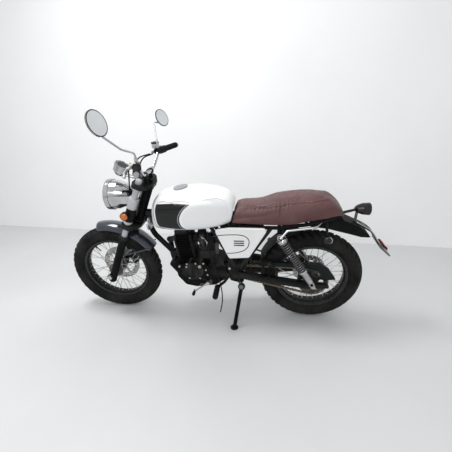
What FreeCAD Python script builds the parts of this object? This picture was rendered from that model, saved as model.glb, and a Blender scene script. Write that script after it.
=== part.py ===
import FreeCAD, Part
import math
import os

os.makedirs("parts", exist_ok=True)
Vec = FreeCAD.Vector

# The stance: leaning left on the side stand. Here x is forward from the rear axle,
# y is left, z is up, and the machine is upright until the last step leans it over.
LEAN_DEG = 9.24
RAKE_DEG = 23.5
RUNNING_CLEARANCE = 0.05
SURFACE_GAP = 0.3
MOVING_GAP = 6
CUT_OVERRUN = 20

# Tyres
FRONT_TYRE_RADIUS = 315
REAR_TYRE_RADIUS = 318
FRONT_TYRE_HALF_WIDTH = 54
REAR_TYRE_HALF_WIDTH = 62
TYRE_CROWN_RADIUS = 66
TYRE_WALL = 10
SHOULDER_SHARE = 0.76
SIDEWALL_SHARE = 0.52

# Rims, hubs and spokes
RIM_SEAT_RADIUS = 216
RIM_LIP_HEIGHT = 11
RIM_WELL_DEPTH = 11
RIM_WALL = 4
RIM_WELL_HALF_WIDTH = 12
FRONT_RIM_HALF_WIDTH = 29
REAR_RIM_HALF_WIDTH = 38
SPOKE_COUNT = 36
SPOKE_RADIUS = 1.9
SPOKE_EMBED = 1.5
SPOKE_SPREAD_DEG = 62
SPOKE_FLANGE_RADIUS = 43
HUB_FLANGE_RADIUS = 49
HUB_FLANGE_THICKNESS = 6
HUB_BARREL_RADIUS = 27
HUB_FLANGE_Y = 34
HUB_END_RADIUS = 21
FRONT_HUB_HALF_LENGTH = 60

# Brake discs
DISC_Y = 62
DISC_THICKNESS = 4
DISC_RING_WIDTH = 36
FRONT_DISC_RADIUS = 128
REAR_DISC_RADIUS = 105
DISC_HOLE_RADIUS = 4
DISC_HOLE_COUNT = 18
DISC_ARM_COUNT = 6
DISC_ARM_RADIUS = 7
DISC_CARRIER_RADIUS = 46
DISC_HOLE_SHARES = (0.7, 0.3)

# Calipers, each a block that straddles its disc
CALIPER_LENGTH = 84
CALIPER_DEPTH = 46
CALIPER_WIDTH = 46
CALIPER_SLOT = 10
CALIPER_CORNER = 10
FRONT_CALIPER_ANGLE_DEG = 152
REAR_CALIPER_ANGLE_DEG = 52

# Axles
AXLE_RADIUS = 9
AXLE_NUT_RADIUS = 14
AXLE_NUT_LENGTH = 12
SPACER_RADIUS = 15

# Fork, measured along the steering axis from the point nearest the front axle
FORK_HALF_SPREAD = 95
FORK_AHEAD = 38
AXLE_LEAD = 12
LOWER_LEG_RADIUS = 25
LOWER_LEG_BOTTOM = -45
LOWER_LEG_TOP = 335
SEAL_RADIUS = 28
SEAL_LENGTH = 30
STANCHION_RADIUS = 18
STANCHION_TOP = 728
COVER_RADIUS = 27
COVER_BOTTOM = 437
COVER_TOP = 612
LOWER_YOKE_AT = 412
UPPER_YOKE_AT = 692
YOKE_THICKNESS = 26
YOKE_HALF_DEPTH = 34
YOKE_REAR = 34
STEM_RADIUS = 15
HEAD_TUBE_RADIUS = 28
HEAD_TUBE_BORE = 21
HEAD_CUP_LENGTH = 14
STEM_NUT_RADIUS = 17
STEM_NUT_LENGTH = 14

# Handlebar and its controls; setbacks are measured back from the front axle
BAR_RADIUS = 11
BAR_END_RADIUS = 15
BAR_END_LENGTH = 13
BAR_BEND = 60
BAR_HEIGHT = 984
BAR_SETBACK = 312
BAR_TIP_SETBACK = 405
BAR_TIP_Y = 345
BAR_TIP_RISE = 100
BAR_KNEE_SETBACK = 323
BAR_KNEE_Y = 78
BAR_KNEE_RISE = 10
BAR_SHOULDER_SETBACK = 340
BAR_SHOULDER_Y = 178
BAR_SHOULDER_RISE = 97
BAR_CLAMP_RADIUS = 19
BAR_CLAMP_Y = 42
BAR_CLAMP_LENGTH = 24
GRIP_RADIUS = 17
GRIP_LENGTH = 122
GRIP_FLANGE_RADIUS = 22
GRIP_FLANGE_LENGTH = 5
PERCH_RADIUS = 20
PERCH_LENGTH = 34
SWITCH_LENGTH = 40
LEVER_REACH = 52
LEVER_LENGTH = 158
LEVER_RADIUS = 6
LEVER_PIVOT_RADIUS = 9.5
LEVER_DROP = 14
RESERVOIR_RADIUS = 23
RESERVOIR_HEIGHT = 34

# Mirrors, each set by its rider: centres, and where their stems bend
MIRROR_RADIUS = 57
MIRROR_DEPTH = 22
MIRROR_Y = 408
LEFT_MIRROR_SETBACK = 302
LEFT_MIRROR_RISE = 338
LEFT_MIRROR_TURN_SHARE = 0.20
LEFT_MIRROR_TILT_SHARE = 0.30
LEFT_STEM_SETBACK = 329
LEFT_STEM_Y = 298
LEFT_STEM_RISE = 206
RIGHT_MIRROR_SETBACK = 312
RIGHT_MIRROR_RISE = 268
RIGHT_MIRROR_TURN_SHARE = -0.40
RIGHT_MIRROR_TILT_SHARE = 0.40
RIGHT_STEM_SETBACK = 284
RIGHT_STEM_Y = 318
RIGHT_STEM_RISE = 252
MIRROR_STEM_RADIUS = 5
MIRROR_BOSS_RADIUS = 9
MIRROR_BEND = 50

# Headlight and speedometer
HEADLIGHT_RADIUS = 95
HEADLIGHT_SETBACK = 60
HEADLIGHT_HEIGHT = 856
HEADLIGHT_DEPTH = 148
HEADLIGHT_RIM_LENGTH = 22
HEADLIGHT_EAR_THICKNESS = 5
HEADLIGHT_EAR_HEIGHT = 46
SPEEDO_RADIUS = 47
SPEEDO_DEPTH = 62
SPEEDO_SETBACK = 158
SPEEDO_HEIGHT = 1012
SPEEDO_TILT_DEG = 32
SPEEDO_BRACKET_RADIUS = 9

# Front indicators
FRONT_LAMP_SETBACK = 201
FRONT_LAMP_Y = 130
FRONT_LAMP_Z = 777
LAMP_RADIUS = 24
LAMP_LENGTH = 30
LAMP_STEM_RADIUS = 8

# Front mudguard, an arc over the tyre
FRONT_GUARD_CLEARANCE = 37
FRONT_GUARD_THICKNESS = 3
FRONT_GUARD_HALF_WIDTH = 62
FRONT_GUARD_FROM_DEG = 79
FRONT_GUARD_TO_DEG = 148
FRONT_GUARD_LIP = 40
FRONT_GUARD_STAY_RADIUS = 5
FRONT_GUARD_STAY_AT = 318

# Cables and the front brake hose
CABLE_RADIUS = 4
CABLE_BEND = 70
CABLE_SPREAD_SHARES = (0.55, 0.50, 0.70)

# Main frame
BACKBONE_RADIUS = 24
BACKBONE_SETBACK = 276
BACKBONE_FRONT_Z = 737
BACKBONE_REAR_X = 560
BACKBONE_REAR_Z = 700
SADDLE_RADIUS = 12
DOWN_TUBE_RADIUS = 17
DOWN_TUBE_TOP_SETBACK = 262
DOWN_TUBE_TOP_Z = 716
DOWN_TUBE_BEND_SETBACK = 302
DOWN_TUBE_BEND_Z = 590
DOWN_TUBE_FOOT_X = 886
DOWN_TUBE_FOOT_Z = 446
DOWN_TUBE_BEND = 120
ENGINE_EAR_LENGTH = 58
ENGINE_EAR_HEIGHT = 52
ENGINE_EAR_THICKNESS = 6
RAIL_RADIUS = 11
RAIL_Y = 104
RAIL_BEND = 60
CROSS_TUBE_RADIUS = 10
CROSS_TUBES = (2, 3, 5)
STRUT_RADIUS = 12
STRUT_FOOT_Y = 98
FRONT_STRUT_TOP_X = 650
FRONT_STRUT_TOP_Y = 15
FRONT_STRUT_FOOT_X = 474
FRONT_STRUT_FOOT_Z = 425
REAR_STRUT_TOP_X = 262
REAR_STRUT_FOOT_X = 440
REAR_STRUT_FOOT_Z = 420
PLATE_INNER_Y = 88
PLATE_THICKNESS = 8
PLATE_CORNER = 22

# Horn, beside the gusset under the steering head
HORN_SETBACK = 310
HORN_Y = 60
HORN_Z = 690
HORN_RADIUS = 40
HORN_DEPTH = 16
HORN_BRACKET_RADIUS = 5

# Swingarm
PIVOT_X = 465
PIVOT_Z = 380
PIVOT_AXLE_RADIUS = 8
ARM_INNER_Y = 99
ARM_WIDTH = 28
ARM_HEIGHT = 42
ARM_TAIL = 96
ARM_CORNER = 12
ARM_BRACE_X = 388
ARM_BRACE_RADIUS = 17
SHOCK_FOOT_X = 14
SHOCK_FOOT_Z = 352
SHOCK_HEAD_X = 214
SHOCK_HEAD_Z = 663
SHOCK_Y = 150
SHOCK_EYE_RADIUS = 16
SHOCK_EYE_LENGTH = 26
SHOCK_STUD_RADIUS = 7
SHOCK_CUP_RADIUS = 30
SHOCK_CUP_LENGTH = 34
SHOCK_SPRING_RADIUS = 27
SHOCK_WIRE_DEPTH = 7
SHOCK_SPRING_SHARE = 0.60
SHOCK_BODY_RADIUS = 21
SHOCK_COILS = 15

# Chain drive
CHAIN_Y = 75
CHAIN_WIDTH = 16
CHAIN_HEIGHT = 11
REAR_SPROCKET_RADIUS = 96
SPROCKET_THICKNESS = 6
SPROCKET_WINDOW_RADIUS = 16
SPROCKET_WINDOW_COUNT = 6
FRONT_SPROCKET_RADIUS = 32
FRONT_SPROCKET_X = 572
FRONT_SPROCKET_Z = 388
CHAIN_GUARD_REAR = -138
CHAIN_GUARD_LENGTH = 468
CHAIN_GUARD_BASE = 340
CHAIN_GUARD_HEIGHT = 116
CHAIN_GUARD_Y = 89
CHAIN_GUARD_THICKNESS = 3

# Engine
CASE_REAR = 508
CASE_LENGTH = 404
CASE_BASE = 228
CASE_HEIGHT = 224
ENGINE_HALF_WIDTH = 60
ENGINE_CORNER = 22
LEFT_COVER_Y = 108
RIGHT_COVER_Y = 118
COVER_CORNER = 30
COVER_STEP = 8
CLUTCH_RADIUS = 62
CLUTCH_SHARES = (0.56, 0.53)
REAR_BOSS_SHARES = (0.03, 0.82)
CYLINDER_X = 786
CYLINDER_FOOT_Z = 428
CYLINDER_TILT_DEG = 8
CYLINDER_HEIGHT = 206
FIN_START = 26
CYLINDER_HALF_LENGTH = 60
CYLINDER_HALF_WIDTH = 62
FIN_COUNT = 13
FIN_THICKNESS = 4
FIN_CORNER = 16
CORE_SHARE = 0.80
HEAD_COVER_HEIGHT = 22

# Intake
INTAKE_RADIUS = 21
CARB_X = 690
CARB_Z = 556
CARB_RADIUS = 27
CARB_HALF_HEIGHT = 46
BOWL_RADIUS = 23

# Exhaust
PIPE_RADIUS = 17
PIPE_BEND = 70
MUFFLER_RADIUS = 48
MUFFLER_FRONT_X = 452
MUFFLER_FRONT_Y = 150
MUFFLER_FRONT_Z = 250
MUFFLER_REAR_X = 34
MUFFLER_REAR_Y = 194
MUFFLER_REAR_Z = 264
MUFFLER_CONE_LENGTH = 60
MUFFLER_OUTLET_RADIUS = 16
HANGER_RADIUS = 7

# Foot controls
PEG_X = 587
PEG_Z = 290
PEG_INNER_Y = 142
PEG_LENGTH = 100
PEG_RADIUS = 16
PEG_ARM_RADIUS = 9
PEG_ARM_BEND = 30
GEAR_SHAFT_X = 650
GEAR_SHAFT_Z = 306
GEAR_TIP_X = 744
GEAR_TIP_Z = 233
GEAR_Y = 124
LEVER_TIP_RADIUS = 9
LEVER_TIP_LENGTH = 34
FOOT_LEVER_RADIUS = 6
PEDAL_SHAFT_X = 520
PEDAL_SHAFT_Z = 330
PEDAL_Y = 150
PEDAL_TIP_X = 742
PEDAL_TIP_Z = 268
PEDAL_LOW_Z = 262
PILLION_Y = 150
PILLION_KNEE_X = 272
PILLION_KNEE_Z = 372
PILLION_PEG_X = 246
PILLION_PEG_Z = 462
PILLION_ARM_RADIUS = 6
PILLION_ROOT_SHARE = 0.12

# Tank
SEAT_TO_TANK = 4
TANK_LENGTH = 476
TANK_TO_AXLE = 332
TANK_BASE = 666
TANK_HEIGHT = 248
TANK_HALF_WIDTH = 142
TUNNEL_HALF_WIDTH = 34
TUNNEL_TOP = 762
CAP_TILT_DEG = 10
CAP_SETBACK = 176
CAP_RADIUS = 44
CAP_HEIGHT = 5
CAP_SINK = 6

# Seat
SEAT_REAR = -142
SEAT_LENGTH = 638
SEAT_BASE = 709
SEAT_HEIGHT = 171
SEAT_HALF_WIDTH = 125

# Side covers and the box between them
SIDE_COVER_REAR = 290
SIDE_COVER_LENGTH = 300
SIDE_COVER_BASE = 500
SIDE_COVER_HEIGHT = 204
SIDE_COVER_Y = 119
SIDE_COVER_THICKNESS = 14
SIDE_COVER_CORNER = 16
SIDE_COVER_EDGE = 4
SLOT_LENGTH = 44
SLOT_HEIGHT = 5
SLOT_PITCH = 14
SLOT_X = 447
SLOT_Z = 609
COVER_PEG_RADIUS = 7
AIRBOX_REAR = 318
AIRBOX_FRONT = 520
AIRBOX_BASE = 520
AIRBOX_TOP = 684
AIRBOX_HALF_WIDTH = 66
AIRBOX_CORNER = 14
THROAT_FRONT = 575
THROAT_HALF_WIDTH = 34

# Rear mudguards
TAIL_GUARD_REAR = -300
TAIL_GUARD_LENGTH = 340
TAIL_GUARD_BASE = 630
TAIL_GUARD_HEIGHT = 106
TAIL_GUARD_HALF_WIDTH = 62
TAIL_GUARD_THICKNESS = 4
INNER_GUARD_CLEARANCE = 22
INNER_GUARD_THICKNESS = 4
INNER_GUARD_FROM_DEG = 22
INNER_GUARD_TO_DEG = 74
GUARD_POST_RADIUS = 5

# Tail
TAIL_LAMP_RADIUS = 36
TAIL_LAMP_REAR = -290
TAIL_LAMP_LENGTH = 84
TAIL_LAMP_Z = 782
PLATE_ARM_HALF_WIDTH = 30
PLATE_ARM_THICKNESS = 6
PLATE_PANEL_HALF_WIDTH = 75
PLATE_PANEL_RUN = 54
PLATE_PANEL_DROP = 46
PLATE_PANEL_THICKNESS = 8
PLATE_ARM_TOP_X = -226
PLATE_ARM_TOP_Z = 706
PLATE_ARM_BEND_X = -312
PLATE_ARM_BEND_Z = 654
PLATE_ARM_LOW_X = -372
PLATE_ARM_LOW_Z = 568
REAR_LAMP_X = -44
REAR_LAMP_Y = 160
REAR_LAMP_Z = 656
GRAB_TUBE_RADIUS = 7
GRAB_BEND = 30
GRAB_KNEE_X = 176
GRAB_KNEE_Z = 706
GRAB_TAIL_X = 24
GRAB_TAIL_Z = 730
GRAB_END_X = -10
GRAB_END_Z = 738

# Side stand
STAND_PIVOT_X = 435
STAND_PIVOT_Y = 134
STAND_PIVOT_Z = 296
STAND_FOOT_X = 476.5
STAND_FOOT_Y = 226
STAND_LEG_RADIUS = 12
STAND_FOOT_RADIUS = 24
STAND_FOOT_THICKNESS = 10
STAND_LUG_RADIUS = 22
STAND_LUG_THICKNESS = 10
STAND_BOLT_RADIUS = 7
STAND_BRACKET_THICKNESS = 8
STAND_ARM_RADIUS = 12
STAND_SPLAY_SHARE = 0.1

# Breather hose, hanging from under the tank past the engine
HOSE_RADIUS = 3.5
HOSE_BEND = 900
HOSE_TOP_Y = 92
HOSE_STUB_RADIUS = 3
HOSE_ROUTE = [
    (634, 664), (639, 605), (632, 541), (622, 492), (607, 445), (586, 385), (570, 343),
    (560, 296), (555, 246), (555, 202), (562, 158), (570, 121),
]

# The share of a run that a bend may take at each end
RUN_SHARE = 0.45

# Stations of the tank from its rear: place, floor, crown, half width and slant, as shares
TANK_SHARES = [
    (0.000, 0.193, 0.645, 0.66, -0.226),
    (0.034, 0.165, 0.800, 0.75, -0.120),
    (0.130, 0.106, 0.917, 0.86, -0.050),
    (0.260, 0.055, 0.980, 0.94, 0.000),
    (0.430, 0.016, 0.996, 1.00, 0.000),
    (0.646, 0.000, 0.953, 1.00, 0.000),
    (0.819, 0.000, 0.894, 0.94, 0.000),
    (0.916, 0.008, 0.815, 0.84, 0.000),
    (0.970, 0.030, 0.677, 0.70, 0.000),
    (1.000, 0.110, 0.500, 0.48, 0.000),
]

# Stations of the seat from its tail: place, floor, crown, half width and slant, as shares
SEAT_SHARES = [
    (0.000, 0.290, 0.386, 0.46, 0.00),
    (0.022, 0.310, 0.560, 0.68, 0.00),
    (0.066, 0.345, 0.760, 0.86, 0.00),
    (0.113, 0.320, 0.918, 0.94, 0.00),
    (0.223, 0.228, 0.980, 1.00, 0.00),
    (0.326, 0.140, 1.000, 1.00, 0.00),
    (0.458, 0.030, 0.960, 1.00, 0.00),
    (0.561, 0.000, 0.900, 1.00, 0.00),
    (0.669, 0.000, 0.770, 0.98, 0.00),
    (0.777, 0.000, 0.672, 0.93, 0.00),
    (0.896, 0.000, 0.650, 0.88, -0.10),
    (1.000, 0.010, 0.600, 0.84, -0.25),
]

# Stations of a seat rail, as the seat's: place, floor, and its share of the rails' width
RAIL_SHARES = [(0.561, 0.000, 1.0), (0.326, 0.140, 1.0), (0.223, 0.228, 1.0), (0.100, 0.325, 0.8)]

# Outlines from the side, as shares of the length and the height of each piece
CASE_SHARES = [
    (0.030, 0.910), (0.000, 0.730), (0.080, 0.320), (0.255, 0.080), (0.530, 0.000), (0.725, 0.150),
    (0.865, 0.420), (1.000, 0.750), (0.930, 0.945), (0.475, 0.975), (0.230, 1.000),
]
LEFT_COVER_SHARES = [
    (0.325, 0.855), (0.355, 0.320), (0.530, 0.150), (0.715, 0.215), (0.835, 0.500), (0.850, 0.785),
    (0.625, 1.000), (0.450, 0.990),
]
DYNAMO_COVER_SHARES = [
    (0.690, 0.930), (0.530, 0.980), (0.385, 0.790), (0.470, 0.440), (0.660, 0.400), (0.765, 0.680),
]
SPROCKET_COVER_SHARES = [
    (0.070, 0.945), (0.055, 0.480), (0.130, 0.365), (0.330, 0.320), (0.350, 0.900), (0.275, 1.000),
]
RIGHT_COVER_SHARES = [
    (0.250, 0.900), (0.255, 0.320), (0.450, 0.100), (0.675, 0.150), (0.845, 0.455), (0.850, 0.810),
    (0.575, 1.000),
]
SIDE_COVER_SHARES = [
    (1.000, 0.930), (0.715, 1.000), (0.035, 1.000), (0.000, 0.940), (0.007, 0.890), (0.325, 0.050),
    (0.725, 0.000),
]
COVER_PEG_SHARES = [(0.20, 0.68), (0.70, 0.68), (0.47, 0.20)]
TAIL_GUARD_TOP_SHARES = [(1.000, 0.660), (0.705, 0.770), (0.470, 1.000), (0.175, 0.565), (0.000, 0.040)]
TAIL_GUARD_EDGE_SHARES = [(0.030, 0.000), (0.150, 0.010), (0.320, 0.160), (0.700, 0.460), (1.000, 0.580)]
CHAIN_GUARD_SHARES = [
    (1.000, 1.000), (0.200, 0.950), (0.100, 0.670), (0.000, 0.070), (0.130, 0.000), (0.230, 0.550),
    (0.380, 0.725), (1.000, 0.775),
]
CHAIN_GUARD_LIP_SHARES = [
    (1.000, 1.000), (0.200, 0.950), (0.100, 0.670), (0.000, 0.070), (0.011, 0.043), (0.105, 0.620),
    (0.200, 0.895), (1.000, 0.948),
]
CHAIN_GUARD_POST_SHARE = 0.86

# The header pipe's route: forward and up as the case's shares, outward as the right cover's
PIPE_SHARES = [(1.032, 0.49, 1.280), (1.035, 0.64, 0.857), (0.950, 0.80, 0.286), (0.723, 0.88, -0.080),
               (0.277, 0.95, -0.107)]

TANK_POWER_TOP = 2.5
TANK_POWER_BASE = 4.5
SEAT_POWER_TOP = 2.8
SEAT_POWER_BASE = 8
SECTION_POINTS = 28

# Places that follow from the sizes above
TANK_REAR = SEAT_REAR + SEAT_LENGTH + SEAT_TO_TANK
WHEELBASE = TANK_REAR + TANK_LENGTH + TANK_TO_AXLE
RIM_LIP_RADIUS = RIM_SEAT_RADIUS + RIM_LIP_HEIGHT
RIM_INNER_RADIUS = RIM_SEAT_RADIUS - RIM_WELL_DEPTH
FRONT_GUARD_RADIUS = FRONT_TYRE_RADIUS + FRONT_GUARD_CLEARANCE
INNER_GUARD_RADIUS = REAR_TYRE_RADIUS + INNER_GUARD_CLEARANCE
BAR_AT = WHEELBASE - BAR_SETBACK
BAR_TIP_Z = BAR_HEIGHT + BAR_TIP_RISE
HEADLIGHT_FRONT = WHEELBASE - HEADLIGHT_SETBACK
FRONT_LAMP_X = WHEELBASE - FRONT_LAMP_SETBACK
BACKBONE_FRONT_X = WHEELBASE - BACKBONE_SETBACK
DOWN_TUBE_TOP_X = WHEELBASE - DOWN_TUBE_TOP_SETBACK
DOWN_TUBE_BEND_X = WHEELBASE - DOWN_TUBE_BEND_SETBACK
HORN_X = WHEELBASE - HORN_SETBACK
CAP_X = TANK_REAR + TANK_LENGTH - CAP_SETBACK
REAR_AXLE = Vec(0, 0, REAR_TYRE_RADIUS)
FRONT_AXLE = Vec(WHEELBASE, 0, FRONT_TYRE_RADIUS)
RAKE = math.radians(RAKE_DEG)
LEAN = math.radians(LEAN_DEG)
STEER_UP = Vec(-math.sin(RAKE), 0, math.cos(RAKE))
STEER_AHEAD = Vec(math.cos(RAKE), 0, math.sin(RAKE))
STEER_BASE = FRONT_AXLE - STEER_AHEAD * (AXLE_LEAD + FORK_AHEAD)
SIDE = Vec(0, 1, 0)
FORWARD = Vec(1, 0, 0)
UP = Vec(0, 0, 1)


def rod(start, end, radius):
    """A round bar between two points."""
    return Part.makeCylinder(radius, (end - start).Length, start, end - start)


def tube(start, end, outer, inner):
    """A round pipe between two points."""
    return rod(start, end, outer).cut(rod(start, end, inner))


def bent_path(points, bend):
    """Straight runs joined by tangent arcs, as one wire."""
    edges = []
    last = points[0]
    for before, corner, after in zip(points, points[1:], points[2:]):
        back = (before - corner).normalize()
        ahead = (after - corner).normalize()
        half = back.getAngle(ahead) / 2
        room = RUN_SHARE * min((before - corner).Length, (after - corner).Length)
        reach = min(bend / math.tan(half), room)
        radius = reach * math.tan(half)
        inward = (back + ahead).normalize()
        centre = corner + inward * (radius / math.sin(half))
        start = corner + back * reach
        end = corner + ahead * reach
        edges.append(Part.LineSegment(last, start).toShape())
        edges.append(Part.Arc(start, centre - inward * radius, end).toShape())
        last = end
    edges.append(Part.LineSegment(last, points[-1]).toShape())
    return Part.Wire(edges)


def bent_rod(points, radius, bend):
    """A round bar along a bent path."""
    ring = Part.Wire(Part.makeCircle(radius, points[0], points[1] - points[0]))
    return bent_path(points, bend).makePipeShell([ring], True, False)


def rounded_loop(points, radius):
    """A closed outline whose corners are arcs."""
    edges = []
    count = len(points)
    ends = []
    for index, corner in enumerate(points):
        before = points[index - 1]
        after = points[(index + 1) % count]
        back = (before - corner).normalize()
        ahead = (after - corner).normalize()
        half = back.getAngle(ahead) / 2
        room = RUN_SHARE * min((before - corner).Length, (after - corner).Length)
        reach = min(radius / math.tan(half), room)
        bend = reach * math.tan(half)
        inward = (back + ahead).normalize()
        centre = corner + inward * (bend / math.sin(half))
        start = corner + back * reach
        end = corner + ahead * reach
        edges.append(Part.Arc(start, centre - inward * bend, end).toShape())
        ends.append((start, end))
    for index, (start, end) in enumerate(ends):
        following = ends[(index + 1) % count][0]
        edges.append(Part.LineSegment(end, following).toShape())
    return Part.Wire(Part.__sortEdges__(edges))


def plate(corners, radius, y_from, y_to):
    """A flat plate with rounded corners, drawn from the side."""
    loop = rounded_loop([Vec(x, y_from, z) for x, z in corners], radius)
    return Part.Face(loop).extrude(Vec(0, y_to - y_from, 0))


def placed(shares, rear, length, base, height):
    """The points of an outline from its shares."""
    return [(rear + place * length, base + rise * height) for place, rise in shares]


def ribbon(line, thickness, y_from, y_to):
    """A bent sheet of even thickness, drawn from the side; it lies under its line."""
    under = []
    for index, (x, z) in enumerate(line):
        before = line[max(index - 1, 0)]
        after = line[min(index + 1, len(line) - 1)]
        way = Vec(after[0] - before[0], 0, after[1] - before[1]).normalize()
        drop = thickness if way.x < 0 else -thickness
        under.append((x - way.z * drop, z + way.x * drop))
    corners = [Vec(x, y_from, z) for x, z in line + list(reversed(under))]
    return Part.Face(Part.makePolygon(corners + [corners[0]])).extrude(SIDE * (y_to - y_from))


def turned(outline, base, axis):
    """A turned solid; the outline gives places along the axis with their radii."""
    along = Vec(axis).normalize()
    other = FORWARD if abs(along.x) < abs(along.y) + abs(along.z) else UP
    across = along.cross(other).normalize()
    corners = [base + along * place + across * radius for place, radius in outline]
    face = Part.Face(Part.makePolygon(corners + [corners[0]]))
    return face.revolve(base, along, 360)


def mirrored(shape):
    """The same piece on the other side of the machine."""
    return shape.mirror(Vec(0, 0, 0), SIDE)


def pair(shape):
    """A piece with its mirror image."""
    return Part.makeCompound([shape, mirrored(shape)])


def fused(shapes):
    """Several solids joined into one, without the seams between flush faces."""
    return shapes[0].multiFuse(shapes[1:]).removeSplitter()


def section(x, low, high, half_width, slant, power_top, power_base):
    """One closed cross-section of a tank or a seat."""
    points = []
    middle = (low + high) / 2
    half_height = (high - low) / 2
    for index in range(SECTION_POINTS):
        angle = 2 * math.pi * index / SECTION_POINTS
        across = math.cos(angle)
        rise = math.sin(angle)
        power = power_top if rise > 0 else power_base
        y = half_width * math.copysign(abs(across) ** (2 / power), across)
        z = middle + half_height * math.copysign(abs(rise) ** (2 / power), rise)
        points.append(Vec(x + slant * (z - low), y, z))
    curve = Part.BSplineCurve()
    curve.interpolate(Points=points, PeriodicFlag=True)
    return Part.Wire(curve.toShape())


def lofted(shares, rear, length, base, height, half_width, power_top, power_base):
    """A smooth body through its stations."""
    rings = []
    for place, low, high, width, slant in shares:
        x = rear + place * length
        rings.append(section(x, base + low * height, base + high * height,
                             width * half_width, slant, power_top, power_base))
    return Part.makeLoft(rings, True, False)


def fork_point(along, ahead=0, side=0):
    """A point by its place along the steering axis, ahead of it and to its side."""
    return STEER_BASE + STEER_UP * along + STEER_AHEAD * ahead + SIDE * side


def wheel_ring(outline, axle):
    """A ring about an axle; the outline gives places across the wheel with radii."""
    return turned(outline, axle, SIDE)


def arc_band(axle, radius, thickness, half_width, from_deg, to_deg):
    """A curved sheet round an axle between two angles, counted up from forward."""
    start = math.radians(from_deg)
    place = Vec(math.cos(start), 0, math.sin(start))
    low = axle + place * radius
    high = axle + place * (radius + thickness)
    shift = SIDE * half_width
    corners = [low - shift, high - shift, high + shift, low + shift, low - shift]
    strip = Part.Face(Part.makePolygon(corners))
    return strip.revolve(axle, Vec(0, -1, 0), to_deg - from_deg)


def tyre(axle, radius, half_width, rim_half_width):
    """A tyre: crown and sidewall arcs outside, the same arcs one wall further in."""
    bead = rim_half_width - RIM_WALL
    foot = RIM_SEAT_RADIUS + SURFACE_GAP
    lip = RIM_LIP_RADIUS + SURFACE_GAP

    def arcs(inset):
        crown = TYRE_CROWN_RADIUS - inset
        reach = half_width - inset
        top = radius - inset
        shoulder = SHOULDER_SHARE * reach
        shoulder_r = top - crown + math.sqrt(crown ** 2 - shoulder ** 2)
        bead_y = bead - inset
        side_r = lip + SIDEWALL_SHARE * (shoulder_r - lip)
        places = [(bead_y, lip), (reach, side_r), (shoulder, shoulder_r), (0, top)]
        left = [axle + SIDE * y + UP * r for y, r in places]
        right = [axle - SIDE * y + UP * r for y, r in places]
        return left, right

    left, right = arcs(0)
    inner_left, inner_right = arcs(TYRE_WALL)
    foot_rise = UP * (foot - lip)
    edges = [
        Part.Arc(left[0], left[1], left[2]).toShape(),
        Part.Arc(left[2], left[3], right[2]).toShape(),
        Part.Arc(right[2], right[1], right[0]).toShape(),
        Part.LineSegment(right[0], right[0] + foot_rise).toShape(),
        Part.LineSegment(right[0] + foot_rise, inner_right[0] + foot_rise).toShape(),
        Part.LineSegment(inner_right[0] + foot_rise, inner_right[0]).toShape(),
        Part.Arc(inner_right[0], inner_right[1], inner_right[2]).toShape(),
        Part.Arc(inner_right[2], inner_right[3], inner_left[2]).toShape(),
        Part.Arc(inner_left[2], inner_left[1], inner_left[0]).toShape(),
        Part.LineSegment(inner_left[0], inner_left[0] + foot_rise).toShape(),
        Part.LineSegment(inner_left[0] + foot_rise, left[0] + foot_rise).toShape(),
        Part.LineSegment(left[0] + foot_rise, left[0]).toShape(),
    ]
    face = Part.Face(Part.Wire(edges))
    return face.revolve(axle, SIDE, 360)


def rim(axle, half_width):
    """A rim with two seats, two lips and a well between them."""
    well = RIM_WELL_HALF_WIDTH
    outer = [(-half_width, RIM_LIP_RADIUS), (RIM_WALL - half_width, RIM_LIP_RADIUS),
             (RIM_WALL - half_width, RIM_SEAT_RADIUS), (-well - RIM_WALL, RIM_SEAT_RADIUS),
             (-well, RIM_INNER_RADIUS + RIM_WALL), (well, RIM_INNER_RADIUS + RIM_WALL),
             (well + RIM_WALL, RIM_SEAT_RADIUS), (half_width - RIM_WALL, RIM_SEAT_RADIUS),
             (half_width - RIM_WALL, RIM_LIP_RADIUS), (half_width, RIM_LIP_RADIUS)]
    inner = [(half_width, RIM_SEAT_RADIUS - RIM_WALL), (well + RIM_WALL, RIM_SEAT_RADIUS - RIM_WALL),
             (well, RIM_INNER_RADIUS), (-well, RIM_INNER_RADIUS),
             (-well - RIM_WALL, RIM_SEAT_RADIUS - RIM_WALL), (-half_width, RIM_SEAT_RADIUS - RIM_WALL)]
    return wheel_ring(outer + inner, axle)


def spokes(axle):
    """Crossed spokes from both hub flanges to the rim."""
    pieces = []
    step = 360 / SPOKE_COUNT
    for index in range(SPOKE_COUNT):
        flank = 1 if index % 2 else -1
        lead = 1 if (index // 2) % 2 else -1
        outward = flank * (HUB_FLANGE_Y + lead * (HUB_FLANGE_THICKNESS / 2 - SPOKE_RADIUS / 2))
        rim_angle = math.radians(index * step)
        hub_angle = math.radians(index * step + lead * SPOKE_SPREAD_DEG)
        hub_dir = Vec(math.cos(hub_angle), 0, math.sin(hub_angle))
        rim_dir = Vec(math.cos(rim_angle), 0, math.sin(rim_angle))
        start = axle + hub_dir * SPOKE_FLANGE_RADIUS + SIDE * outward
        end = axle + rim_dir * (RIM_INNER_RADIUS + SPOKE_EMBED) + SIDE * (flank * SPOKE_RADIUS * 2)
        pieces.append(rod(start, end, SPOKE_RADIUS))
    return pieces


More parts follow.
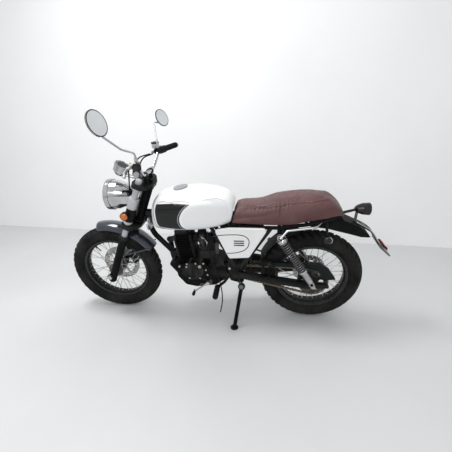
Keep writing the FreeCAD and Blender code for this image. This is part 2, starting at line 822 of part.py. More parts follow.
def hub(axle, left_end, right_end):
    """A hub with two spoke flanges, bored for its axle, with its spokes."""
    thick = HUB_FLANGE_THICKNESS / 2
    outline = [(-right_end, AXLE_RADIUS + RUNNING_CLEARANCE), (-right_end, HUB_END_RADIUS),
               (-HUB_FLANGE_Y - thick, HUB_END_RADIUS), (-HUB_FLANGE_Y - thick, HUB_FLANGE_RADIUS),
               (thick - HUB_FLANGE_Y, HUB_FLANGE_RADIUS), (thick - HUB_FLANGE_Y, HUB_BARREL_RADIUS),
               (HUB_FLANGE_Y - thick, HUB_BARREL_RADIUS), (HUB_FLANGE_Y - thick, HUB_FLANGE_RADIUS),
               (HUB_FLANGE_Y + thick, HUB_FLANGE_RADIUS), (HUB_FLANGE_Y + thick, HUB_END_RADIUS),
               (left_end, HUB_END_RADIUS), (left_end, AXLE_RADIUS + RUNNING_CLEARANCE)]
    return fused([wheel_ring(outline, axle)] + spokes(axle))


def brake_disc(axle, radius):
    """A drilled ring on a carrier with arms, on the right of the wheel."""
    face = -DISC_Y - DISC_THICKNESS / 2
    back = -DISC_Y + DISC_THICKNESS / 2
    inner = radius - DISC_RING_WIDTH
    ring = wheel_ring([(face, inner), (face, radius), (back, radius), (back, inner)], axle)
    bore = HUB_END_RADIUS + SURFACE_GAP
    carrier = wheel_ring([(face, bore), (face, DISC_CARRIER_RADIUS),
                          (back, DISC_CARRIER_RADIUS), (back, bore)], axle)
    pieces = [ring, carrier]
    for index in range(DISC_ARM_COUNT):
        angle = 2 * math.pi * index / DISC_ARM_COUNT
        out = Vec(math.cos(angle), 0, math.sin(angle))
        across = Vec(-math.sin(angle), 0, math.cos(angle)) * DISC_ARM_RADIUS
        near = axle + out * (DISC_CARRIER_RADIUS - DISC_ARM_RADIUS) + SIDE * face
        far = axle + out * (inner + DISC_ARM_RADIUS) + SIDE * face
        corners = [near - across, far - across, far + across, near + across, near - across]
        pieces.append(Part.Face(Part.makePolygon(corners)).extrude(SIDE * DISC_THICKNESS))
    disc = fused(pieces)
    holes = []
    for index in range(DISC_HOLE_COUNT * 2):
        angle = math.pi * index / DISC_HOLE_COUNT
        reach = inner + DISC_RING_WIDTH * DISC_HOLE_SHARES[index % 2]
        place = axle + Vec(math.cos(angle), 0, math.sin(angle)) * reach
        holes.append(rod(place + SIDE * (face - CUT_OVERRUN), place + SIDE * (back + CUT_OVERRUN),
                         DISC_HOLE_RADIUS))
    return disc.cut(holes)


def disc_slot(axle, disc_radius):
    """The room that a caliper leaves for its disc."""
    near = -DISC_Y - CALIPER_SLOT / 2
    far = CALIPER_SLOT / 2 - DISC_Y
    reach = disc_radius + MOVING_GAP
    return wheel_ring([(near, 0), (near, reach), (far, reach), (far, 0)], axle)


def caliper(axle, disc_radius, angle_deg):
    """A block over the edge of a disc, slotted for it."""
    angle = math.radians(angle_deg)
    out = Vec(math.cos(angle), 0, math.sin(angle))
    along = Vec(-math.sin(angle), 0, math.cos(angle))
    inner = disc_radius - DISC_RING_WIDTH + DISC_HOLE_RADIUS
    near = axle + out * inner + SIDE * (-DISC_Y - CALIPER_WIDTH / 2)
    half = along * (CALIPER_LENGTH / 2)
    depth = out * CALIPER_DEPTH
    corners = [near - half, near + half, near + half + depth, near - half + depth]
    loop = rounded_loop(corners, CALIPER_CORNER)
    block = Part.Face(loop).extrude(SIDE * CALIPER_WIDTH)
    return block.cut(disc_slot(axle, disc_radius)), near + depth / 2


def build_front_wheel():
    """Front tyre, rim, hub with spokes, and disc."""
    parts = {}
    parts["front_tyre"] = tyre(FRONT_AXLE, FRONT_TYRE_RADIUS, FRONT_TYRE_HALF_WIDTH, FRONT_RIM_HALF_WIDTH)
    parts["front_rim"] = rim(FRONT_AXLE, FRONT_RIM_HALF_WIDTH)
    parts["front_hub"] = hub(FRONT_AXLE, FRONT_HUB_HALF_LENGTH, DISC_Y + DISC_THICKNESS)
    parts["front_brake_disc"] = brake_disc(FRONT_AXLE, FRONT_DISC_RADIUS)
    return parts


def sprocket():
    """The rear sprocket, with windows, on the left of the hub."""
    face = CHAIN_Y - SPROCKET_THICKNESS / 2
    back = CHAIN_Y + SPROCKET_THICKNESS / 2
    outer = REAR_SPROCKET_RADIUS - CHAIN_HEIGHT / 2 - SURFACE_GAP
    bore = HUB_END_RADIUS + SURFACE_GAP
    body = wheel_ring([(face, bore), (face, outer), (back, outer), (back, bore)], REAR_AXLE)
    cuts = []
    for index in range(SPROCKET_WINDOW_COUNT):
        angle = 2 * math.pi * index / SPROCKET_WINDOW_COUNT
        place = REAR_AXLE + Vec(math.cos(angle), 0, math.sin(angle)) * ((outer + bore) / 2)
        cuts.append(rod(place + SIDE * (face - CUT_OVERRUN), place + SIDE * (back + CUT_OVERRUN),
                        SPROCKET_WINDOW_RADIUS))
    return body.cut(cuts)


def build_rear_wheel():
    """Rear tyre, rim, hub with spokes, sprocket and disc."""
    parts = {}
    parts["rear_tyre"] = tyre(REAR_AXLE, REAR_TYRE_RADIUS, REAR_TYRE_HALF_WIDTH, REAR_RIM_HALF_WIDTH)
    parts["rear_rim"] = rim(REAR_AXLE, REAR_RIM_HALF_WIDTH)
    parts["rear_hub"] = hub(REAR_AXLE, CHAIN_Y + SPROCKET_THICKNESS, DISC_Y + DISC_THICKNESS)
    parts["rear_sprocket"] = sprocket()
    parts["rear_brake_disc"] = brake_disc(REAR_AXLE, REAR_DISC_RADIUS)
    return parts


def yoke(at, with_nut):
    """A fork yoke: a plate that joins both legs and the stem."""
    low = fork_point(at - YOKE_THICKNESS / 2)
    across = FORK_HALF_SPREAD + COVER_RADIUS + MOVING_GAP
    corners = [
        low + STEER_AHEAD * (FORK_AHEAD + YOKE_HALF_DEPTH) + SIDE * across,
        low + STEER_AHEAD * (FORK_AHEAD + YOKE_HALF_DEPTH) - SIDE * across,
        low + STEER_AHEAD * (FORK_AHEAD - YOKE_HALF_DEPTH) - SIDE * across,
        low - STEER_AHEAD * YOKE_REAR - SIDE * YOKE_REAR,
        low - STEER_AHEAD * YOKE_REAR + SIDE * YOKE_REAR,
        low + STEER_AHEAD * (FORK_AHEAD - YOKE_HALF_DEPTH) + SIDE * across,
    ]
    body = Part.Face(rounded_loop(corners, YOKE_HALF_DEPTH)).extrude(STEER_UP * YOKE_THICKNESS)
    if with_nut:
        top = fork_point(at + YOKE_THICKNESS / 2)
        body = body.fuse(rod(top, top + STEER_UP * STEM_NUT_LENGTH, STEM_NUT_RADIUS))
    return body


def bar_place(setback, y, rise):
    """A point behind the front axle, above the middle of the handlebar."""
    return Vec(WHEELBASE - setback, y, BAR_HEIGHT + rise)


def mirror(foot, bend, centre, facing):
    """A mirror: a stem from its foot to the back of a round shell that faces the rider."""
    back = centre - facing * MIRROR_DEPTH
    end = back - UP * (MIRROR_RADIUS / 2)
    stem = bent_rod([foot + UP * RIM_WALL, foot + UP * LEVER_REACH, bend, end], MIRROR_STEM_RADIUS, MIRROR_BEND)
    boss = rod(foot + UP * BAR_RADIUS, foot + UP * (BAR_RADIUS + PERCH_RADIUS), MIRROR_BOSS_RADIUS)
    dish = turned([(0, 0), (0, MIRROR_RADIUS), (-RIM_WALL, MIRROR_RADIUS + RUNNING_CLEARANCE),
                   (-MIRROR_DEPTH * 0.5, MIRROR_RADIUS * 0.9), (-MIRROR_DEPTH, MIRROR_RADIUS * 0.55),
                   (-MIRROR_DEPTH, 0)], centre, facing)
    return fused([stem, boss, dish, Part.makeSphere(MIRROR_BOSS_RADIUS, end)])


def bar_points(flank):
    """The centre line of one half of the handlebar, from its middle to its tip."""
    return [
        Vec(BAR_AT, 0, BAR_HEIGHT),
        bar_place(BAR_KNEE_SETBACK, flank * BAR_KNEE_Y, BAR_KNEE_RISE),
        bar_place(BAR_SHOULDER_SETBACK, flank * BAR_SHOULDER_Y, BAR_SHOULDER_RISE),
        bar_place(BAR_TIP_SETBACK, flank * BAR_TIP_Y, BAR_TIP_RISE),
    ]


def build_handlebar():
    """Handlebar, grips, levers with their perches, and the mirrors."""
    parts = {}
    left = bar_points(1)
    route = list(reversed(bar_points(-1)))[:-1] + left[1:]
    bar = bent_rod(route, BAR_RADIUS, BAR_BEND)
    tip = left[-1]
    inward = (left[-2] - tip).normalize()
    ends = []
    for flank in (1, -1):
        end = bar_points(flank)[-1]
        way = (end - bar_points(flank)[-2]).normalize()
        ends.append(turned([(0, 0), (0, BAR_END_RADIUS), (BAR_END_LENGTH - RIM_WALL, BAR_END_RADIUS),
                            (BAR_END_LENGTH, BAR_END_RADIUS - RIM_WALL), (BAR_END_LENGTH, 0)], end, way))
    bar = fused([bar] + ends)
    parts["handlebar"] = bar

    sleeve = tube(tip, tip + inward * GRIP_LENGTH, GRIP_RADIUS, BAR_RADIUS)
    collar_end = tip + inward * (GRIP_LENGTH + GRIP_FLANGE_LENGTH)
    collar = tube(tip + inward * GRIP_LENGTH, collar_end, GRIP_FLANGE_RADIUS, BAR_RADIUS)
    parts["grips"] = pair(sleeve.fuse(collar).removeSplitter())

    switch_end = collar_end + inward * SWITCH_LENGTH
    perch_end = switch_end + inward * PERCH_LENGTH
    housing = tube(collar_end + inward * SURFACE_GAP, perch_end, PERCH_RADIUS, BAR_RADIUS)
    ahead = Vec(-inward.y, inward.x, 0).normalize()
    ahead = ahead if ahead.x > 0 else ahead * -1
    drop = UP * -LEVER_DROP
    pivot = switch_end + inward * (PERCH_LENGTH / 2) + ahead * LEVER_REACH + drop
    reach = rod(switch_end + inward * (PERCH_LENGTH / 2) + ahead * (BAR_RADIUS + RIM_WALL), pivot,
                LEVER_PIVOT_RADIUS)
    blade_end = pivot - inward * LEVER_LENGTH + ahead * LEVER_RADIUS
    blade_middle = pivot - inward * (LEVER_LENGTH / 2) + ahead * (LEVER_RADIUS * 2)
    blade = bent_rod([pivot, blade_middle, blade_end], LEVER_RADIUS, BAR_BEND)
    ball = Part.makeSphere(LEVER_RADIUS * 1.4, blade_end)
    lever = fused([housing, reach, blade, ball]).cut(bar)

    right = mirrored(lever)
    pot_base = Vec(pivot.x, -pivot.y, pivot.z) + drop * -1
    pot_base = pot_base - ahead * (LEVER_REACH / 2)
    pot_base = Vec(pot_base.x, pot_base.y, BAR_TIP_Z + BAR_RADIUS)
    pot = rod(pot_base, pot_base + UP * RESERVOIR_HEIGHT, RESERVOIR_RADIUS)
    saddle = rod(pot_base - UP * BAR_RADIUS, pot_base, BAR_RADIUS)
    right = fused([right, pot.cut(bar), saddle.cut(bar)])

    foot = switch_end + inward * (PERCH_LENGTH / 2) + UP * BAR_RADIUS
    left_mirror = mirror(
        foot, bar_place(LEFT_STEM_SETBACK, LEFT_STEM_Y, LEFT_STEM_RISE),
        bar_place(LEFT_MIRROR_SETBACK, MIRROR_Y, LEFT_MIRROR_RISE),
        Vec(-1, LEFT_MIRROR_TURN_SHARE, LEFT_MIRROR_TILT_SHARE).normalize())
    right_mirror = mirrored(mirror(
        foot, bar_place(RIGHT_STEM_SETBACK, RIGHT_STEM_Y, RIGHT_STEM_RISE),
        bar_place(RIGHT_MIRROR_SETBACK, MIRROR_Y, RIGHT_MIRROR_RISE),
        Vec(-1, RIGHT_MIRROR_TURN_SHARE, RIGHT_MIRROR_TILT_SHARE).normalize()))
    parts["mirrors"] = Part.makeCompound([left_mirror.cut(lever), right_mirror.cut(mirrored(lever))])
    parts["levers"] = Part.makeCompound([lever, right.cut(right_mirror)])
    return parts, tip, inward


def build_fork():
    """Yokes with stem, stanchions with their covers, lower legs and axle."""
    parts = {}
    stem = rod(fork_point(LOWER_YOKE_AT), fork_point(UPPER_YOKE_AT), STEM_RADIUS)
    clamps = []
    for flank in (1, -1):
        start, knee = bar_points(flank)[:2]
        way = (knee - start).normalize()
        middle = start + way * BAR_CLAMP_Y
        way = way * (BAR_CLAMP_LENGTH / 2)
        clamps.append(rod(middle - way, middle + way, BAR_CLAMP_RADIUS))
        foot = fork_point(UPPER_YOKE_AT, 0, flank * BAR_CLAMP_Y)
        clamps.append(rod(foot, middle, BAR_CLAMP_LENGTH / 2))
    yokes = fused([yoke(LOWER_YOKE_AT, False), yoke(UPPER_YOKE_AT, True), stem] + clamps)
    legs = []
    covers = []
    lowers = []
    for flank in (1, -1):
        side = flank * FORK_HALF_SPREAD
        legs.append(rod(fork_point(LOWER_LEG_TOP - SEAL_LENGTH, FORK_AHEAD, side),
                        fork_point(STANCHION_TOP, FORK_AHEAD, side), STANCHION_RADIUS))
        covers.append(tube(fork_point(COVER_BOTTOM, FORK_AHEAD, side), fork_point(COVER_TOP, FORK_AHEAD, side),
                           COVER_RADIUS, STANCHION_RADIUS))
    bar = bent_rod(list(reversed(bar_points(-1)))[:-1] + bar_points(1)[1:], BAR_RADIUS, BAR_BEND)
    yokes = yokes.cut(legs).cut(bar)
    parts["triple_clamp"] = yokes
    uppers = []
    for leg, cover in zip(legs, covers):
        uppers.append(leg.fuse(cover).removeSplitter())
    parts["fork_uppers"] = Part.makeCompound(uppers)

    block, hold = caliper(FRONT_AXLE, FRONT_DISC_RADIUS, FRONT_CALIPER_ANGLE_DEG)
    for flank in (1, -1):
        side = flank * FORK_HALF_SPREAD
        base = fork_point(LOWER_LEG_BOTTOM, FORK_AHEAD, side)
        length = LOWER_LEG_TOP - LOWER_LEG_BOTTOM
        outline = [(0, 0), (0, LOWER_LEG_RADIUS * 0.7), (LOWER_LEG_RADIUS * 0.4, LOWER_LEG_RADIUS),
                   (length - SEAL_LENGTH, LOWER_LEG_RADIUS), (length - SEAL_LENGTH, SEAL_RADIUS),
                   (length, SEAL_RADIUS), (length, 0)]
        leg = turned(outline, base, STEER_UP)
        inner = FRONT_AXLE + SIDE * side
        boss = rod(inner - SIDE * LOWER_LEG_RADIUS, inner + SIDE * LOWER_LEG_RADIUS, AXLE_RADIUS * 2)
        pieces = [leg, boss]
        if flank < 0:
            link_to = fork_point((hold - STEER_BASE).dot(STEER_UP), FORK_AHEAD, side)
            pieces.append(block)
            for shift in (-CALIPER_DEPTH / 3, CALIPER_DEPTH / 3):
                lug = Vec(hold.x, -DISC_Y - CALIPER_WIDTH / 2 + RIM_WALL, hold.z) + STEER_UP * shift
                pieces.append(rod(lug, link_to + STEER_UP * shift, AXLE_RADIUS))
        body = fused(pieces)
        if flank < 0:
            body = body.cut(disc_slot(FRONT_AXLE, FRONT_DISC_RADIUS))
        over = SIDE * (LOWER_LEG_RADIUS + CUT_OVERRUN)
        body = body.cut(rod(inner - over, inner + over, AXLE_RADIUS))
        body = body.cut(rod(fork_point(LOWER_LEG_TOP - SEAL_LENGTH, FORK_AHEAD, side),
                            fork_point(LOWER_LEG_TOP + CUT_OVERRUN, FORK_AHEAD, side), STANCHION_RADIUS))
        lowers.append(body)
    parts["fork_lowers"] = Part.makeCompound(lowers)

    end = FORK_HALF_SPREAD + LOWER_LEG_RADIUS
    left_shoulder = FRONT_HUB_HALF_LENGTH + SURFACE_GAP
    right_shoulder = DISC_Y + DISC_THICKNESS + SURFACE_GAP
    leg_face = FORK_HALF_SPREAD - LOWER_LEG_RADIUS
    outline = [(-end - AXLE_NUT_LENGTH, 0), (-end - AXLE_NUT_LENGTH, AXLE_NUT_RADIUS),
               (-end, AXLE_NUT_RADIUS), (-end, AXLE_RADIUS), (-leg_face, AXLE_RADIUS), (-leg_face, SPACER_RADIUS),
               (-right_shoulder, SPACER_RADIUS), (-right_shoulder, AXLE_RADIUS), (left_shoulder, AXLE_RADIUS),
               (left_shoulder, SPACER_RADIUS), (leg_face, SPACER_RADIUS), (leg_face, AXLE_RADIUS),
               (end, AXLE_RADIUS), (end, AXLE_NUT_RADIUS), (end + AXLE_NUT_LENGTH, AXLE_NUT_RADIUS),
               (end + AXLE_NUT_LENGTH, 0)]
    parts["front_axle"] = wheel_ring(outline, FRONT_AXLE)
    return parts


def lamp_body(foot):
    """An indicator: a round body with a domed lens that faces outward."""
    return turned([(0, 0), (0, LAMP_RADIUS * 0.7), (LAMP_LENGTH * 0.3, LAMP_RADIUS), (LAMP_LENGTH, LAMP_RADIUS),
                   (LAMP_LENGTH * 1.2, LAMP_RADIUS * 0.6), (LAMP_LENGTH * 1.25, 0)], foot, SIDE)


def build_front_lamps(uppers):
    """Headlight on its ears, speedometer and the front indicators."""
    parts = {}
    front = Vec(HEADLIGHT_FRONT, 0, HEADLIGHT_HEIGHT)
    radius = HEADLIGHT_RADIUS
    outline = [(0, 0), (RIM_WALL, radius * 0.6), (0, radius * 0.94), (-RIM_WALL, radius),
               (-HEADLIGHT_RIM_LENGTH, radius), (-HEADLIGHT_RIM_LENGTH, radius * 0.95),
               (-HEADLIGHT_DEPTH * 0.42, radius * 0.92), (-HEADLIGHT_DEPTH * 0.7, radius * 0.75),
               (-HEADLIGHT_DEPTH * 0.9, radius * 0.48), (-HEADLIGHT_DEPTH, radius * 0.2), (-HEADLIGHT_DEPTH, 0)]
    shell = turned([(-RIM_WALL + place, size) for place, size in outline], front, FORWARD)
    bolt_x = HEADLIGHT_FRONT - HEADLIGHT_RADIUS * 0.7
    ears = []
    for flank in (1, -1):
        inner = flank * (HEADLIGHT_RADIUS + SURFACE_GAP)
        half = HEADLIGHT_EAR_HEIGHT / 2
        level = (HEADLIGHT_HEIGHT - STEER_BASE.z) / STEER_UP.z - FORK_AHEAD * STEER_AHEAD.z / STEER_UP.z
        hold = fork_point(level, FORK_AHEAD)
        corners = [(bolt_x + half, HEADLIGHT_HEIGHT - half), (bolt_x + half, HEADLIGHT_HEIGHT + half),
                   (hold.x, HEADLIGHT_HEIGHT + half), (hold.x, HEADLIGHT_HEIGHT - half)]
        ear = plate(corners, half / 2, inner, inner + flank * HEADLIGHT_EAR_THICKNESS)
        bolt = rod(Vec(bolt_x, flank * radius * 0.8, HEADLIGHT_HEIGHT), Vec(bolt_x, inner, HEADLIGHT_HEIGHT),
                   RIM_WALL * 2)
        ears.append(fused([ear, bolt.cut(shell)]))
    parts["headlight"] = fused([shell] + ears).cut(uppers)

    tilt = math.radians(SPEEDO_TILT_DEG)
    facing = Vec(-math.sin(tilt), 0, math.cos(tilt))
    face = Vec(WHEELBASE - SPEEDO_SETBACK, 0, SPEEDO_HEIGHT) + facing * (SPEEDO_DEPTH / 2)
    big = SPEEDO_RADIUS
    can = turned([(0, 0), (0, big), (-RIM_WALL * 2, big), (-RIM_WALL * 2, big * 0.94),
                  (-SPEEDO_DEPTH * 0.7, big * 0.9), (-SPEEDO_DEPTH, big * 0.6), (-SPEEDO_DEPTH, 0)], face, facing)
    low = face - facing * (SPEEDO_DEPTH - RIM_WALL)
    arm_end = fork_point(UPPER_YOKE_AT, FORK_AHEAD + YOKE_HALF_DEPTH)
    arm = rod(low, arm_end, SPEEDO_BRACKET_RADIUS)
    parts["speedometer"] = can.fuse(arm).removeSplitter()

    inner = Vec(FRONT_LAMP_X, FORK_HALF_SPREAD + COVER_RADIUS / 2, FRONT_LAMP_Z)
    outer = Vec(FRONT_LAMP_X, FRONT_LAMP_Y, FRONT_LAMP_Z)
    stem = rod(inner, outer, LAMP_STEM_RADIUS)
    body = lamp_body(outer)
    lamp = stem.fuse(body).cut(uppers)
    parts["front_indicators"] = pair(lamp)
    return parts


def build_front_guard(lowers):
    """The short front mudguard with its stays to the fork legs."""
    band = arc_band(FRONT_AXLE, FRONT_GUARD_RADIUS, FRONT_GUARD_THICKNESS, FRONT_GUARD_HALF_WIDTH,
                    FRONT_GUARD_FROM_DEG, FRONT_GUARD_TO_DEG)
    pieces = [band]
    for flank in (1, -1):
        edge = FRONT_GUARD_HALF_WIDTH - FRONT_GUARD_THICKNESS
        lip = arc_band(FRONT_AXLE, FRONT_GUARD_RADIUS - FRONT_GUARD_LIP, FRONT_GUARD_LIP + FRONT_GUARD_THICKNESS,
                       FRONT_GUARD_THICKNESS / 2, FRONT_GUARD_FROM_DEG, FRONT_GUARD_TO_DEG)
        lip.translate(SIDE * (flank * (edge + FRONT_GUARD_THICKNESS / 2)))
        pieces.append(lip)
        wall = (SEAL_RADIUS + STANCHION_RADIUS) / 2
        leg = fork_point(FRONT_GUARD_STAY_AT, FORK_AHEAD, flank * (FORK_HALF_SPREAD - wall))
        spot = fork_point(FRONT_GUARD_STAY_AT, FORK_AHEAD, flank * (edge + FRONT_GUARD_THICKNESS / 2))
        pieces.append(rod(spot, leg, AXLE_RADIUS))
        tail = math.radians(FRONT_GUARD_TO_DEG - RIM_WALL)
        reach = FRONT_GUARD_RADIUS - FRONT_GUARD_STAY_RADIUS * 2
        tip = FRONT_AXLE + Vec(math.cos(tail), 0, math.sin(tail)) * reach + SIDE * (flank * FRONT_GUARD_HALF_WIDTH)
        low_leg = fork_point(FRONT_GUARD_STAY_AT / 2, FORK_AHEAD, flank * (FORK_HALF_SPREAD - LOWER_LEG_RADIUS / 2))
        pieces.append(rod(tip, low_leg, FRONT_GUARD_STAY_RADIUS))
    return {"front_mudguard": fused(pieces).cut(lowers)}


def build_cables(tip, inward):
    """Clutch and throttle cables and the brake hose, from the bars to the lower yoke."""
    perch = tip + inward * (GRIP_LENGTH + GRIP_FLANGE_LENGTH + SWITCH_LENGTH + PERCH_LENGTH)
    routes = []
    for flank, depth, spread in zip((1, -1, -1), (0, 0, 1), CABLE_SPREAD_SHARES):
        side = flank * spread * FORK_HALF_SPREAD
        start = Vec(perch.x + LEVER_REACH / 2 + depth * GRIP_RADIUS, flank * perch.y, perch.z - LEVER_DROP)
        loop = Vec(start.x + LEVER_REACH + depth * PERCH_RADIUS, flank * (perch.y - GRIP_LENGTH / 2),
                   start.z - BAR_RADIUS)
        down = fork_point(COVER_TOP, FORK_AHEAD + COVER_RADIUS + PERCH_RADIUS, side)
        low = fork_point(COVER_BOTTOM, FORK_AHEAD + GRIP_RADIUS, side)
        end = fork_point(LOWER_YOKE_AT + YOKE_THICKNESS / 2, FORK_AHEAD, side)
        routes.append(bent_rod([start, loop, down, low, end], CABLE_RADIUS, CABLE_BEND))
    return routes


def rail_points(flank):
    """The centre line of a seat rail, just under the seat."""
    points = [
        Vec(BACKBONE_REAR_X + RAIL_BEND, flank * BACKBONE_RADIUS / 2, BACKBONE_REAR_Z),
        Vec(BACKBONE_REAR_X - RAIL_BEND / 2, flank * RAIL_Y, SEAT_BASE - RAIL_RADIUS),
    ]
    for place, floor, width in RAIL_SHARES:
        points.append(Vec(SEAT_REAR + place * SEAT_LENGTH, flank * width * RAIL_Y,
                          SEAT_BASE + floor * SEAT_HEIGHT - RAIL_RADIUS + GRAB_TUBE_RADIUS / 3))
    return points


def build_frame():
    """Backbone with steering head, down tube, seat rails and struts with pivot plates."""
    parts = {}
    head_low = fork_point(LOWER_YOKE_AT + YOKE_THICKNESS / 2 + SURFACE_GAP)
    head_high = fork_point(UPPER_YOKE_AT - YOKE_THICKNESS / 2 - SURFACE_GAP)
    length = (head_high - head_low).Length
    fit = STEM_RADIUS + RUNNING_CLEARANCE
    outline = [(0, fit), (0, HEAD_TUBE_RADIUS + RIM_WALL), (HEAD_CUP_LENGTH, HEAD_TUBE_RADIUS + RIM_WALL),
               (HEAD_CUP_LENGTH, HEAD_TUBE_RADIUS), (length - HEAD_CUP_LENGTH, HEAD_TUBE_RADIUS),
               (length - HEAD_CUP_LENGTH, HEAD_TUBE_RADIUS + RIM_WALL), (length, HEAD_TUBE_RADIUS + RIM_WALL),
               (length, fit), (length - HEAD_CUP_LENGTH, fit), (length - HEAD_CUP_LENGTH, HEAD_TUBE_BORE),
               (HEAD_CUP_LENGTH, HEAD_TUBE_BORE), (HEAD_CUP_LENGTH, fit)]
    head = turned(outline, head_low, STEER_UP)
    inside = rod(head_low, head_high, HEAD_TUBE_BORE)
    front = Vec(BACKBONE_FRONT_X, 0, BACKBONE_FRONT_Z)
    rear = Vec(BACKBONE_REAR_X, 0, BACKBONE_REAR_Z)
    spine = rod(rear, front, BACKBONE_RADIUS).cut(inside)
    gusset = plate([(front.x, front.z), (DOWN_TUBE_TOP_X, DOWN_TUBE_TOP_Z),
                    (DOWN_TUBE_BEND_X - DOWN_TUBE_RADIUS, DOWN_TUBE_BEND_Z + BACKBONE_RADIUS * 2),
                    (front.x - BACKBONE_RADIUS * 5, front.z - BACKBONE_RADIUS)], PLATE_THICKNESS,
                   -PLATE_THICKNESS / 2, PLATE_THICKNESS / 2).cut(inside)
    saddle_at = (rear + front * 2) / 3
    saddle = rod(saddle_at, Vec(saddle_at.x, 0, TUNNEL_TOP - SURFACE_GAP), SADDLE_RADIUS)
    backbone = fused([head, spine, gusset, saddle])
    horn = Vec(HORN_X, HORN_Y, HORN_Z)
    bell = turned([(-HORN_DEPTH / 2, 0), (-HORN_DEPTH / 2, HORN_RADIUS * 0.7), (0, HORN_RADIUS),
                   (HORN_DEPTH / 2, HORN_RADIUS), (HORN_DEPTH / 2, 0)], horn, FORWARD)
    bracket = rod(Vec(HORN_X, PLATE_THICKNESS / 2, HORN_Z), horn, HORN_BRACKET_RADIUS)
    parts["horn"] = fused([bell, bracket])

    top = Vec(DOWN_TUBE_TOP_X, 0, DOWN_TUBE_TOP_Z)
    foot = Vec(DOWN_TUBE_FOOT_X, 0, DOWN_TUBE_FOOT_Z)
    down = bent_rod([top, Vec(DOWN_TUBE_BEND_X, 0, DOWN_TUBE_BEND_Z), foot], DOWN_TUBE_RADIUS, DOWN_TUBE_BEND)
    down = down.cut(backbone).cut(inside)
    ears = []
    for flank in (1, -1):
        inner = flank * DOWN_TUBE_RADIUS
        half = ENGINE_EAR_HEIGHT / 2
        corners = [(foot.x + half, foot.z + half), (foot.x + half / 2, foot.z - ENGINE_EAR_HEIGHT),
                   (foot.x - ENGINE_EAR_LENGTH, foot.z - half), (foot.x - half, foot.z + half)]
        ears.append(plate(corners, half / 2, inner - flank * SURFACE_GAP,
                          inner + flank * ENGINE_EAR_THICKNESS))
    parts["frame_backbone"] = backbone
    parts["frame_down_tube"] = fused([down] + ears)

    rails = []
    for flank in (1, -1):
        rails.append(bent_rod(rail_points(flank), RAIL_RADIUS, RAIL_BEND))
    crossings = []
    for index in CROSS_TUBES:
        left = rail_points(1)[index]
        crossings.append(rod(Vec(left.x, -left.y, left.z), left, CROSS_TUBE_RADIUS))
    for flank in (1, -1):
        post = Vec(SHOCK_HEAD_X, flank * RAIL_Y, SHOCK_HEAD_Z)
        crossings.append(rod(post, Vec(SHOCK_HEAD_X, flank * RAIL_Y, rail_points(1)[2].z), STRUT_RADIUS))
        end = flank * (SHOCK_Y + SHOCK_EYE_LENGTH / 2 + RIM_WALL)
        crossings.append(rod(post, Vec(SHOCK_HEAD_X, end, SHOCK_HEAD_Z), SHOCK_STUD_RADIUS))
    subframe = fused(rails + crossings).cut(backbone)
    parts["seat_rails"] = subframe

    axle_hole = rod(Vec(PIVOT_X, -ARM_INNER_Y, PIVOT_Z), Vec(PIVOT_X, ARM_INNER_Y, PIVOT_Z), PIVOT_AXLE_RADIUS)
    fronts = []
    rears = []
    for flank in (1, -1):
        inner = flank * PLATE_INNER_Y
        outer = flank * (PLATE_INNER_Y + PLATE_THICKNESS)
        corners = [(FRONT_STRUT_FOOT_X + PLATE_CORNER, FRONT_STRUT_FOOT_Z + PLATE_CORNER),
                   (PIVOT_X + PLATE_CORNER * 3, PIVOT_Z + PLATE_CORNER * 2),
                   (PIVOT_X + PLATE_CORNER * 2, PIVOT_Z - PLATE_CORNER * 3),
                   (PIVOT_X - PLATE_CORNER * 2, PIVOT_Z - PLATE_CORNER * 4),
                   (PIVOT_X - PLATE_CORNER * 2, PIVOT_Z + PLATE_CORNER),
                   (REAR_STRUT_FOOT_X - PLATE_CORNER, REAR_STRUT_FOOT_Z + PLATE_CORNER)]
        cheek = plate(corners, PLATE_CORNER, inner, outer)
        foot, top = front_strut_line(flank)
        leg = rod(foot, top, STRUT_RADIUS)
        pieces = [cheek, leg]
        if flank > 0:
            pieces.extend(stand_bracket())
        joined = pieces[0].multiFuse(pieces[1:])
        fronts.append(joined.cut(subframe).cut(backbone).cut(axle_hole))
        foot, top = rear_strut_line(flank)
        rears.append(rod(foot, top, STRUT_RADIUS).cut(subframe).cut(fronts[-1]))
    parts["front_struts"] = Part.makeCompound(fronts)
    parts["rear_struts"] = Part.makeCompound(rears)
    return parts


def stand_axis():
    """The stand's hinge axis, square to its leg down and its leg folded back."""
    down = (stand_foot() - stand_pivot()).normalize()
    folded = Vec(-1, STAND_SPLAY_SHARE, 0).normalize()
    return down.cross(folded).normalize()


def stand_pivot():
    """The centre of the stand's hinge."""
    return Vec(STAND_PIVOT_X, STAND_PIVOT_Y, STAND_PIVOT_Z)


def floor_height(y):
    """The height of the floor beside the leaning machine, in the upright frame."""
    lift = TYRE_CROWN_RADIUS * (1 - math.cos(LEAN))
    return y * math.tan(LEAN) - lift / math.cos(LEAN)


def stand_foot():
    """The middle of the stand's sole, on the floor."""
    return Vec(STAND_FOOT_X, STAND_FOOT_Y, floor_height(STAND_FOOT_Y))


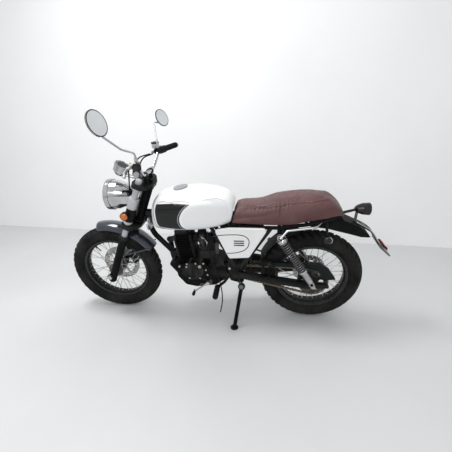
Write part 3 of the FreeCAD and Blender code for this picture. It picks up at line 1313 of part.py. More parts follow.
def stand_bracket():
    """The lug under the left pivot plate that carries the stand."""
    axis = stand_axis()
    pivot = stand_pivot()
    inner = pivot - axis * (STAND_LUG_THICKNESS / 2 + SURFACE_GAP)
    cheek = rod(inner - axis * STAND_BRACKET_THICKNESS, inner, STAND_LUG_RADIUS)
    bolt = rod(inner, inner + axis * (STAND_LUG_THICKNESS + SURFACE_GAP * 2), STAND_BOLT_RADIUS)
    head_at = pivot + axis * (STAND_LUG_THICKNESS / 2 + SURFACE_GAP)
    head = rod(head_at, head_at + axis * STAND_BRACKET_THICKNESS, STAND_BOLT_RADIUS * 2)
    root = Vec(PIVOT_X - PLATE_CORNER / 2, PLATE_INNER_Y + PLATE_THICKNESS, PIVOT_Z - PLATE_CORNER * 2)
    arm = rod(root, inner - axis * (STAND_BRACKET_THICKNESS / 2), STAND_ARM_RADIUS)
    swing_room = rod(inner, inner + axis * (STAND_LUG_RADIUS * 3), STAND_LUG_RADIUS + MOVING_GAP)
    return [fused([cheek, arm]).cut(swing_room), bolt, head]


def build_stand():
    """The side stand, down, with its sole flat on the floor."""
    axis = stand_axis()
    pivot = stand_pivot()
    foot = stand_foot()
    floor_up = Vec(0, -math.sin(LEAN), math.cos(LEAN))
    half = axis * (STAND_LUG_THICKNESS / 2)
    lug = rod(pivot - half, pivot + half, STAND_LUG_RADIUS)
    ankle = foot + floor_up * (STAND_FOOT_THICKNESS / 2)
    way = (ankle - pivot).normalize()
    leg = rod(pivot + way * (STAND_LUG_RADIUS - RIM_WALL), ankle, STAND_LEG_RADIUS)
    sole = rod(foot, foot + floor_up * STAND_FOOT_THICKNESS, STAND_FOOT_RADIUS)
    hole = rod(pivot - half * 3, pivot + half * 3, STAND_BOLT_RADIUS + RUNNING_CLEARANCE)
    clear = rod(pivot + half + axis * SURFACE_GAP, pivot + half * 6, STAND_BOLT_RADIUS * 2 + SURFACE_GAP)
    rear_clear = rod(pivot - half * 6, pivot - half - axis * SURFACE_GAP, STAND_LUG_RADIUS + MOVING_GAP / 2)
    below = Part.makeBox(STAND_FOOT_RADIUS * 4, STAND_FOOT_RADIUS * 4, STAND_FOOT_RADIUS * 2)
    below.translate(Vec(-STAND_FOOT_RADIUS * 2, -STAND_FOOT_RADIUS * 2, -STAND_FOOT_RADIUS * 2))
    below.rotate(Vec(0, 0, 0), FORWARD, LEAN_DEG)
    below.translate(foot)
    body = fused([lug, leg, sole])
    return {"side_stand": body.cut(hole).cut(clear).cut(rear_clear).cut(below)}


def build_swingarm():
    """Swingarm with shock lugs and caliper, and the pivot and rear axles."""
    parts = {}
    pieces = []
    ends = ARM_INNER_Y + ARM_WIDTH
    for flank in (1, -1):
        inner = flank * ARM_INNER_Y
        outer = flank * ends
        half = ARM_HEIGHT / 2
        corners = [(PIVOT_X + half, PIVOT_Z - half), (PIVOT_X + half, PIVOT_Z + half),
                   (ARM_HEIGHT, REAR_AXLE.z + half), (-ARM_TAIL, REAR_AXLE.z + half * 0.4),
                   (-ARM_TAIL, REAR_AXLE.z - half * 0.6), (ARM_HEIGHT, REAR_AXLE.z - half)]
        pieces.append(plate(corners, ARM_CORNER, inner, outer))
        lug = [(SHOCK_FOOT_X + SHOCK_EYE_RADIUS, SHOCK_FOOT_Z + SHOCK_EYE_RADIUS),
               (SHOCK_FOOT_X - SHOCK_EYE_RADIUS, SHOCK_FOOT_Z + SHOCK_EYE_RADIUS),
               (SHOCK_FOOT_X - SHOCK_EYE_RADIUS * 2, REAR_AXLE.z),
               (SHOCK_FOOT_X + SHOCK_EYE_RADIUS * 3, REAR_AXLE.z)]
        pieces.append(plate(lug, ARM_CORNER, flank * (ends - ARM_WIDTH / 3), outer))
        stud_end = flank * (SHOCK_Y + SHOCK_EYE_LENGTH / 2 + RIM_WALL)
        pieces.append(rod(Vec(SHOCK_FOOT_X, outer, SHOCK_FOOT_Z), Vec(SHOCK_FOOT_X, stud_end, SHOCK_FOOT_Z),
                          SHOCK_STUD_RADIUS))
        boss_end = flank * (PLATE_INNER_Y + PLATE_THICKNESS)
        pieces.append(rod(Vec(PIVOT_X, boss_end, PIVOT_Z), Vec(PIVOT_X, outer, PIVOT_Z), ARM_HEIGHT / 2))
    brace_z = PIVOT_Z - (PIVOT_X - ARM_BRACE_X) * (PIVOT_Z - REAR_AXLE.z) / PIVOT_X
    pieces.append(rod(Vec(ARM_BRACE_X, -ARM_INNER_Y, brace_z), Vec(ARM_BRACE_X, ARM_INNER_Y, brace_z),
                      ARM_BRACE_RADIUS))
    block, hold = caliper(REAR_AXLE, REAR_DISC_RADIUS, REAR_CALIPER_ANGLE_DEG)
    arm_spot = Vec(hold.x, -ARM_INNER_Y - ARM_WIDTH / 2,
                   REAR_AXLE.z + hold.x * (PIVOT_Z - REAR_AXLE.z) / PIVOT_X)
    pieces.append(block)
    lug_start = Vec(hold.x, -DISC_Y - CALIPER_WIDTH / 2 + RIM_WALL, hold.z)
    pieces.append(rod(lug_start, arm_spot, AXLE_RADIUS))
    body = fused(pieces)
    body = body.cut(rod(Vec(0, -ends * 2, REAR_AXLE.z), Vec(0, ends * 2, REAR_AXLE.z), AXLE_RADIUS))
    body = body.cut(rod(Vec(PIVOT_X, -ends * 2, PIVOT_Z), Vec(PIVOT_X, ends * 2, PIVOT_Z), PIVOT_AXLE_RADIUS))
    chain_room = chain_tunnel(MOVING_GAP / 2, CHAIN_Y - CHAIN_WIDTH / 2 - MOVING_GAP,
                              CHAIN_Y + CHAIN_WIDTH / 2 + MOVING_GAP)
    parts["swingarm"] = body.cut(disc_slot(REAR_AXLE, REAR_DISC_RADIUS)).cut(chain_room)

    left_shoulder = CHAIN_Y + SPROCKET_THICKNESS + SURFACE_GAP
    right_shoulder = DISC_Y + DISC_THICKNESS + SURFACE_GAP
    nut_end = ends + AXLE_NUT_LENGTH
    outline = [(-nut_end, 0), (-nut_end, AXLE_NUT_RADIUS), (-ends, AXLE_NUT_RADIUS),
               (-ends, AXLE_RADIUS), (-ARM_INNER_Y, AXLE_RADIUS), (-ARM_INNER_Y, SPACER_RADIUS),
               (-right_shoulder, SPACER_RADIUS), (-right_shoulder, AXLE_RADIUS), (left_shoulder, AXLE_RADIUS),
               (left_shoulder, SPACER_RADIUS), (ARM_INNER_Y, SPACER_RADIUS), (ARM_INNER_Y, AXLE_RADIUS),
               (ends, AXLE_RADIUS), (ends, AXLE_NUT_RADIUS), (nut_end, AXLE_NUT_RADIUS), (nut_end, 0)]
    pivot_outline = [(-nut_end, 0), (-nut_end, AXLE_NUT_RADIUS), (-ends, AXLE_NUT_RADIUS),
                     (-ends, PIVOT_AXLE_RADIUS), (ends, PIVOT_AXLE_RADIUS), (ends, AXLE_NUT_RADIUS),
                     (nut_end, AXLE_NUT_RADIUS), (nut_end, 0)]
    pivot = turned(pivot_outline, Vec(PIVOT_X, 0, PIVOT_Z), SIDE)
    parts["rear_axles"] = Part.makeCompound([wheel_ring(outline, REAR_AXLE), pivot])
    return parts


def build_shocks():
    """Two shock absorbers: eyes, top cup, spring coils and lower body."""
    head = Vec(SHOCK_HEAD_X, SHOCK_Y, SHOCK_HEAD_Z)
    foot = Vec(SHOCK_FOOT_X, SHOCK_Y, SHOCK_FOOT_Z)
    axis = (foot - head).normalize()
    length = (foot - head).Length
    spring_start = SHOCK_CUP_LENGTH
    spring_end = spring_start + SHOCK_SPRING_SHARE * length
    outline = [(SHOCK_EYE_RADIUS / 2, 0), (SHOCK_EYE_RADIUS / 2, SHOCK_CUP_RADIUS * 0.7),
               (SHOCK_EYE_RADIUS, SHOCK_CUP_RADIUS), (spring_start, SHOCK_CUP_RADIUS)]
    pitch = (spring_end - spring_start) / SHOCK_COILS
    for coil in range(SHOCK_COILS):
        place = spring_start + coil * pitch
        outline.append((place + pitch * 0.2, SHOCK_SPRING_RADIUS - SHOCK_WIRE_DEPTH))
        outline.append((place + pitch * 0.4, SHOCK_SPRING_RADIUS))
        outline.append((place + pitch * 0.8, SHOCK_SPRING_RADIUS))
    outline.append((spring_end, SHOCK_BODY_RADIUS))
    outline.append((length - SHOCK_EYE_RADIUS, SHOCK_BODY_RADIUS * 0.9))
    outline.append((length - SHOCK_EYE_RADIUS / 2, 0))
    body = turned(outline, head, axis)
    half = SIDE * (SHOCK_EYE_LENGTH / 2)
    eyes = [rod(head - half, head + half, SHOCK_EYE_RADIUS), rod(foot - half, foot + half, SHOCK_EYE_RADIUS)]
    whole = fused([body] + eyes)
    for point in (head, foot):
        whole = whole.cut(rod(point - half * 4, point + half * 4, SHOCK_STUD_RADIUS))
    return {"shock_absorbers": pair(whole)}


def chain_tunnel(growth, y_from, y_to):
    """The space round the chain's two runs, leaving what is inside the loop."""
    inner = belt_solid(REAR_SPROCKET_RADIUS - CHAIN_HEIGHT / 2 - growth,
                       FRONT_SPROCKET_RADIUS - CHAIN_HEIGHT / 2 - growth, y_from, y_to)
    return chain_loop(growth, y_from, y_to).cut(inner)


def chain_loop(growth, y_from, y_to):
    """The filled outline of the chain round both sprockets, grown by a margin."""
    rear_r = REAR_SPROCKET_RADIUS + CHAIN_HEIGHT / 2 + growth
    front_r = FRONT_SPROCKET_RADIUS + CHAIN_HEIGHT / 2 + growth
    return belt_solid(rear_r, front_r, y_from, y_to)


def belt_solid(rear_r, front_r, y_from, y_to):
    """A belt-shaped slab round the two sprocket centres."""
    rear = Vec(0, y_from, REAR_AXLE.z)
    front = Vec(FRONT_SPROCKET_X, y_from, FRONT_SPROCKET_Z)
    run = front - rear
    heading = math.atan2(run.z, run.x)
    spread = math.acos((rear_r - front_r) / run.Length)
    upper = Vec(math.cos(heading + spread), 0, math.sin(heading + spread))
    lower = Vec(math.cos(heading - spread), 0, math.sin(heading - spread))
    back = Vec(-math.cos(heading), 0, -math.sin(heading))
    edges = [
        Part.Arc(rear + lower * rear_r, rear + back * rear_r, rear + upper * rear_r).toShape(),
        Part.LineSegment(rear + upper * rear_r, front + upper * front_r).toShape(),
        Part.Arc(front + upper * front_r, front - back * front_r, front + lower * front_r).toShape(),
        Part.LineSegment(front + lower * front_r, rear + lower * rear_r).toShape(),
    ]
    return Part.Face(Part.Wire(edges)).extrude(SIDE * (y_to - y_from))


def build_chain():
    """The drive chain and its guard."""
    y_from = CHAIN_Y - CHAIN_WIDTH / 2
    y_to = CHAIN_Y + CHAIN_WIDTH / 2
    outer = chain_loop(0, y_from, y_to)
    inner = belt_solid(REAR_SPROCKET_RADIUS - CHAIN_HEIGHT / 2, FRONT_SPROCKET_RADIUS - CHAIN_HEIGHT / 2,
                       y_from - CUT_OVERRUN, y_to + CUT_OVERRUN)
    return {"chain": outer.cut(inner)}


def build_engine(plates, down_tube):
    """Crankcase with side covers, and the finned cylinder."""
    parts = {}
    box = (CASE_REAR, CASE_LENGTH, CASE_BASE, CASE_HEIGHT)
    main = plate(placed(CASE_SHARES, *box), ENGINE_CORNER, -ENGINE_HALF_WIDTH, ENGINE_HALF_WIDTH)
    left = plate(placed(LEFT_COVER_SHARES, *box), COVER_CORNER, ENGINE_HALF_WIDTH, LEFT_COVER_Y)
    dynamo = plate(placed(DYNAMO_COVER_SHARES, *box), COVER_CORNER, ENGINE_HALF_WIDTH, LEFT_COVER_Y + COVER_STEP)
    sprocket_cover = plate(placed(SPROCKET_COVER_SHARES, *box), COVER_CORNER, ENGINE_HALF_WIDTH,
                           LEFT_COVER_Y - COVER_STEP)
    right = plate(placed(RIGHT_COVER_SHARES, *box), COVER_CORNER, -ENGINE_HALF_WIDTH, -RIGHT_COVER_Y)
    clutch_x, clutch_z = placed([CLUTCH_SHARES], *box)[0]
    clutch = rod(Vec(clutch_x, -ENGINE_HALF_WIDTH, clutch_z), Vec(clutch_x, -RIGHT_COVER_Y - COVER_STEP, clutch_z),
                 CLUTCH_RADIUS)
    boss_x, boss_z = placed([REAR_BOSS_SHARES], *box)[0]
    rear_boss = rod(Vec(boss_x, -PLATE_INNER_Y, boss_z), Vec(boss_x, PLATE_INNER_Y, boss_z), ENGINE_CORNER * 0.8)
    gap = MOVING_GAP / 3
    slot = chain_loop(gap, CHAIN_Y - CHAIN_WIDTH / 2 - gap, CHAIN_Y + CHAIN_WIDTH / 2 + gap)
    wheel = rod(Vec(FRONT_SPROCKET_X, ENGINE_HALF_WIDTH, FRONT_SPROCKET_Z),
                Vec(FRONT_SPROCKET_X, CHAIN_Y + SPROCKET_THICKNESS, FRONT_SPROCKET_Z),
                FRONT_SPROCKET_RADIUS - CHAIN_HEIGHT / 2 - SURFACE_GAP)
    castings = [main, left, dynamo, sprocket_cover, right, clutch, rear_boss]
    crank = fused(castings).cut(slot).fuse(wheel)
    crank = crank.cut(down_tube).cut(plates)
    parts["crankcase"] = crank

    tilt = math.radians(CYLINDER_TILT_DEG)
    axis = Vec(math.sin(tilt), 0, math.cos(tilt))
    fore = Vec(math.cos(tilt), 0, -math.sin(tilt))
    foot = Vec(CYLINDER_X, 0, CYLINDER_FOOT_Z)

    def block(low, high, share, corner):
        base = foot + axis * low
        along = fore * (CYLINDER_HALF_LENGTH * share)
        across = SIDE * (CYLINDER_HALF_WIDTH * share)
        loop = rounded_loop([base - along - across, base + along - across, base + along + across,
                             base - along + across], corner)
        return Part.Face(loop).extrude(axis * (high - low))

    finned = CYLINDER_HEIGHT - HEAD_COVER_HEIGHT - FIN_START
    pitch = finned / FIN_COUNT
    pieces = [block(0, CYLINDER_HEIGHT, CORE_SHARE, FIN_CORNER)]
    for index in range(FIN_COUNT):
        low = FIN_START + index * pitch
        pieces.append(block(low, low + FIN_THICKNESS, 1, FIN_CORNER))
    exhaust_port = foot + axis * (CYLINDER_HEIGHT * 0.68)
    pieces.append(rod(exhaust_port, exhaust_port + fore * (CYLINDER_HALF_LENGTH + RIM_WALL * 2), PIPE_RADIUS * 1.3))
    intake_port = foot + axis * (CYLINDER_HEIGHT * 0.62)
    pieces.append(rod(intake_port, intake_port - fore * (CYLINDER_HALF_LENGTH + RIM_WALL), INTAKE_RADIUS))
    parts["cylinder"] = fused(pieces).cut(crank).cut(down_tube)
    exhaust_face = exhaust_port + fore * (CYLINDER_HALF_LENGTH + RIM_WALL * 2)
    intake_face = intake_port - fore * (CYLINDER_HALF_LENGTH + RIM_WALL)
    return parts, exhaust_face, intake_face, fore


def build_intake(intake_face, cylinder):
    """Carburettor between the intake port and the air box."""
    centre = Vec(CARB_X, 0, CARB_Z)
    airbox = Vec(THROAT_FRONT, 0, CARB_Z)
    bore_front = rod(centre, intake_face, INTAKE_RADIUS)
    bore_rear = rod(airbox, centre, INTAKE_RADIUS)
    body = rod(centre - UP * CARB_HALF_HEIGHT / 2, centre + UP * CARB_HALF_HEIGHT, CARB_RADIUS)
    bowl = rod(centre - UP * CARB_HALF_HEIGHT, centre - UP * (CARB_HALF_HEIGHT / 2), BOWL_RADIUS)
    return {"carburettor": fused([bore_front, bore_rear, body, bowl]).cut(cylinder)}


def build_exhaust(port, fore, plates):
    """Header pipe down the front and under the right side, and the silencer."""
    front = Vec(MUFFLER_FRONT_X, -MUFFLER_FRONT_Y, MUFFLER_FRONT_Z)
    rear = Vec(MUFFLER_REAR_X, -MUFFLER_REAR_Y, MUFFLER_REAR_Z)
    way = (rear - front).normalize()
    route = [port, port + fore * (PIPE_BEND * 0.6)]
    for place, side, rise in PIPE_SHARES:
        route.append(Vec(CASE_REAR + place * CASE_LENGTH, -side * RIGHT_COVER_Y, CASE_BASE + rise * CASE_HEIGHT))
    route.extend([front - way * MUFFLER_CONE_LENGTH, front + way * RIM_WALL])
    pipe = bent_rod(route, PIPE_RADIUS, PIPE_BEND)
    length = (rear - front).Length
    big = MUFFLER_RADIUS
    outline = [(0, 0), (0, PIPE_RADIUS * 1.2), (MUFFLER_CONE_LENGTH, big), (length - RIM_WALL * 4, big),
               (length - RIM_WALL, big * 0.86), (length, big * 0.5), (length, MUFFLER_OUTLET_RADIUS),
               (length - MUFFLER_CONE_LENGTH / 2, MUFFLER_OUTLET_RADIUS), (length - MUFFLER_CONE_LENGTH / 2, 0)]
    can = turned(outline, front, way)
    hold = front + way * (length * 0.3)
    hanger = rod(Vec(PIVOT_X - PLATE_CORNER, -PLATE_INNER_Y - PLATE_THICKNESS, PIVOT_Z - PLATE_CORNER * 3),
                 hold, HANGER_RADIUS)
    return {"exhaust": fused([pipe, can, hanger]).cut(plates)}


def build_foot_controls(struts, crank):
    """Rider pegs, the gear lever and the brake pedal."""
    pieces = []
    plate_y = PLATE_INNER_Y + PLATE_THICKNESS
    for flank in (1, -1):
        start = Vec(PIVOT_X + PLATE_CORNER * 2, flank * plate_y, PIVOT_Z - PLATE_CORNER)
        knee = Vec(PEG_X - PLATE_CORNER * 2, flank * (PEG_INNER_Y - PEG_RADIUS), PEG_Z + PEG_RADIUS * 2)
        end = Vec(PEG_X, flank * PEG_INNER_Y, PEG_Z)
        arm = bent_rod([start, knee, end], PEG_ARM_RADIUS, PEG_ARM_BEND)
        peg = rod(end, end + SIDE * (flank * PEG_LENGTH), PEG_RADIUS)
        hinge = Part.makeSphere(PEG_RADIUS + RIM_WALL / 2, end)
        pieces.append(fused([arm, peg, hinge]))
    gear_root = Vec(GEAR_SHAFT_X, LEFT_COVER_Y - PLATE_THICKNESS * 2, GEAR_SHAFT_Z)
    gear_out = Vec(GEAR_SHAFT_X, GEAR_Y, GEAR_SHAFT_Z)
    gear_tip = Vec(GEAR_TIP_X, GEAR_Y, GEAR_TIP_Z)
    shaft = rod(gear_root, gear_out, FOOT_LEVER_RADIUS)
    hub_half = SIDE * (FOOT_LEVER_RADIUS + RIM_WALL)
    hub_piece = rod(gear_out - hub_half, gear_out + hub_half, FOOT_LEVER_RADIUS * 2)
    blade = rod(gear_out, gear_tip, FOOT_LEVER_RADIUS)
    tip = rod(gear_tip - hub_half, gear_tip + SIDE * LEVER_TIP_LENGTH, LEVER_TIP_RADIUS)
    pieces.append(fused([shaft, hub_piece, blade, tip]))
    pedal_root = Vec(PEDAL_SHAFT_X, -PLATE_INNER_Y, PEDAL_SHAFT_Z)
    pedal_out = Vec(PEDAL_SHAFT_X, -PEDAL_Y, PEDAL_SHAFT_Z)
    pedal_tip = Vec(PEDAL_TIP_X, -PEDAL_Y, PEDAL_TIP_Z)
    pedal_low = Vec((PEDAL_SHAFT_X + PEDAL_TIP_X) / 2, -PEDAL_Y, PEDAL_LOW_Z)
    pivot = rod(pedal_root, pedal_out - hub_half, FOOT_LEVER_RADIUS * 2)
    sweep = bent_rod([pedal_out, pedal_low, pedal_tip], FOOT_LEVER_RADIUS, PEG_ARM_BEND * 2)
    pad = rod(pedal_tip + hub_half, pedal_tip - SIDE * LEVER_TIP_LENGTH, LEVER_TIP_RADIUS)
    pieces.append(fused([pivot, sweep, pad]))
    for flank in (1, -1):
        low, high = rear_strut_line(flank)
        start = low + (high - low) * PILLION_ROOT_SHARE
        over = Vec(PIVOT_X - PLATE_CORNER * 3, flank * (ARM_INNER_Y + ARM_WIDTH + PEG_RADIUS),
                   PIVOT_Z + ARM_HEIGHT)
        knee = Vec(PILLION_KNEE_X, flank * PILLION_Y, PILLION_KNEE_Z)
        top = Vec(PILLION_PEG_X, flank * PILLION_Y, PILLION_PEG_Z)
        arm = bent_rod([start, over, knee, top], PILLION_ARM_RADIUS, PEG_ARM_BEND)
        stub = plate([(PILLION_PEG_X - PEG_RADIUS, PILLION_PEG_Z), (PILLION_PEG_X, PILLION_PEG_Z - PEG_RADIUS),
                      (PILLION_PEG_X + PEG_RADIUS * 2, PILLION_PEG_Z + PEG_RADIUS),
                      (PILLION_PEG_X + PEG_RADIUS, PILLION_PEG_Z + PEG_RADIUS * 2)], RIM_WALL,
                     flank * (PILLION_Y - PEG_RADIUS), flank * (PILLION_Y + PEG_RADIUS))
        pieces.append(fused([arm, stub]))
    return {"foot_controls": Part.makeCompound([piece.cut(crank).cut(struts) for piece in pieces])}


def frame_room(margin):
    """The rails, their cross tubes and the strut tops, grown by a margin."""
    room = []
    for flank in (1, -1):
        room.append(bent_rod(rail_points(flank), RAIL_RADIUS + margin, RAIL_BEND))
        foot, top = front_strut_line(flank)
        room.append(rod(foot, top, STRUT_RADIUS + margin))
    for index in CROSS_TUBES:
        left = rail_points(1)[index]
        room.append(rod(Vec(left.x, -left.y, left.z), left, CROSS_TUBE_RADIUS + margin))
    return room


def front_strut_line(flank):
    """The foot and the top of a front strut."""
    foot = Vec(FRONT_STRUT_FOOT_X, flank * STRUT_FOOT_Y, FRONT_STRUT_FOOT_Z)
    top = Vec(FRONT_STRUT_TOP_X, flank * FRONT_STRUT_TOP_Y, BACKBONE_REAR_Z - RAIL_RADIUS)
    return foot, top


def rear_strut_line(flank):
    """The foot and the top of a rear strut."""
    foot = Vec(REAR_STRUT_FOOT_X, flank * STRUT_FOOT_Y, REAR_STRUT_FOOT_Z)
    top = Vec(REAR_STRUT_TOP_X, flank * RAIL_Y, rail_points(1)[2].z)
    return foot, top


def build_bodywork():
    """Tank, cap, seat, side covers and the box between them."""
    parts = {}
    tank = lofted(TANK_SHARES, TANK_REAR, TANK_LENGTH, TANK_BASE, TANK_HEIGHT, TANK_HALF_WIDTH,
                  TANK_POWER_TOP, TANK_POWER_BASE)
    tunnel = Part.makeBox(TANK_LENGTH * 2, TUNNEL_HALF_WIDTH * 2, TUNNEL_TOP - TANK_BASE + TANK_HEIGHT)
    tunnel.translate(Vec(TANK_REAR - TANK_LENGTH / 2, -TUNNEL_HALF_WIDTH, TANK_BASE - TANK_HEIGHT))
    tank = tank.cut(tunnel).cut(frame_room(SURFACE_GAP))
    probe = rod(Vec(CAP_X, 0, TUNNEL_TOP), Vec(CAP_X, 0, TANK_BASE + TANK_HEIGHT * 2), RIM_WALL)
    crown = Vec(CAP_X, 0, tank.common(probe).optimalBoundingBox(False, False).ZMax)
    tilt = math.radians(CAP_TILT_DEG)
    cap_up = Vec(math.sin(tilt), 0, math.cos(tilt))
    cap = rod(crown - cap_up * CAP_SINK, crown + cap_up * CAP_HEIGHT, CAP_RADIUS)
    mouth, following = hose_points()[:2]
    stub = rod(mouth, mouth + (mouth - following).normalize() * (TUNNEL_TOP - TANK_BASE), HOSE_STUB_RADIUS)
    parts["fuel_tank"] = tank.cut(cap).fuse(stub)
    parts["tank_cap"] = cap

    seat = lofted(SEAT_SHARES, SEAT_REAR, SEAT_LENGTH, SEAT_BASE, SEAT_HEIGHT, SEAT_HALF_WIDTH,
                  SEAT_POWER_TOP, SEAT_POWER_BASE)
    parts["seat"] = seat.cut(frame_room(SURFACE_GAP))

    box = (SIDE_COVER_REAR, SIDE_COVER_LENGTH, SIDE_COVER_BASE, SIDE_COVER_HEIGHT)
    cover = plate(placed(SIDE_COVER_SHARES, *box), SIDE_COVER_CORNER, SIDE_COVER_Y,
                  SIDE_COVER_Y + SIDE_COVER_THICKNESS)
    outer_edges = [edge for edge in cover.Edges
                   if edge.BoundBox.YMin > SIDE_COVER_Y + SIDE_COVER_THICKNESS / 2]
    cover = cover.makeFillet(SIDE_COVER_EDGE, outer_edges)
    for index in (-1, 0, 1):
        level = SLOT_Z + index * SLOT_PITCH
        half = SLOT_LENGTH / 2
        high = SLOT_HEIGHT / 2
        corners = [(SLOT_X - half, level - high), (SLOT_X + half, level - high),
                   (SLOT_X + half, level + high), (SLOT_X - half, level + high)]
        slot = plate(corners, high * 0.9, SIDE_COVER_Y - CUT_OVERRUN,
                     SIDE_COVER_Y + SIDE_COVER_THICKNESS + CUT_OVERRUN)
        cover = cover.cut(slot)
    pegs = []
    for x, z in placed(COVER_PEG_SHARES, *box):
        pegs.append(rod(Vec(x, AIRBOX_HALF_WIDTH, z), Vec(x, SIDE_COVER_Y + RIM_WALL, z), COVER_PEG_RADIUS))
    cover = fused([cover] + pegs)
    corners = [(AIRBOX_REAR, AIRBOX_TOP), (AIRBOX_FRONT, AIRBOX_TOP), (AIRBOX_FRONT, AIRBOX_BASE),
               (AIRBOX_REAR + AIRBOX_CORNER * 5, AIRBOX_BASE)]
    airbox = plate(corners, AIRBOX_CORNER, -AIRBOX_HALF_WIDTH, AIRBOX_HALF_WIDTH)
    inset = AIRBOX_CORNER * 2
    corners = [(AIRBOX_FRONT - inset, AIRBOX_TOP - inset), (THROAT_FRONT, AIRBOX_TOP - inset),
               (THROAT_FRONT, AIRBOX_BASE), (AIRBOX_FRONT - inset, AIRBOX_BASE)]
    throat = plate(corners, AIRBOX_CORNER, -THROAT_HALF_WIDTH, THROAT_HALF_WIDTH)
    parts["side_covers"] = pair(cover)
    parts["airbox"] = fused([airbox, throat])
    return parts


def build_tail(rails, swingarm, shocks, seat):
    """Rear mudguards, tail light, plate bracket, indicators and side rails."""
    parts = {}
    half = TAIL_GUARD_HALF_WIDTH
    box = (TAIL_GUARD_REAR, TAIL_GUARD_LENGTH, TAIL_GUARD_BASE, TAIL_GUARD_HEIGHT)
    top = placed(TAIL_GUARD_TOP_SHARES, *box)
    edge = placed(TAIL_GUARD_EDGE_SHARES, *box)
    low = [(x, z - TAIL_GUARD_THICKNESS) for x, z in reversed(top)]
    sheet = Part.Face(Part.makePolygon([Vec(x, -half, z) for x, z in top + low + [top[0]]]))
    sheet = sheet.extrude(SIDE * half * 2)
    skirts = []
    for flank in (1, -1):
        start = flank * half - (TAIL_GUARD_THICKNESS if flank > 0 else 0)
        skirt = Part.Face(Part.makePolygon([Vec(x, start, z) for x, z in top + edge + [top[0]]]))
        skirts.append(skirt.extrude(SIDE * TAIL_GUARD_THICKNESS))
    guard = fused([sheet] + skirts)
    inner = arc_band(REAR_AXLE, INNER_GUARD_RADIUS, INNER_GUARD_THICKNESS, half, INNER_GUARD_FROM_DEG,
                     INNER_GUARD_TO_DEG)
    cross = rail_points(1)[2]
    seat_z = REAR_AXLE.z + math.sqrt(INNER_GUARD_RADIUS ** 2 - cross.x ** 2)
    posts = []
    for flank in (1, -1):
        root = Vec(cross.x, flank * half / 2, seat_z + INNER_GUARD_THICKNESS / 2)
        posts.append(rod(root, Vec(root.x, root.y, cross.z), GUARD_POST_RADIUS))
    inner = fused([inner] + posts).cut(rails)
    box = (CHAIN_GUARD_REAR, CHAIN_GUARD_LENGTH, CHAIN_GUARD_BASE, CHAIN_GUARD_HEIGHT)
    outer_y = CHAIN_GUARD_Y + CHAIN_GUARD_THICKNESS
    guard_plate = plate(placed(CHAIN_GUARD_SHARES, *box), PLATE_THICKNESS, CHAIN_GUARD_Y, outer_y)
    guard_lip = plate(placed(CHAIN_GUARD_LIP_SHARES, *box), CHAIN_GUARD_THICKNESS,
                      REAR_TYRE_HALF_WIDTH + MOVING_GAP, outer_y)
    post_top = CHAIN_GUARD_BASE + CHAIN_GUARD_POST_SHARE * CHAIN_GUARD_HEIGHT
    post_x = ARM_HEIGHT * 2
    post = rod(Vec(post_x, ARM_INNER_Y + AXLE_RADIUS, REAR_AXLE.z + ARM_HEIGHT / 3),
               Vec(post_x, outer_y - CHAIN_GUARD_THICKNESS / 2, post_top), GRAB_TUBE_RADIUS)
    front_post_x = ARM_BRACE_X - ARM_HEIGHT * 2
    front_post = rod(Vec(front_post_x, ARM_INNER_Y + AXLE_RADIUS, PIVOT_Z - ARM_HEIGHT / 4),
                     Vec(front_post_x, outer_y - CHAIN_GUARD_THICKNESS / 2, post_top), GRAB_TUBE_RADIUS)
    guard_plate = fused([guard_plate, guard_lip, post, front_post]).cut(swingarm)
    parts["rear_mudguards"] = Part.makeCompound([guard, inner])
    parts["chain_guard"] = guard_plate

    lamp = Vec(TAIL_LAMP_REAR, 0, TAIL_LAMP_Z)
    big = TAIL_LAMP_RADIUS
    size = TAIL_LAMP_LENGTH
    shell = turned([(0, 0), (0, big * 0.92), (size * 0.06, big), (size * 0.5, big * 0.92),
                    (size * 0.85, big * 0.6), (size, big * 0.25), (size, 0)], lamp, FORWARD)
    neck = rod(lamp + FORWARD * (size * 0.7), Vec(SEAT_REAR + TAIL_LAMP_RADIUS, 0, SEAT_BASE + TAIL_LAMP_RADIUS),
               PLATE_THICKNESS)
    parts["tail_light"] = fused([shell, neck]).cut(seat).cut(guard)

    line = [(PLATE_ARM_TOP_X, PLATE_ARM_TOP_Z), (PLATE_ARM_BEND_X, PLATE_ARM_BEND_Z),
            (PLATE_ARM_LOW_X, PLATE_ARM_LOW_Z)]
    arm = ribbon(line, PLATE_ARM_THICKNESS, -PLATE_ARM_HALF_WIDTH, PLATE_ARM_HALF_WIDTH)
    line = [(PLATE_ARM_LOW_X + PLATE_PANEL_THICKNESS, PLATE_ARM_LOW_Z + PLATE_PANEL_THICKNESS),
            (PLATE_ARM_LOW_X - PLATE_PANEL_RUN, PLATE_ARM_LOW_Z - PLATE_PANEL_DROP)]
    panel = ribbon(line, PLATE_PANEL_THICKNESS, -PLATE_PANEL_HALF_WIDTH, PLATE_PANEL_HALF_WIDTH)
    mount_arm = rod(Vec(PLATE_ARM_TOP_X + PLATE_ARM_THICKNESS, 0, PLATE_ARM_TOP_Z),
                    Vec(TAIL_LAMP_REAR + TAIL_LAMP_LENGTH * 0.8, 0, TAIL_LAMP_Z), PLATE_THICKNESS)
    parts["plate_bracket"] = fused([arm, panel, mount_arm]).cut(guard).cut(parts["tail_light"])

    stem_top = Vec(REAR_LAMP_X, RAIL_Y * 0.8, SEAT_BASE + TAIL_LAMP_RADIUS)
    outer = Vec(REAR_LAMP_X, REAR_LAMP_Y - LAMP_LENGTH, REAR_LAMP_Z)
    stem = rod(stem_top, outer, LAMP_STEM_RADIUS)
    body = lamp_body(outer)
    parts["rear_indicators"] = pair(fused([stem, body]).cut(seat).cut(rails).cut(guard))

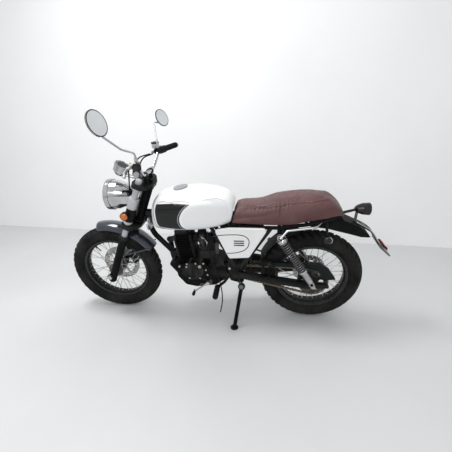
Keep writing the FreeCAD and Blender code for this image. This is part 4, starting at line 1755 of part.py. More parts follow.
    front = Vec(SHOCK_HEAD_X, SHOCK_Y + SHOCK_EYE_LENGTH / 2 + RIM_WALL, SHOCK_HEAD_Z)
    route = [front, Vec(GRAB_KNEE_X, SHOCK_Y, GRAB_KNEE_Z), Vec(GRAB_TAIL_X, SHOCK_Y, GRAB_TAIL_Z),
             Vec(GRAB_END_X, RAIL_Y, GRAB_END_Z)]
    grab = bent_rod(route, GRAB_TUBE_RADIUS, GRAB_BEND)
    parts["grab_rails"] = pair(grab.cut(rails).cut(seat).cut(shocks))
    return parts


def hose_points():
    """The hose's route; it hangs plumb, so beside the leaning machine it drifts outward."""
    points = []
    for x, z in HOSE_ROUTE:
        points.append(Vec(x, HOSE_TOP_Y + (HOSE_ROUTE[0][1] - z) * math.tan(LEAN), z))
    return points


def build_hose():
    """The breather hose, from under the tank past the engine, hanging open-ended."""
    return {"breather_hose": bent_rod(hose_points(), HOSE_RADIUS, HOSE_BEND)}


def park(shape):
    """Lean the machine over onto its stand, with its tyres on the floor."""
    moved = shape.copy()
    moved.rotate(Vec(0, 0, 0), FORWARD, -LEAN_DEG)
    moved.translate(UP * (TYRE_CROWN_RADIUS * (1 - math.cos(LEAN))))
    return moved


parts = {}
parts.update(build_front_wheel())
parts.update(build_rear_wheel())
parts.update(build_fork())
bar_parts, bar_tip, bar_inward = build_handlebar()
parts.update(bar_parts)
parts.update(build_front_lamps(parts["fork_uppers"]))
parts["speedometer"] = parts["speedometer"].cut(parts["triple_clamp"])
parts.update(build_front_guard(parts["fork_lowers"]))
parts["cables"] = Part.makeCompound(build_cables(bar_tip, bar_inward)).cut(parts["triple_clamp"])
parts.update(build_frame())
parts.update(build_stand())
parts.update(build_swingarm())
parts.update(build_shocks())
parts.update(build_chain())
engine, exhaust_face, intake_face, engine_fore = build_engine(parts["front_struts"],
                                                              parts["frame_down_tube"])
parts.update(engine)
parts.update(build_intake(intake_face, parts["cylinder"]))
parts.update(build_exhaust(exhaust_face, engine_fore, parts["front_struts"]))
struts = [parts["front_struts"], parts["rear_struts"]]
parts.update(build_foot_controls(struts, parts["crankcase"]))
parts.update(build_bodywork())
parts.update(build_tail(parts["seat_rails"], parts["swingarm"], parts["shock_absorbers"], parts["seat"]))
parts.update(build_hose())

standing = {name: park(shape) for name, shape in parts.items()}
rigid = Part.makeCompound([shape for name, shape in standing.items() if name != "breather_hose"])
extent = rigid.optimalBoundingBox(False, False)
ORIGIN = Vec(extent.Center.x, extent.Center.y, extent.ZMin)
for name, shape in standing.items():
    shape.translate(ORIGIN * -1)
    shape.exportStep("parts/" + name + ".step")
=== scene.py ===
"""Cafe racer motorcycle on its side stand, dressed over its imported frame."""

import logging
from collections.abc import Callable, Sequence
from dataclasses import dataclass, field
from enum import Enum
from math import asin, atan2, cos, exp, hypot, inf, pi, radians, sin, sqrt, tan, tau
from typing import Any

import bmesh
import bpy
from mathutils import Matrix, Vector, noise
from mathutils.bvhtree import BVHTree


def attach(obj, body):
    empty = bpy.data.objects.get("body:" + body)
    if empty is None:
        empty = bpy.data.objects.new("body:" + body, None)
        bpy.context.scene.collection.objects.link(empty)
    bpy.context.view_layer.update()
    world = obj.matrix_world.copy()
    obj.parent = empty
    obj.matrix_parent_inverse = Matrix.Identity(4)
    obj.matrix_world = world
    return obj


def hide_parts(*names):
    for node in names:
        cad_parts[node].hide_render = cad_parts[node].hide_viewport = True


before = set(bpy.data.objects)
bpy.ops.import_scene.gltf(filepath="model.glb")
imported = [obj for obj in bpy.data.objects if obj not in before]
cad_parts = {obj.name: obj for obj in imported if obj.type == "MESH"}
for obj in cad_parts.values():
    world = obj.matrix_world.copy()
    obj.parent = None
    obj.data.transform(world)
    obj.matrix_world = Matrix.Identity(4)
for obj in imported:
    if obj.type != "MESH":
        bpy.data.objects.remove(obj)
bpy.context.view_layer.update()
LOG = logging.getLogger("cafe_racer")

Colour = tuple[float, float, float]
Flat = tuple[float, float]
Test = Callable[[Vector], bool]
Socket = bpy.types.NodeSocket
Tree = bpy.types.NodeTree
Verts = list[bmesh.types.BMVert]

# The upright frame of the machine: x forward from the rear axle, y left, z up, in metres.
LEAN = radians(9.24)
FRAME_ORIGIN = Vector((0.5985, 0.20743, -0.000856))
UPRIGHT = Matrix.Translation(-FRAME_ORIGIN) @ Matrix.Rotation(-LEAN, 4, "X")
LEVEL = UPRIGHT.inverted()
SIDE = Vector((0.0, 1.0, 0.0))
UP = Vector((0.0, 0.0, 1.0))
FORWARD = Vector((1.0, 0.0, 0.0))
REAR_AXLE = Vector((0.0, 0.0, 0.318))
FRONT_AXLE = Vector((1.308, 0.0, 0.315))
RAKE = radians(23.5)
STEER_UP = Vector((-sin(RAKE), 0.0, cos(RAKE)))
STEER_AHEAD = Vector((cos(RAKE), 0.0, sin(RAKE)))
STEER_BASE = FRONT_AXLE - STEER_AHEAD * 0.050
FORK_AHEAD = 0.038

# The noise nodes give about NOISE_SPAN; the ramp between two tints runs over TINT_ENDS.
NOISE_SPAN = (0.3, 0.7)
TINT_ENDS = (0.36, 0.66)
WORN_EDGE = (0.53, 0.62)
COAT_ROUGH = 0.06


def fixed(*place: float) -> Any:
    """Makes a point the default of a size field."""
    return field(default_factory=lambda: Vector(place))


def outward(turn: float) -> Vector:
    """Points out from a wheel's axle at a turn."""
    return Vector((cos(turn), 0.0, sin(turn)))


def added(name: str, data: bpy.types.ID) -> bpy.types.Object:
    """Puts data into the scene as a new object.

    Args:
        name: The object's name.
        data: Its mesh, curve, camera or light.

    Returns:
        The object.
    """
    made = bpy.data.objects.new(name, data)
    bpy.context.scene.collection.objects.link(made)
    return made


def fork_point(along: float, ahead: float = 0.0, side: float = 0.0) -> Vector:
    """Finds a point by its place on the steering axis.

    Args:
        along: Metres up the steering axis.
        ahead: Metres in front of it.
        side: Metres to its left.

    Returns:
        The point in the upright frame.
    """
    return STEER_BASE + STEER_UP * along + STEER_AHEAD * ahead + SIDE * side


def feed(tree: Tree, made: bpy.types.Node, **inputs: Any) -> bpy.types.Node:
    """Sets or links the inputs of a node.

    Args:
        tree: The tree that holds it.
        made: The node.
        inputs: A value or a socket for each input, with _ for a space in its name.

    Returns:
        The node.
    """
    for name, value in inputs.items():
        socket = made.inputs[name.replace("_", " ")]
        if isinstance(value, Socket):
            tree.links.new(value, socket)
        else:
            socket.default_value = value
    return made


def grow(tree: Tree, kind: str, **inputs: Any) -> bpy.types.Node:
    """Adds a shader node with its inputs."""
    return feed(tree, tree.nodes.new(f"ShaderNode{kind}"), **inputs)


def reckon(tree: Tree, operation: str, *values: Socket) -> bpy.types.Node:
    """Adds a math node.

    Args:
        tree: The tree that it joins.
        operation: What it does with the values.
        values: Its inputs.

    Returns:
        The node.
    """
    made = tree.nodes.new("ShaderNodeMath")
    made.operation = operation
    for socket, value in zip(made.inputs, values):
        tree.links.new(value, socket)
    return made


def mixed(tree: Tree, amount: Socket, first: Socket, second: Socket) -> Socket:
    """Mixes two shaders.

    Args:
        tree: The tree that holds them.
        amount: The share of the second.
        first: One shader.
        second: The other shader.

    Returns:
        The mixed shader.
    """
    made = grow(tree, "MixShader", Fac=amount)
    tree.links.new(first, made.inputs[1])
    tree.links.new(second, made.inputs[2])
    return made.outputs["Shader"]


def cloud(tree: Tree, place: Socket, scale: float, detail: float) -> Socket:
    """Adds soft noise at a scale, with octaves of finer detail."""
    return grow(tree, "TexNoise", Scale=scale, Detail=detail, Vector=place).outputs["Fac"]


def blended(tree: Tree, amount: Socket, colours: tuple[Colour, Colour], ends: Flat) -> Socket:
    """Blends two colours through a ramp.

    Args:
        tree: The tree that it joins.
        amount: The value that chooses between them.
        colours: The colours at low and at high values.
        ends: Where the ramp starts and ends.

    Returns:
        The blended colour.
    """
    ramp = grow(tree, "ValToRGB", Fac=amount)
    for element, colour, end in zip(ramp.color_ramp.elements, colours, ends):
        element.position = end
        element.color = (*colour, 1.0)
    return ramp.outputs["Color"]


class Grain(Enum):
    """The fine relief of a surface, with the octaves of its noise."""

    SMOOTH = 1.0
    CAST = 6.0
    PEBBLE = 0.0
    BRUSHED = 2.0
    RUBBER = 4.0


@dataclass(frozen=True)
class Finish:
    """One surface finish: its two colours, its gloss, its relief and its wear."""

    name: str
    slot: str
    tint: Colour
    shade: Colour
    patch_scale: float = 14.0
    rough: Flat = (0.35, 0.5)
    metal: float = 0.0
    coat: float = 0.0
    gloss: float = 0.5
    grain: Grain = Grain.SMOOTH
    grain_scale: float = 600.0
    grain_depth: float = 0.0001
    wear: Colour | None = None
    glass: float = 0.0

    def material(self) -> bpy.types.Material:
        """Builds the node material once and then hands out the same one.

        Returns:
            The material of this finish.
        """
        found = bpy.data.materials.get(self.name)
        if found is not None:
            return found
        made = bpy.data.materials.new(self.name)
        made.use_nodes = True
        tree = made.node_tree
        place = grow(tree, "TexCoord").outputs["Object"]
        colour = blended(tree, cloud(tree, place, self.patch_scale, 5.0), (self.tint, self.shade), TINT_ENDS)
        if self.wear is not None:
            colour = self.worn(tree, place, colour)
        rough = grow(tree, "MapRange", From_Min=NOISE_SPAN[0], From_Max=NOISE_SPAN[1], To_Min=self.rough[0],
                     To_Max=self.rough[1], Value=cloud(tree, place, self.patch_scale * 7.0, 3.0))
        bump = grow(tree, "Bump", Strength=1.0, Distance=self.grain_depth, Height=self.relief(tree, place))
        feed(tree, tree.nodes["Principled BSDF"], Base_Color=colour, Roughness=rough.outputs["Result"],
             Metallic=self.metal, Coat_Weight=self.coat, Specular_IOR_Level=self.gloss, Coat_Roughness=COAT_ROUGH,
             Transmission_Weight=self.glass, Normal=bump.outputs["Normal"])
        return made

    def worn(self, tree: Tree, place: Socket, colour: Socket) -> Socket:
        """Lightens raised edges where the finish has rubbed.

        Args:
            tree: The material's nodes.
            place: The coordinates to read.
            colour: The colour before wear.

        Returns:
            The colour with its worn edges.
        """
        edge = grow(tree, "MapRange", From_Min=WORN_EDGE[0], From_Max=WORN_EDGE[1],
                    Value=grow(tree, "NewGeometry").outputs["Pointiness"])
        broken = reckon(tree, "MULTIPLY", edge.outputs["Result"], cloud(tree, place, 90.0, 4.0))
        blend = tree.nodes.new("ShaderNodeMix")
        blend.data_type = "RGBA"
        feed(tree, blend, Factor=broken.outputs["Value"], A=colour, B=(*self.wear, 1.0))
        return blend.outputs["Result"]

    def relief(self, tree: Tree, place: Socket) -> Socket:
        """Adds the height of the surface's grain.

        Args:
            tree: The material's nodes.
            place: The coordinates to read.

        Returns:
            The height for the bump.
        """
        if self.grain is Grain.PEBBLE:
            cells = tree.nodes.new("ShaderNodeTexVoronoi")
            cells.feature = "DISTANCE_TO_EDGE"
            feed(tree, cells, Scale=self.grain_scale, Vector=place)
            return grow(tree, "MapRange", From_Max=0.25, Value=cells.outputs["Distance"]).outputs["Result"]
        if self.grain is Grain.BRUSHED:
            place = grow(tree, "Mapping", Scale=(0.06, 1.0, 1.0), Vector=place).outputs["Vector"]
        return cloud(tree, place, self.grain_scale, self.grain.value)


TYRE_RUBBER = Finish("tyre_rubber", "tyre", (0.006, 0.006, 0.006), (0.020, 0.020, 0.019), 9.0, (0.62, 0.82),
                     gloss=0.1, grain=Grain.RUBBER, grain_scale=420.0, grain_depth=0.0003, wear=(0.035, 0.034, 0.031))
RIM_BLACK = Finish("rim_enamel", "rim_black", (0.006, 0.006, 0.007), (0.012, 0.012, 0.012), 12.0, (0.18, 0.30),
                   coat=0.05, gloss=0.12, grain_depth=0.00005, wear=(0.08, 0.08, 0.08))
SPOKE_STEEL = Finish("spoke_plating", "spoke_steel", (0.62, 0.62, 0.60), (0.46, 0.45, 0.42), 60.0, (0.22, 0.42),
                     metal=1.0, grain=Grain.BRUSHED, grain_scale=900.0)
HUB_ALLOY = Finish("hub_alloy", "bolt_steel", (0.16, 0.16, 0.16), (0.09, 0.09, 0.09), 30.0, (0.35, 0.5),
                   metal=0.9, grain=Grain.CAST, grain_scale=500.0)
DISC_STEEL = Finish("disc_steel_ground", "disc_steel", (0.36, 0.355, 0.34), (0.26, 0.255, 0.245), 22.0, (0.26, 0.42),
                    metal=1.0, grain=Grain.BRUSHED, grain_scale=1400.0, grain_depth=0.00006)
SPROCKET_STEEL = Finish("sprocket_steel", "disc_steel", (0.10, 0.095, 0.088), (0.05, 0.046, 0.042), 30.0, (0.36, 0.5),
                        metal=0.9, grain=Grain.BRUSHED, grain_scale=900.0, grain_depth=0.00006)
SPRING_STEEL = Finish("spring_enamel", "chrome", (0.20, 0.20, 0.205), (0.12, 0.12, 0.125), 30.0, (0.22, 0.36),
                      metal=0.9, grain_depth=0.00004)
CHAIN_STEEL = Finish("chain_oiled", "chain_steel", (0.115, 0.085, 0.058), (0.04, 0.031, 0.024), 45.0, (0.30, 0.55),
                     metal=0.85, grain=Grain.CAST, grain_scale=700.0, wear=(0.32, 0.27, 0.20))
FRAME_BLACK = Finish("frame_enamel", "black_paint", (0.004, 0.004, 0.0045), (0.008, 0.008, 0.0085), 10.0, (0.24, 0.38),
                     gloss=0.05, grain_depth=0.00005, grain_scale=260.0, wear=(0.04, 0.04, 0.04))
FORK_GREY = Finish("fork_cover_grey", "fork_grey", (0.47, 0.48, 0.50), (0.40, 0.41, 0.43), 20.0, (0.28, 0.42),
                   metal=0.35, coat=0.3, grain_depth=0.00008, wear=(0.62, 0.62, 0.62))
BOLT_STEEL = Finish("bolt_zinc", "bolt_steel", (0.58, 0.58, 0.56), (0.40, 0.39, 0.36), 80.0, (0.28, 0.45),
                    metal=1.0, grain=Grain.BRUSHED, grain_scale=1200.0)
CHROME = Finish("chrome_plate", "chrome", (0.56, 0.56, 0.57), (0.40, 0.40, 0.41), 16.0, (0.06, 0.15),
                metal=1.0, grain_depth=0.00002, grain_scale=120.0)
BLACK_RUBBER = Finish("moulded_rubber", "black_rubber", (0.006, 0.006, 0.006), (0.012, 0.012, 0.012), 30.0,
                      (0.55, 0.75), gloss=0.12, grain=Grain.RUBBER, grain_scale=700.0)
LEVER_ALLOY = Finish("lever_alloy_satin", "lever_alloy", (0.56, 0.56, 0.57), (0.42, 0.42, 0.43), 30.0, (0.28, 0.42),
                     metal=0.95, grain=Grain.BRUSHED, grain_scale=1000.0)
ORANGE_LENS = Finish("amber_lens", "orange_lens", (0.62, 0.16, 0.008), (0.46, 0.10, 0.005), 60.0, (0.12, 0.22),
                     coat=0.5, gloss=0.4, grain=Grain.PEBBLE, grain_scale=260.0, grain_depth=0.0003)
SMOKED_LENS = Finish("smoked_lens_gloss", "smoked_lens", (0.014, 0.009, 0.010), (0.007, 0.006, 0.007), 30.0,
                     (0.08, 0.16), coat=0.2, gloss=0.3, grain_scale=90.0, grain_depth=0.00006)
GUARD_BLACK = Finish("mudguard_lacquer", "guard_black", (0.014, 0.017, 0.030), (0.022, 0.026, 0.042), 8.0,
                     (0.12, 0.24), coat=0.7, gloss=0.4, grain_scale=120.0, grain_depth=0.00006, wear=(0.06, 0.06, 0.07))
GUARD_MATT = Finish("mudguard_moulding", "guard_black", (0.004, 0.004, 0.0045), (0.008, 0.008, 0.0085), 12.0,
                    (0.45, 0.6), gloss=0.08, grain=Grain.CAST, grain_scale=700.0, grain_depth=0.00006)
ENGINE_BLACK = Finish("engine_casting", "engine_black", (0.0025, 0.0025, 0.0025), (0.006, 0.006, 0.0058), 16.0,
                      (0.36, 0.52), gloss=0.07, grain=Grain.CAST, grain_scale=640.0, grain_depth=0.00008,
                      wear=(0.10, 0.10, 0.095))
SUMP_ALLOY = Finish("sump_alloy", "bolt_steel", (0.20, 0.165, 0.115), (0.085, 0.075, 0.058), 26.0, (0.42, 0.6),
                    metal=0.7, grain=Grain.CAST, grain_scale=420.0, wear=(0.45, 0.40, 0.30))
EXHAUST_BLACK = Finish("exhaust_heatproof", "exhaust_black", (0.005, 0.005, 0.005), (0.012, 0.011, 0.010), 14.0,
                       (0.42, 0.6), gloss=0.15, grain=Grain.CAST, grain_scale=700.0, grain_depth=0.00006,
                       wear=(0.10, 0.09, 0.08))
CARB_ALLOY = Finish("carburettor_alloy", "lever_alloy", (0.085, 0.085, 0.083), (0.045, 0.045, 0.044), 40.0,
                    (0.38, 0.52), metal=0.8, grain=Grain.CAST, grain_scale=600.0, grain_depth=0.00008)
PLATE_DARK = Finish("plate_arm_enamel", "cap_grey", (0.010, 0.010, 0.011), (0.018, 0.018, 0.019), 20.0, (0.25, 0.4),
                    gloss=0.2, grain_depth=0.00005, wear=(0.20, 0.20, 0.20))
TANK_WHITE = Finish("tank_lacquer", "white_paint", (0.80, 0.81, 0.82), (0.77, 0.78, 0.79), 3.0, (0.10, 0.18),
                    coat=0.5, grain_scale=60.0, grain_depth=0.00004)
# Painted shade: a greyer white for the knee recess, where it turns away from the light.
KNEE_SHADE_WHITE = Finish("tank_lacquer_painted_shade", "white_paint", (0.745, 0.755, 0.76), (0.70, 0.71, 0.72), 4.0, (0.12, 0.2),
                    coat=0.5, grain_scale=60.0, grain_depth=0.00004)
COVER_WHITE = Finish("side_cover_moulding", "white_plastic", (0.78, 0.78, 0.78), (0.73, 0.73, 0.735), 5.0,
                     (0.16, 0.28), coat=0.4, grain_scale=90.0, grain_depth=0.00006)
CAP_GREY = Finish("filler_cap_satin", "cap_grey", (0.42, 0.43, 0.45), (0.33, 0.34, 0.36), 24.0, (0.28, 0.42),
                  metal=0.8, grain=Grain.BRUSHED, grain_scale=900.0)
LEATHER = Finish("seat_leather", "brown_leather", (0.086, 0.034, 0.034), (0.128, 0.058, 0.058), 7.0, (0.32, 0.52),
                 gloss=0.38, grain=Grain.PEBBLE, grain_scale=420.0, grain_depth=0.00025, wear=(0.20, 0.11, 0.09))
# Real stitching thread, made pale as a painted highlight along the seam's puckers.
THREAD_AND_HIGHLIGHT = Finish("seat_thread_and_painted_highlight", "brown_leather", (0.60, 0.52, 0.50), (0.42, 0.32, 0.30), 200.0, (0.6, 0.75),
                grain=Grain.BRUSHED, grain_scale=1600.0, grain_depth=0.0002)
BLACK_PLASTIC = Finish("moulded_plastic", "black_plastic", (0.005, 0.005, 0.0055), (0.010, 0.010, 0.0105), 18.0,
                       (0.34, 0.5), gloss=0.1, grain=Grain.CAST, grain_scale=900.0, grain_depth=0.00006)
PANEL_BLACK = Finish("panel_lacquer", "black_paint", (0.004, 0.0045, 0.0045), (0.006, 0.0065, 0.0065), 6.0,
                     (0.08, 0.16), coat=0.1, gloss=0.3, grain_scale=60.0, grain_depth=0.00004)
STRIPE_DARK = Finish("stripe_charcoal", "black_paint", (0.030, 0.030, 0.033), (0.020, 0.020, 0.022), 40.0,
                     (0.2, 0.3), coat=0.2, gloss=0.3, grain_depth=0.00003)
# Silver for the real pinstripes, also used for painted highlights along the panel's top edge and a painted shade line
# along the knee crease.
SILVER_STRIPE_AND_PAINTED_LIGHT = Finish("silver_stripe_and_painted_light", "white_paint", (0.46, 0.45, 0.45), (0.36, 0.35, 0.36), 50.0,
                       (0.22, 0.34), metal=0.4, coat=0.4, grain_depth=0.00003)
GUARD_GREEN = Finish("chain_guard_plastic", "guard_black", (0.005, 0.008, 0.0075), (0.010, 0.014, 0.0135), 11.0,
                     (0.40, 0.55), gloss=0.14, grain=Grain.CAST, grain_scale=800.0, grain_depth=0.00006)
MIRROR_GLASS = Finish("mirror_silver", "chrome", (0.80, 0.82, 0.83), (0.74, 0.76, 0.77), 8.0, (0.03, 0.09),
                      metal=1.0, grain_depth=0.00001, grain_scale=60.0)
HEAD_GLASS = Finish("headlamp_glass", "chrome", (0.86, 0.88, 0.88), (0.80, 0.83, 0.83), 20.0, (0.04, 0.10),
                    coat=0.5, grain=Grain.BRUSHED, grain_scale=160.0, grain_depth=0.0008, glass=0.75)
DIAL_BLACK = Finish("dial_face", "black_plastic", (0.008, 0.008, 0.009), (0.014, 0.014, 0.015), 60.0, (0.4, 0.5),
                    gloss=0.3, grain_depth=0.00003)
DIAL_WHITE = Finish("dial_marks", "white_plastic", (0.74, 0.74, 0.72), (0.66, 0.66, 0.64), 60.0, (0.4, 0.5),
                    grain_depth=0.00003)
SIGNAL_RED = Finish("signal_red", "orange_lens", (0.52, 0.022, 0.018), (0.40, 0.014, 0.012), 60.0, (0.2, 0.3),
                    coat=0.5, grain_depth=0.00005)
CAP_YELLOW = Finish("cap_yellow", "orange_lens", (0.70, 0.52, 0.10), (0.60, 0.43, 0.07), 60.0, (0.3, 0.4),
                    grain_depth=0.00005)
CABLE_BLACK = Finish("cable_sheath", "black_rubber", (0.005, 0.005, 0.005), (0.010, 0.010, 0.010), 40.0,
                     (0.32, 0.48), gloss=0.15, grain=Grain.BRUSHED, grain_scale=300.0, grain_depth=0.00008)


class Form:
    """A mesh in the making, drawn in the upright frame."""

    def __init__(self) -> None:
        """Starts an empty mesh."""
        self.mesh = bmesh.new()

    def ring(self, points: Sequence[Vector]) -> Verts:
        """Adds the points of one ring."""
        return [self.mesh.verts.new(point) for point in points]

    def face(self, corners: Sequence[bmesh.types.BMVert], finish: int = 0) -> None:
        """Adds one face with the index of its finish."""
        self.mesh.faces.new(corners).material_index = finish

    def bridge(self, low: Verts, high: Verts, finish: int = 0, closed: bool = True) -> None:
        """Joins two rings of as many points with quads.

        Args:
            low: The first ring.
            high: The second ring.
            finish: The index of the finish.
            closed: Whether the last point joins the first.
        """
        count = len(low)
        for index in range(count if closed else count - 1):
            after = (index + 1) % count
            self.face((low[index], low[after], high[after], high[index]), finish)

    def tube(self, rings: Sequence[Verts], finish: int = 0, closed: bool = False) -> None:
        """Joins rings into a tube and fills its ends.

        Args:
            rings: The rings, in order.
            finish: The index of the finish.
            closed: Whether the last ring joins the first one instead.
        """
        for low, high in zip(rings, rings[1:]):
            self.bridge(low, high, finish)
        if closed:
            self.bridge(rings[-1], rings[0], finish)
        else:
            self.face(rings[0], finish)
            self.face(rings[-1], finish)

    def circle(self, middle: Vector, across: Vector, other: Vector, radius: float, sides: int) -> Verts:
        """Adds a ring of points at a radius round a middle."""
        return self.ring([middle + (across * cos(tau * step / sides) + other * sin(tau * step / sides)) * radius
                          for step in range(sides)])

    def turn(self, outline: Sequence[Flat], base: Vector, axis: Vector, sides: int = 40, finish: int = 0,
             closed: bool = False) -> None:
        """Turns an outline of places along an axis with their radii.

        Args:
            outline: Places with radii; a radius of zero closes the end to a point.
            base: Where the axis starts.
            axis: The way that it points.
            sides: Facets round it.
            finish: The index of the finish.
            closed: Whether the last place joins the first.
        """
        along = axis.normalized()
        across = along.orthogonal().normalized()
        other = along.cross(across)
        rings = [self.circle(base + along * place, across, other, radius, sides) if radius >= 1e-7
                 else self.ring([base + along * place]) for place, radius in outline]
        for low, high in list(zip(rings, rings[1:])) + ([(rings[-1], rings[0])] if closed else []):
            if len(low) == len(high) == 1:
                continue
            if len(low) == 1 or len(high) == 1:
                tip, rim = (low[0], high) if len(low) == 1 else (high[0], low)
                for index in range(sides):
                    self.face((tip, rim[index], rim[(index + 1) % sides]), finish)
                continue
            self.bridge(low, high, finish)
        for end in () if closed else (rings[0], rings[-1]):
            if len(end) > 1:
                self.face(end, finish)

    def rib(self, start: float, ramp: float, width: float, radii: Flat, base: Vector, axis: Vector,
            sides: int) -> None:
        """Rings an axis with one low rib.

        Args:
            start: Where it starts along the axis.
            ramp: The length of its slopes.
            width: Its whole width.
            radii: Its radius at the foot and at the top.
            base: Where the axis starts.
            axis: The way that it points.
            sides: Facets round it.
        """
        foot, top = radii
        self.turn([(start, foot), (start + ramp, top), (start + width - ramp, top), (start + width, foot)], base,
                  axis, sides, 0, True)

    def sweep(self, line: Sequence[Vector], radius: float | Sequence[float], sides: int = 10,
              finish: int = 0) -> None:
        """Sweeps a round section along a line.

        Args:
            line: The points that it follows.
            radius: Its radius, or one for each point.
            sides: Facets round it.
            finish: The index of the finish.
        """
        count = len(line)
        radii = [radius] * count if isinstance(radius, float) else radius
        rings = []
        across = (line[1] - line[0]).normalized().orthogonal().normalized()
        for index, point in enumerate(line):
            way = (line[min(index + 1, count - 1)] - line[max(index - 1, 0)]).normalized()
            across = (across - way * across.dot(way)).normalized()
            rings.append(self.circle(point, across, way.cross(across), radii[index], sides))
        self.tube(rings, finish)

    def slab(self, corners: Sequence[Vector], rise: Vector, finish: int = 0) -> None:
        """Raises a flat outline into a slab.

        Args:
            corners: The outline, in order.
            rise: From its lower face to its upper one.
            finish: The index of the finish.
        """
        low = self.ring(corners)
        high = self.ring([corner + rise for corner in corners])
        self.bridge(low, high, finish)
        self.face(low, finish)
        self.face(high, finish)

    def mirrored(self) -> None:
        """Adds the same shape on the other side of the machine."""
        copy = bmesh.ops.duplicate(self.mesh, geom=[*self.mesh.verts, *self.mesh.edges, *self.mesh.faces])
        for item in copy["geom"]:
            if isinstance(item, bmesh.types.BMVert):
                item.co.y = -item.co.y

    def piece(self, name: str, body: str, finishes: Sequence[Finish], replaces: Sequence[str] = (),
              crease: float = 32.0, bevel: float = 0.0) -> None:
        """Turns the mesh into a piece that rides on a body.

        Args:
            name: The piece's name.
            body: The body that carries it.
            finishes: Its finishes, by index.
            replaces: The nodes that it stands for.
            crease: The angle in degrees above which an edge stays sharp.
            bevel: The width of rounded edges, or zero.
        """
        self.mesh.transform(UPRIGHT)
        bmesh.ops.recalc_face_normals(self.mesh, faces=self.mesh.faces)
        limit = radians(crease)
        for edge in self.mesh.edges:
            edge.smooth = edge.calc_face_angle(0.0) < limit if len(edge.link_faces) == 2 else True
        for face in self.mesh.faces:
            face.smooth = True
        data = bpy.data.meshes.new(name)
        self.mesh.to_mesh(data)
        self.mesh.free()
        for finish in finishes:
            data.materials.append(finish.material())
        made = added(name, data)
        if bevel > 0.0:
            round_off = made.modifiers.new("rounded_edges", "BEVEL")
            round_off.width = bevel
            round_off.segments = 2
            round_off.limit_method = "ANGLE"
            round_off.angle_limit = limit
        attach(made, body)
        if replaces:
            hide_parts(*replaces)
        LOG.info("%s on %s: %d faces", name, body, len(data.polygons))


def curved(points: Sequence[Vector], steps: int = 6, closed: bool = False) -> list[Vector]:
    """Runs a smooth line through points.

    Args:
        points: The points that it passes.
        steps: Points for each run.
        closed: Whether the line is a loop.

    Returns:
        The finer line.
    """
    count = len(points)
    line: list[Vector] = []
    for index in range(count if closed else count - 1):
        if closed:
            a, b, c, d = (points[(index + shift) % count] for shift in (-1, 0, 1, 2))
        else:
            a, b = points[max(index - 1, 0)], points[index]
            c, d = points[index + 1], points[min(index + 2, count - 1)]
        for step in range(steps):
            t = step / steps
            line.append(0.5 * ((2 * b) + (c - a) * t + (2 * a - 5 * b + 4 * c - d) * t * t
                               + (3 * b - a - 3 * c + d) * t * t * t))
    if not closed:
        line.append(points[-1].copy())
    return line


def traced(line: Sequence[Flat], steps: int, closed: bool = False) -> list[Vector]:
    """Runs a smooth line through places given as x and z."""
    return curved([Vector((x, 0.0, z)) for x, z in line], steps, closed)


def dress(node: str, finish: Finish, zones: Sequence[tuple[Finish, Test]] = ()) -> None:
    """Gives a node its finish, and others to the faces that a test picks.

    Args:
        node: The node's name.
        finish: Its main finish.
        zones: Further finishes, each with a test of a face's middle in the upright frame.
    """
    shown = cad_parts[node]
    data = shown.data
    data.materials.clear()
    for used in (finish, *(extra for extra, _ in zones)):
        data.materials.append(used.material())
    for face in data.polygons:
        middle = LEVEL @ face.center
        face.material_index = max((index for index, (_, test) in enumerate(zones, 1) if test(middle)), default=0)
    LOG.info("%s dressed in %s", node, finish.name)


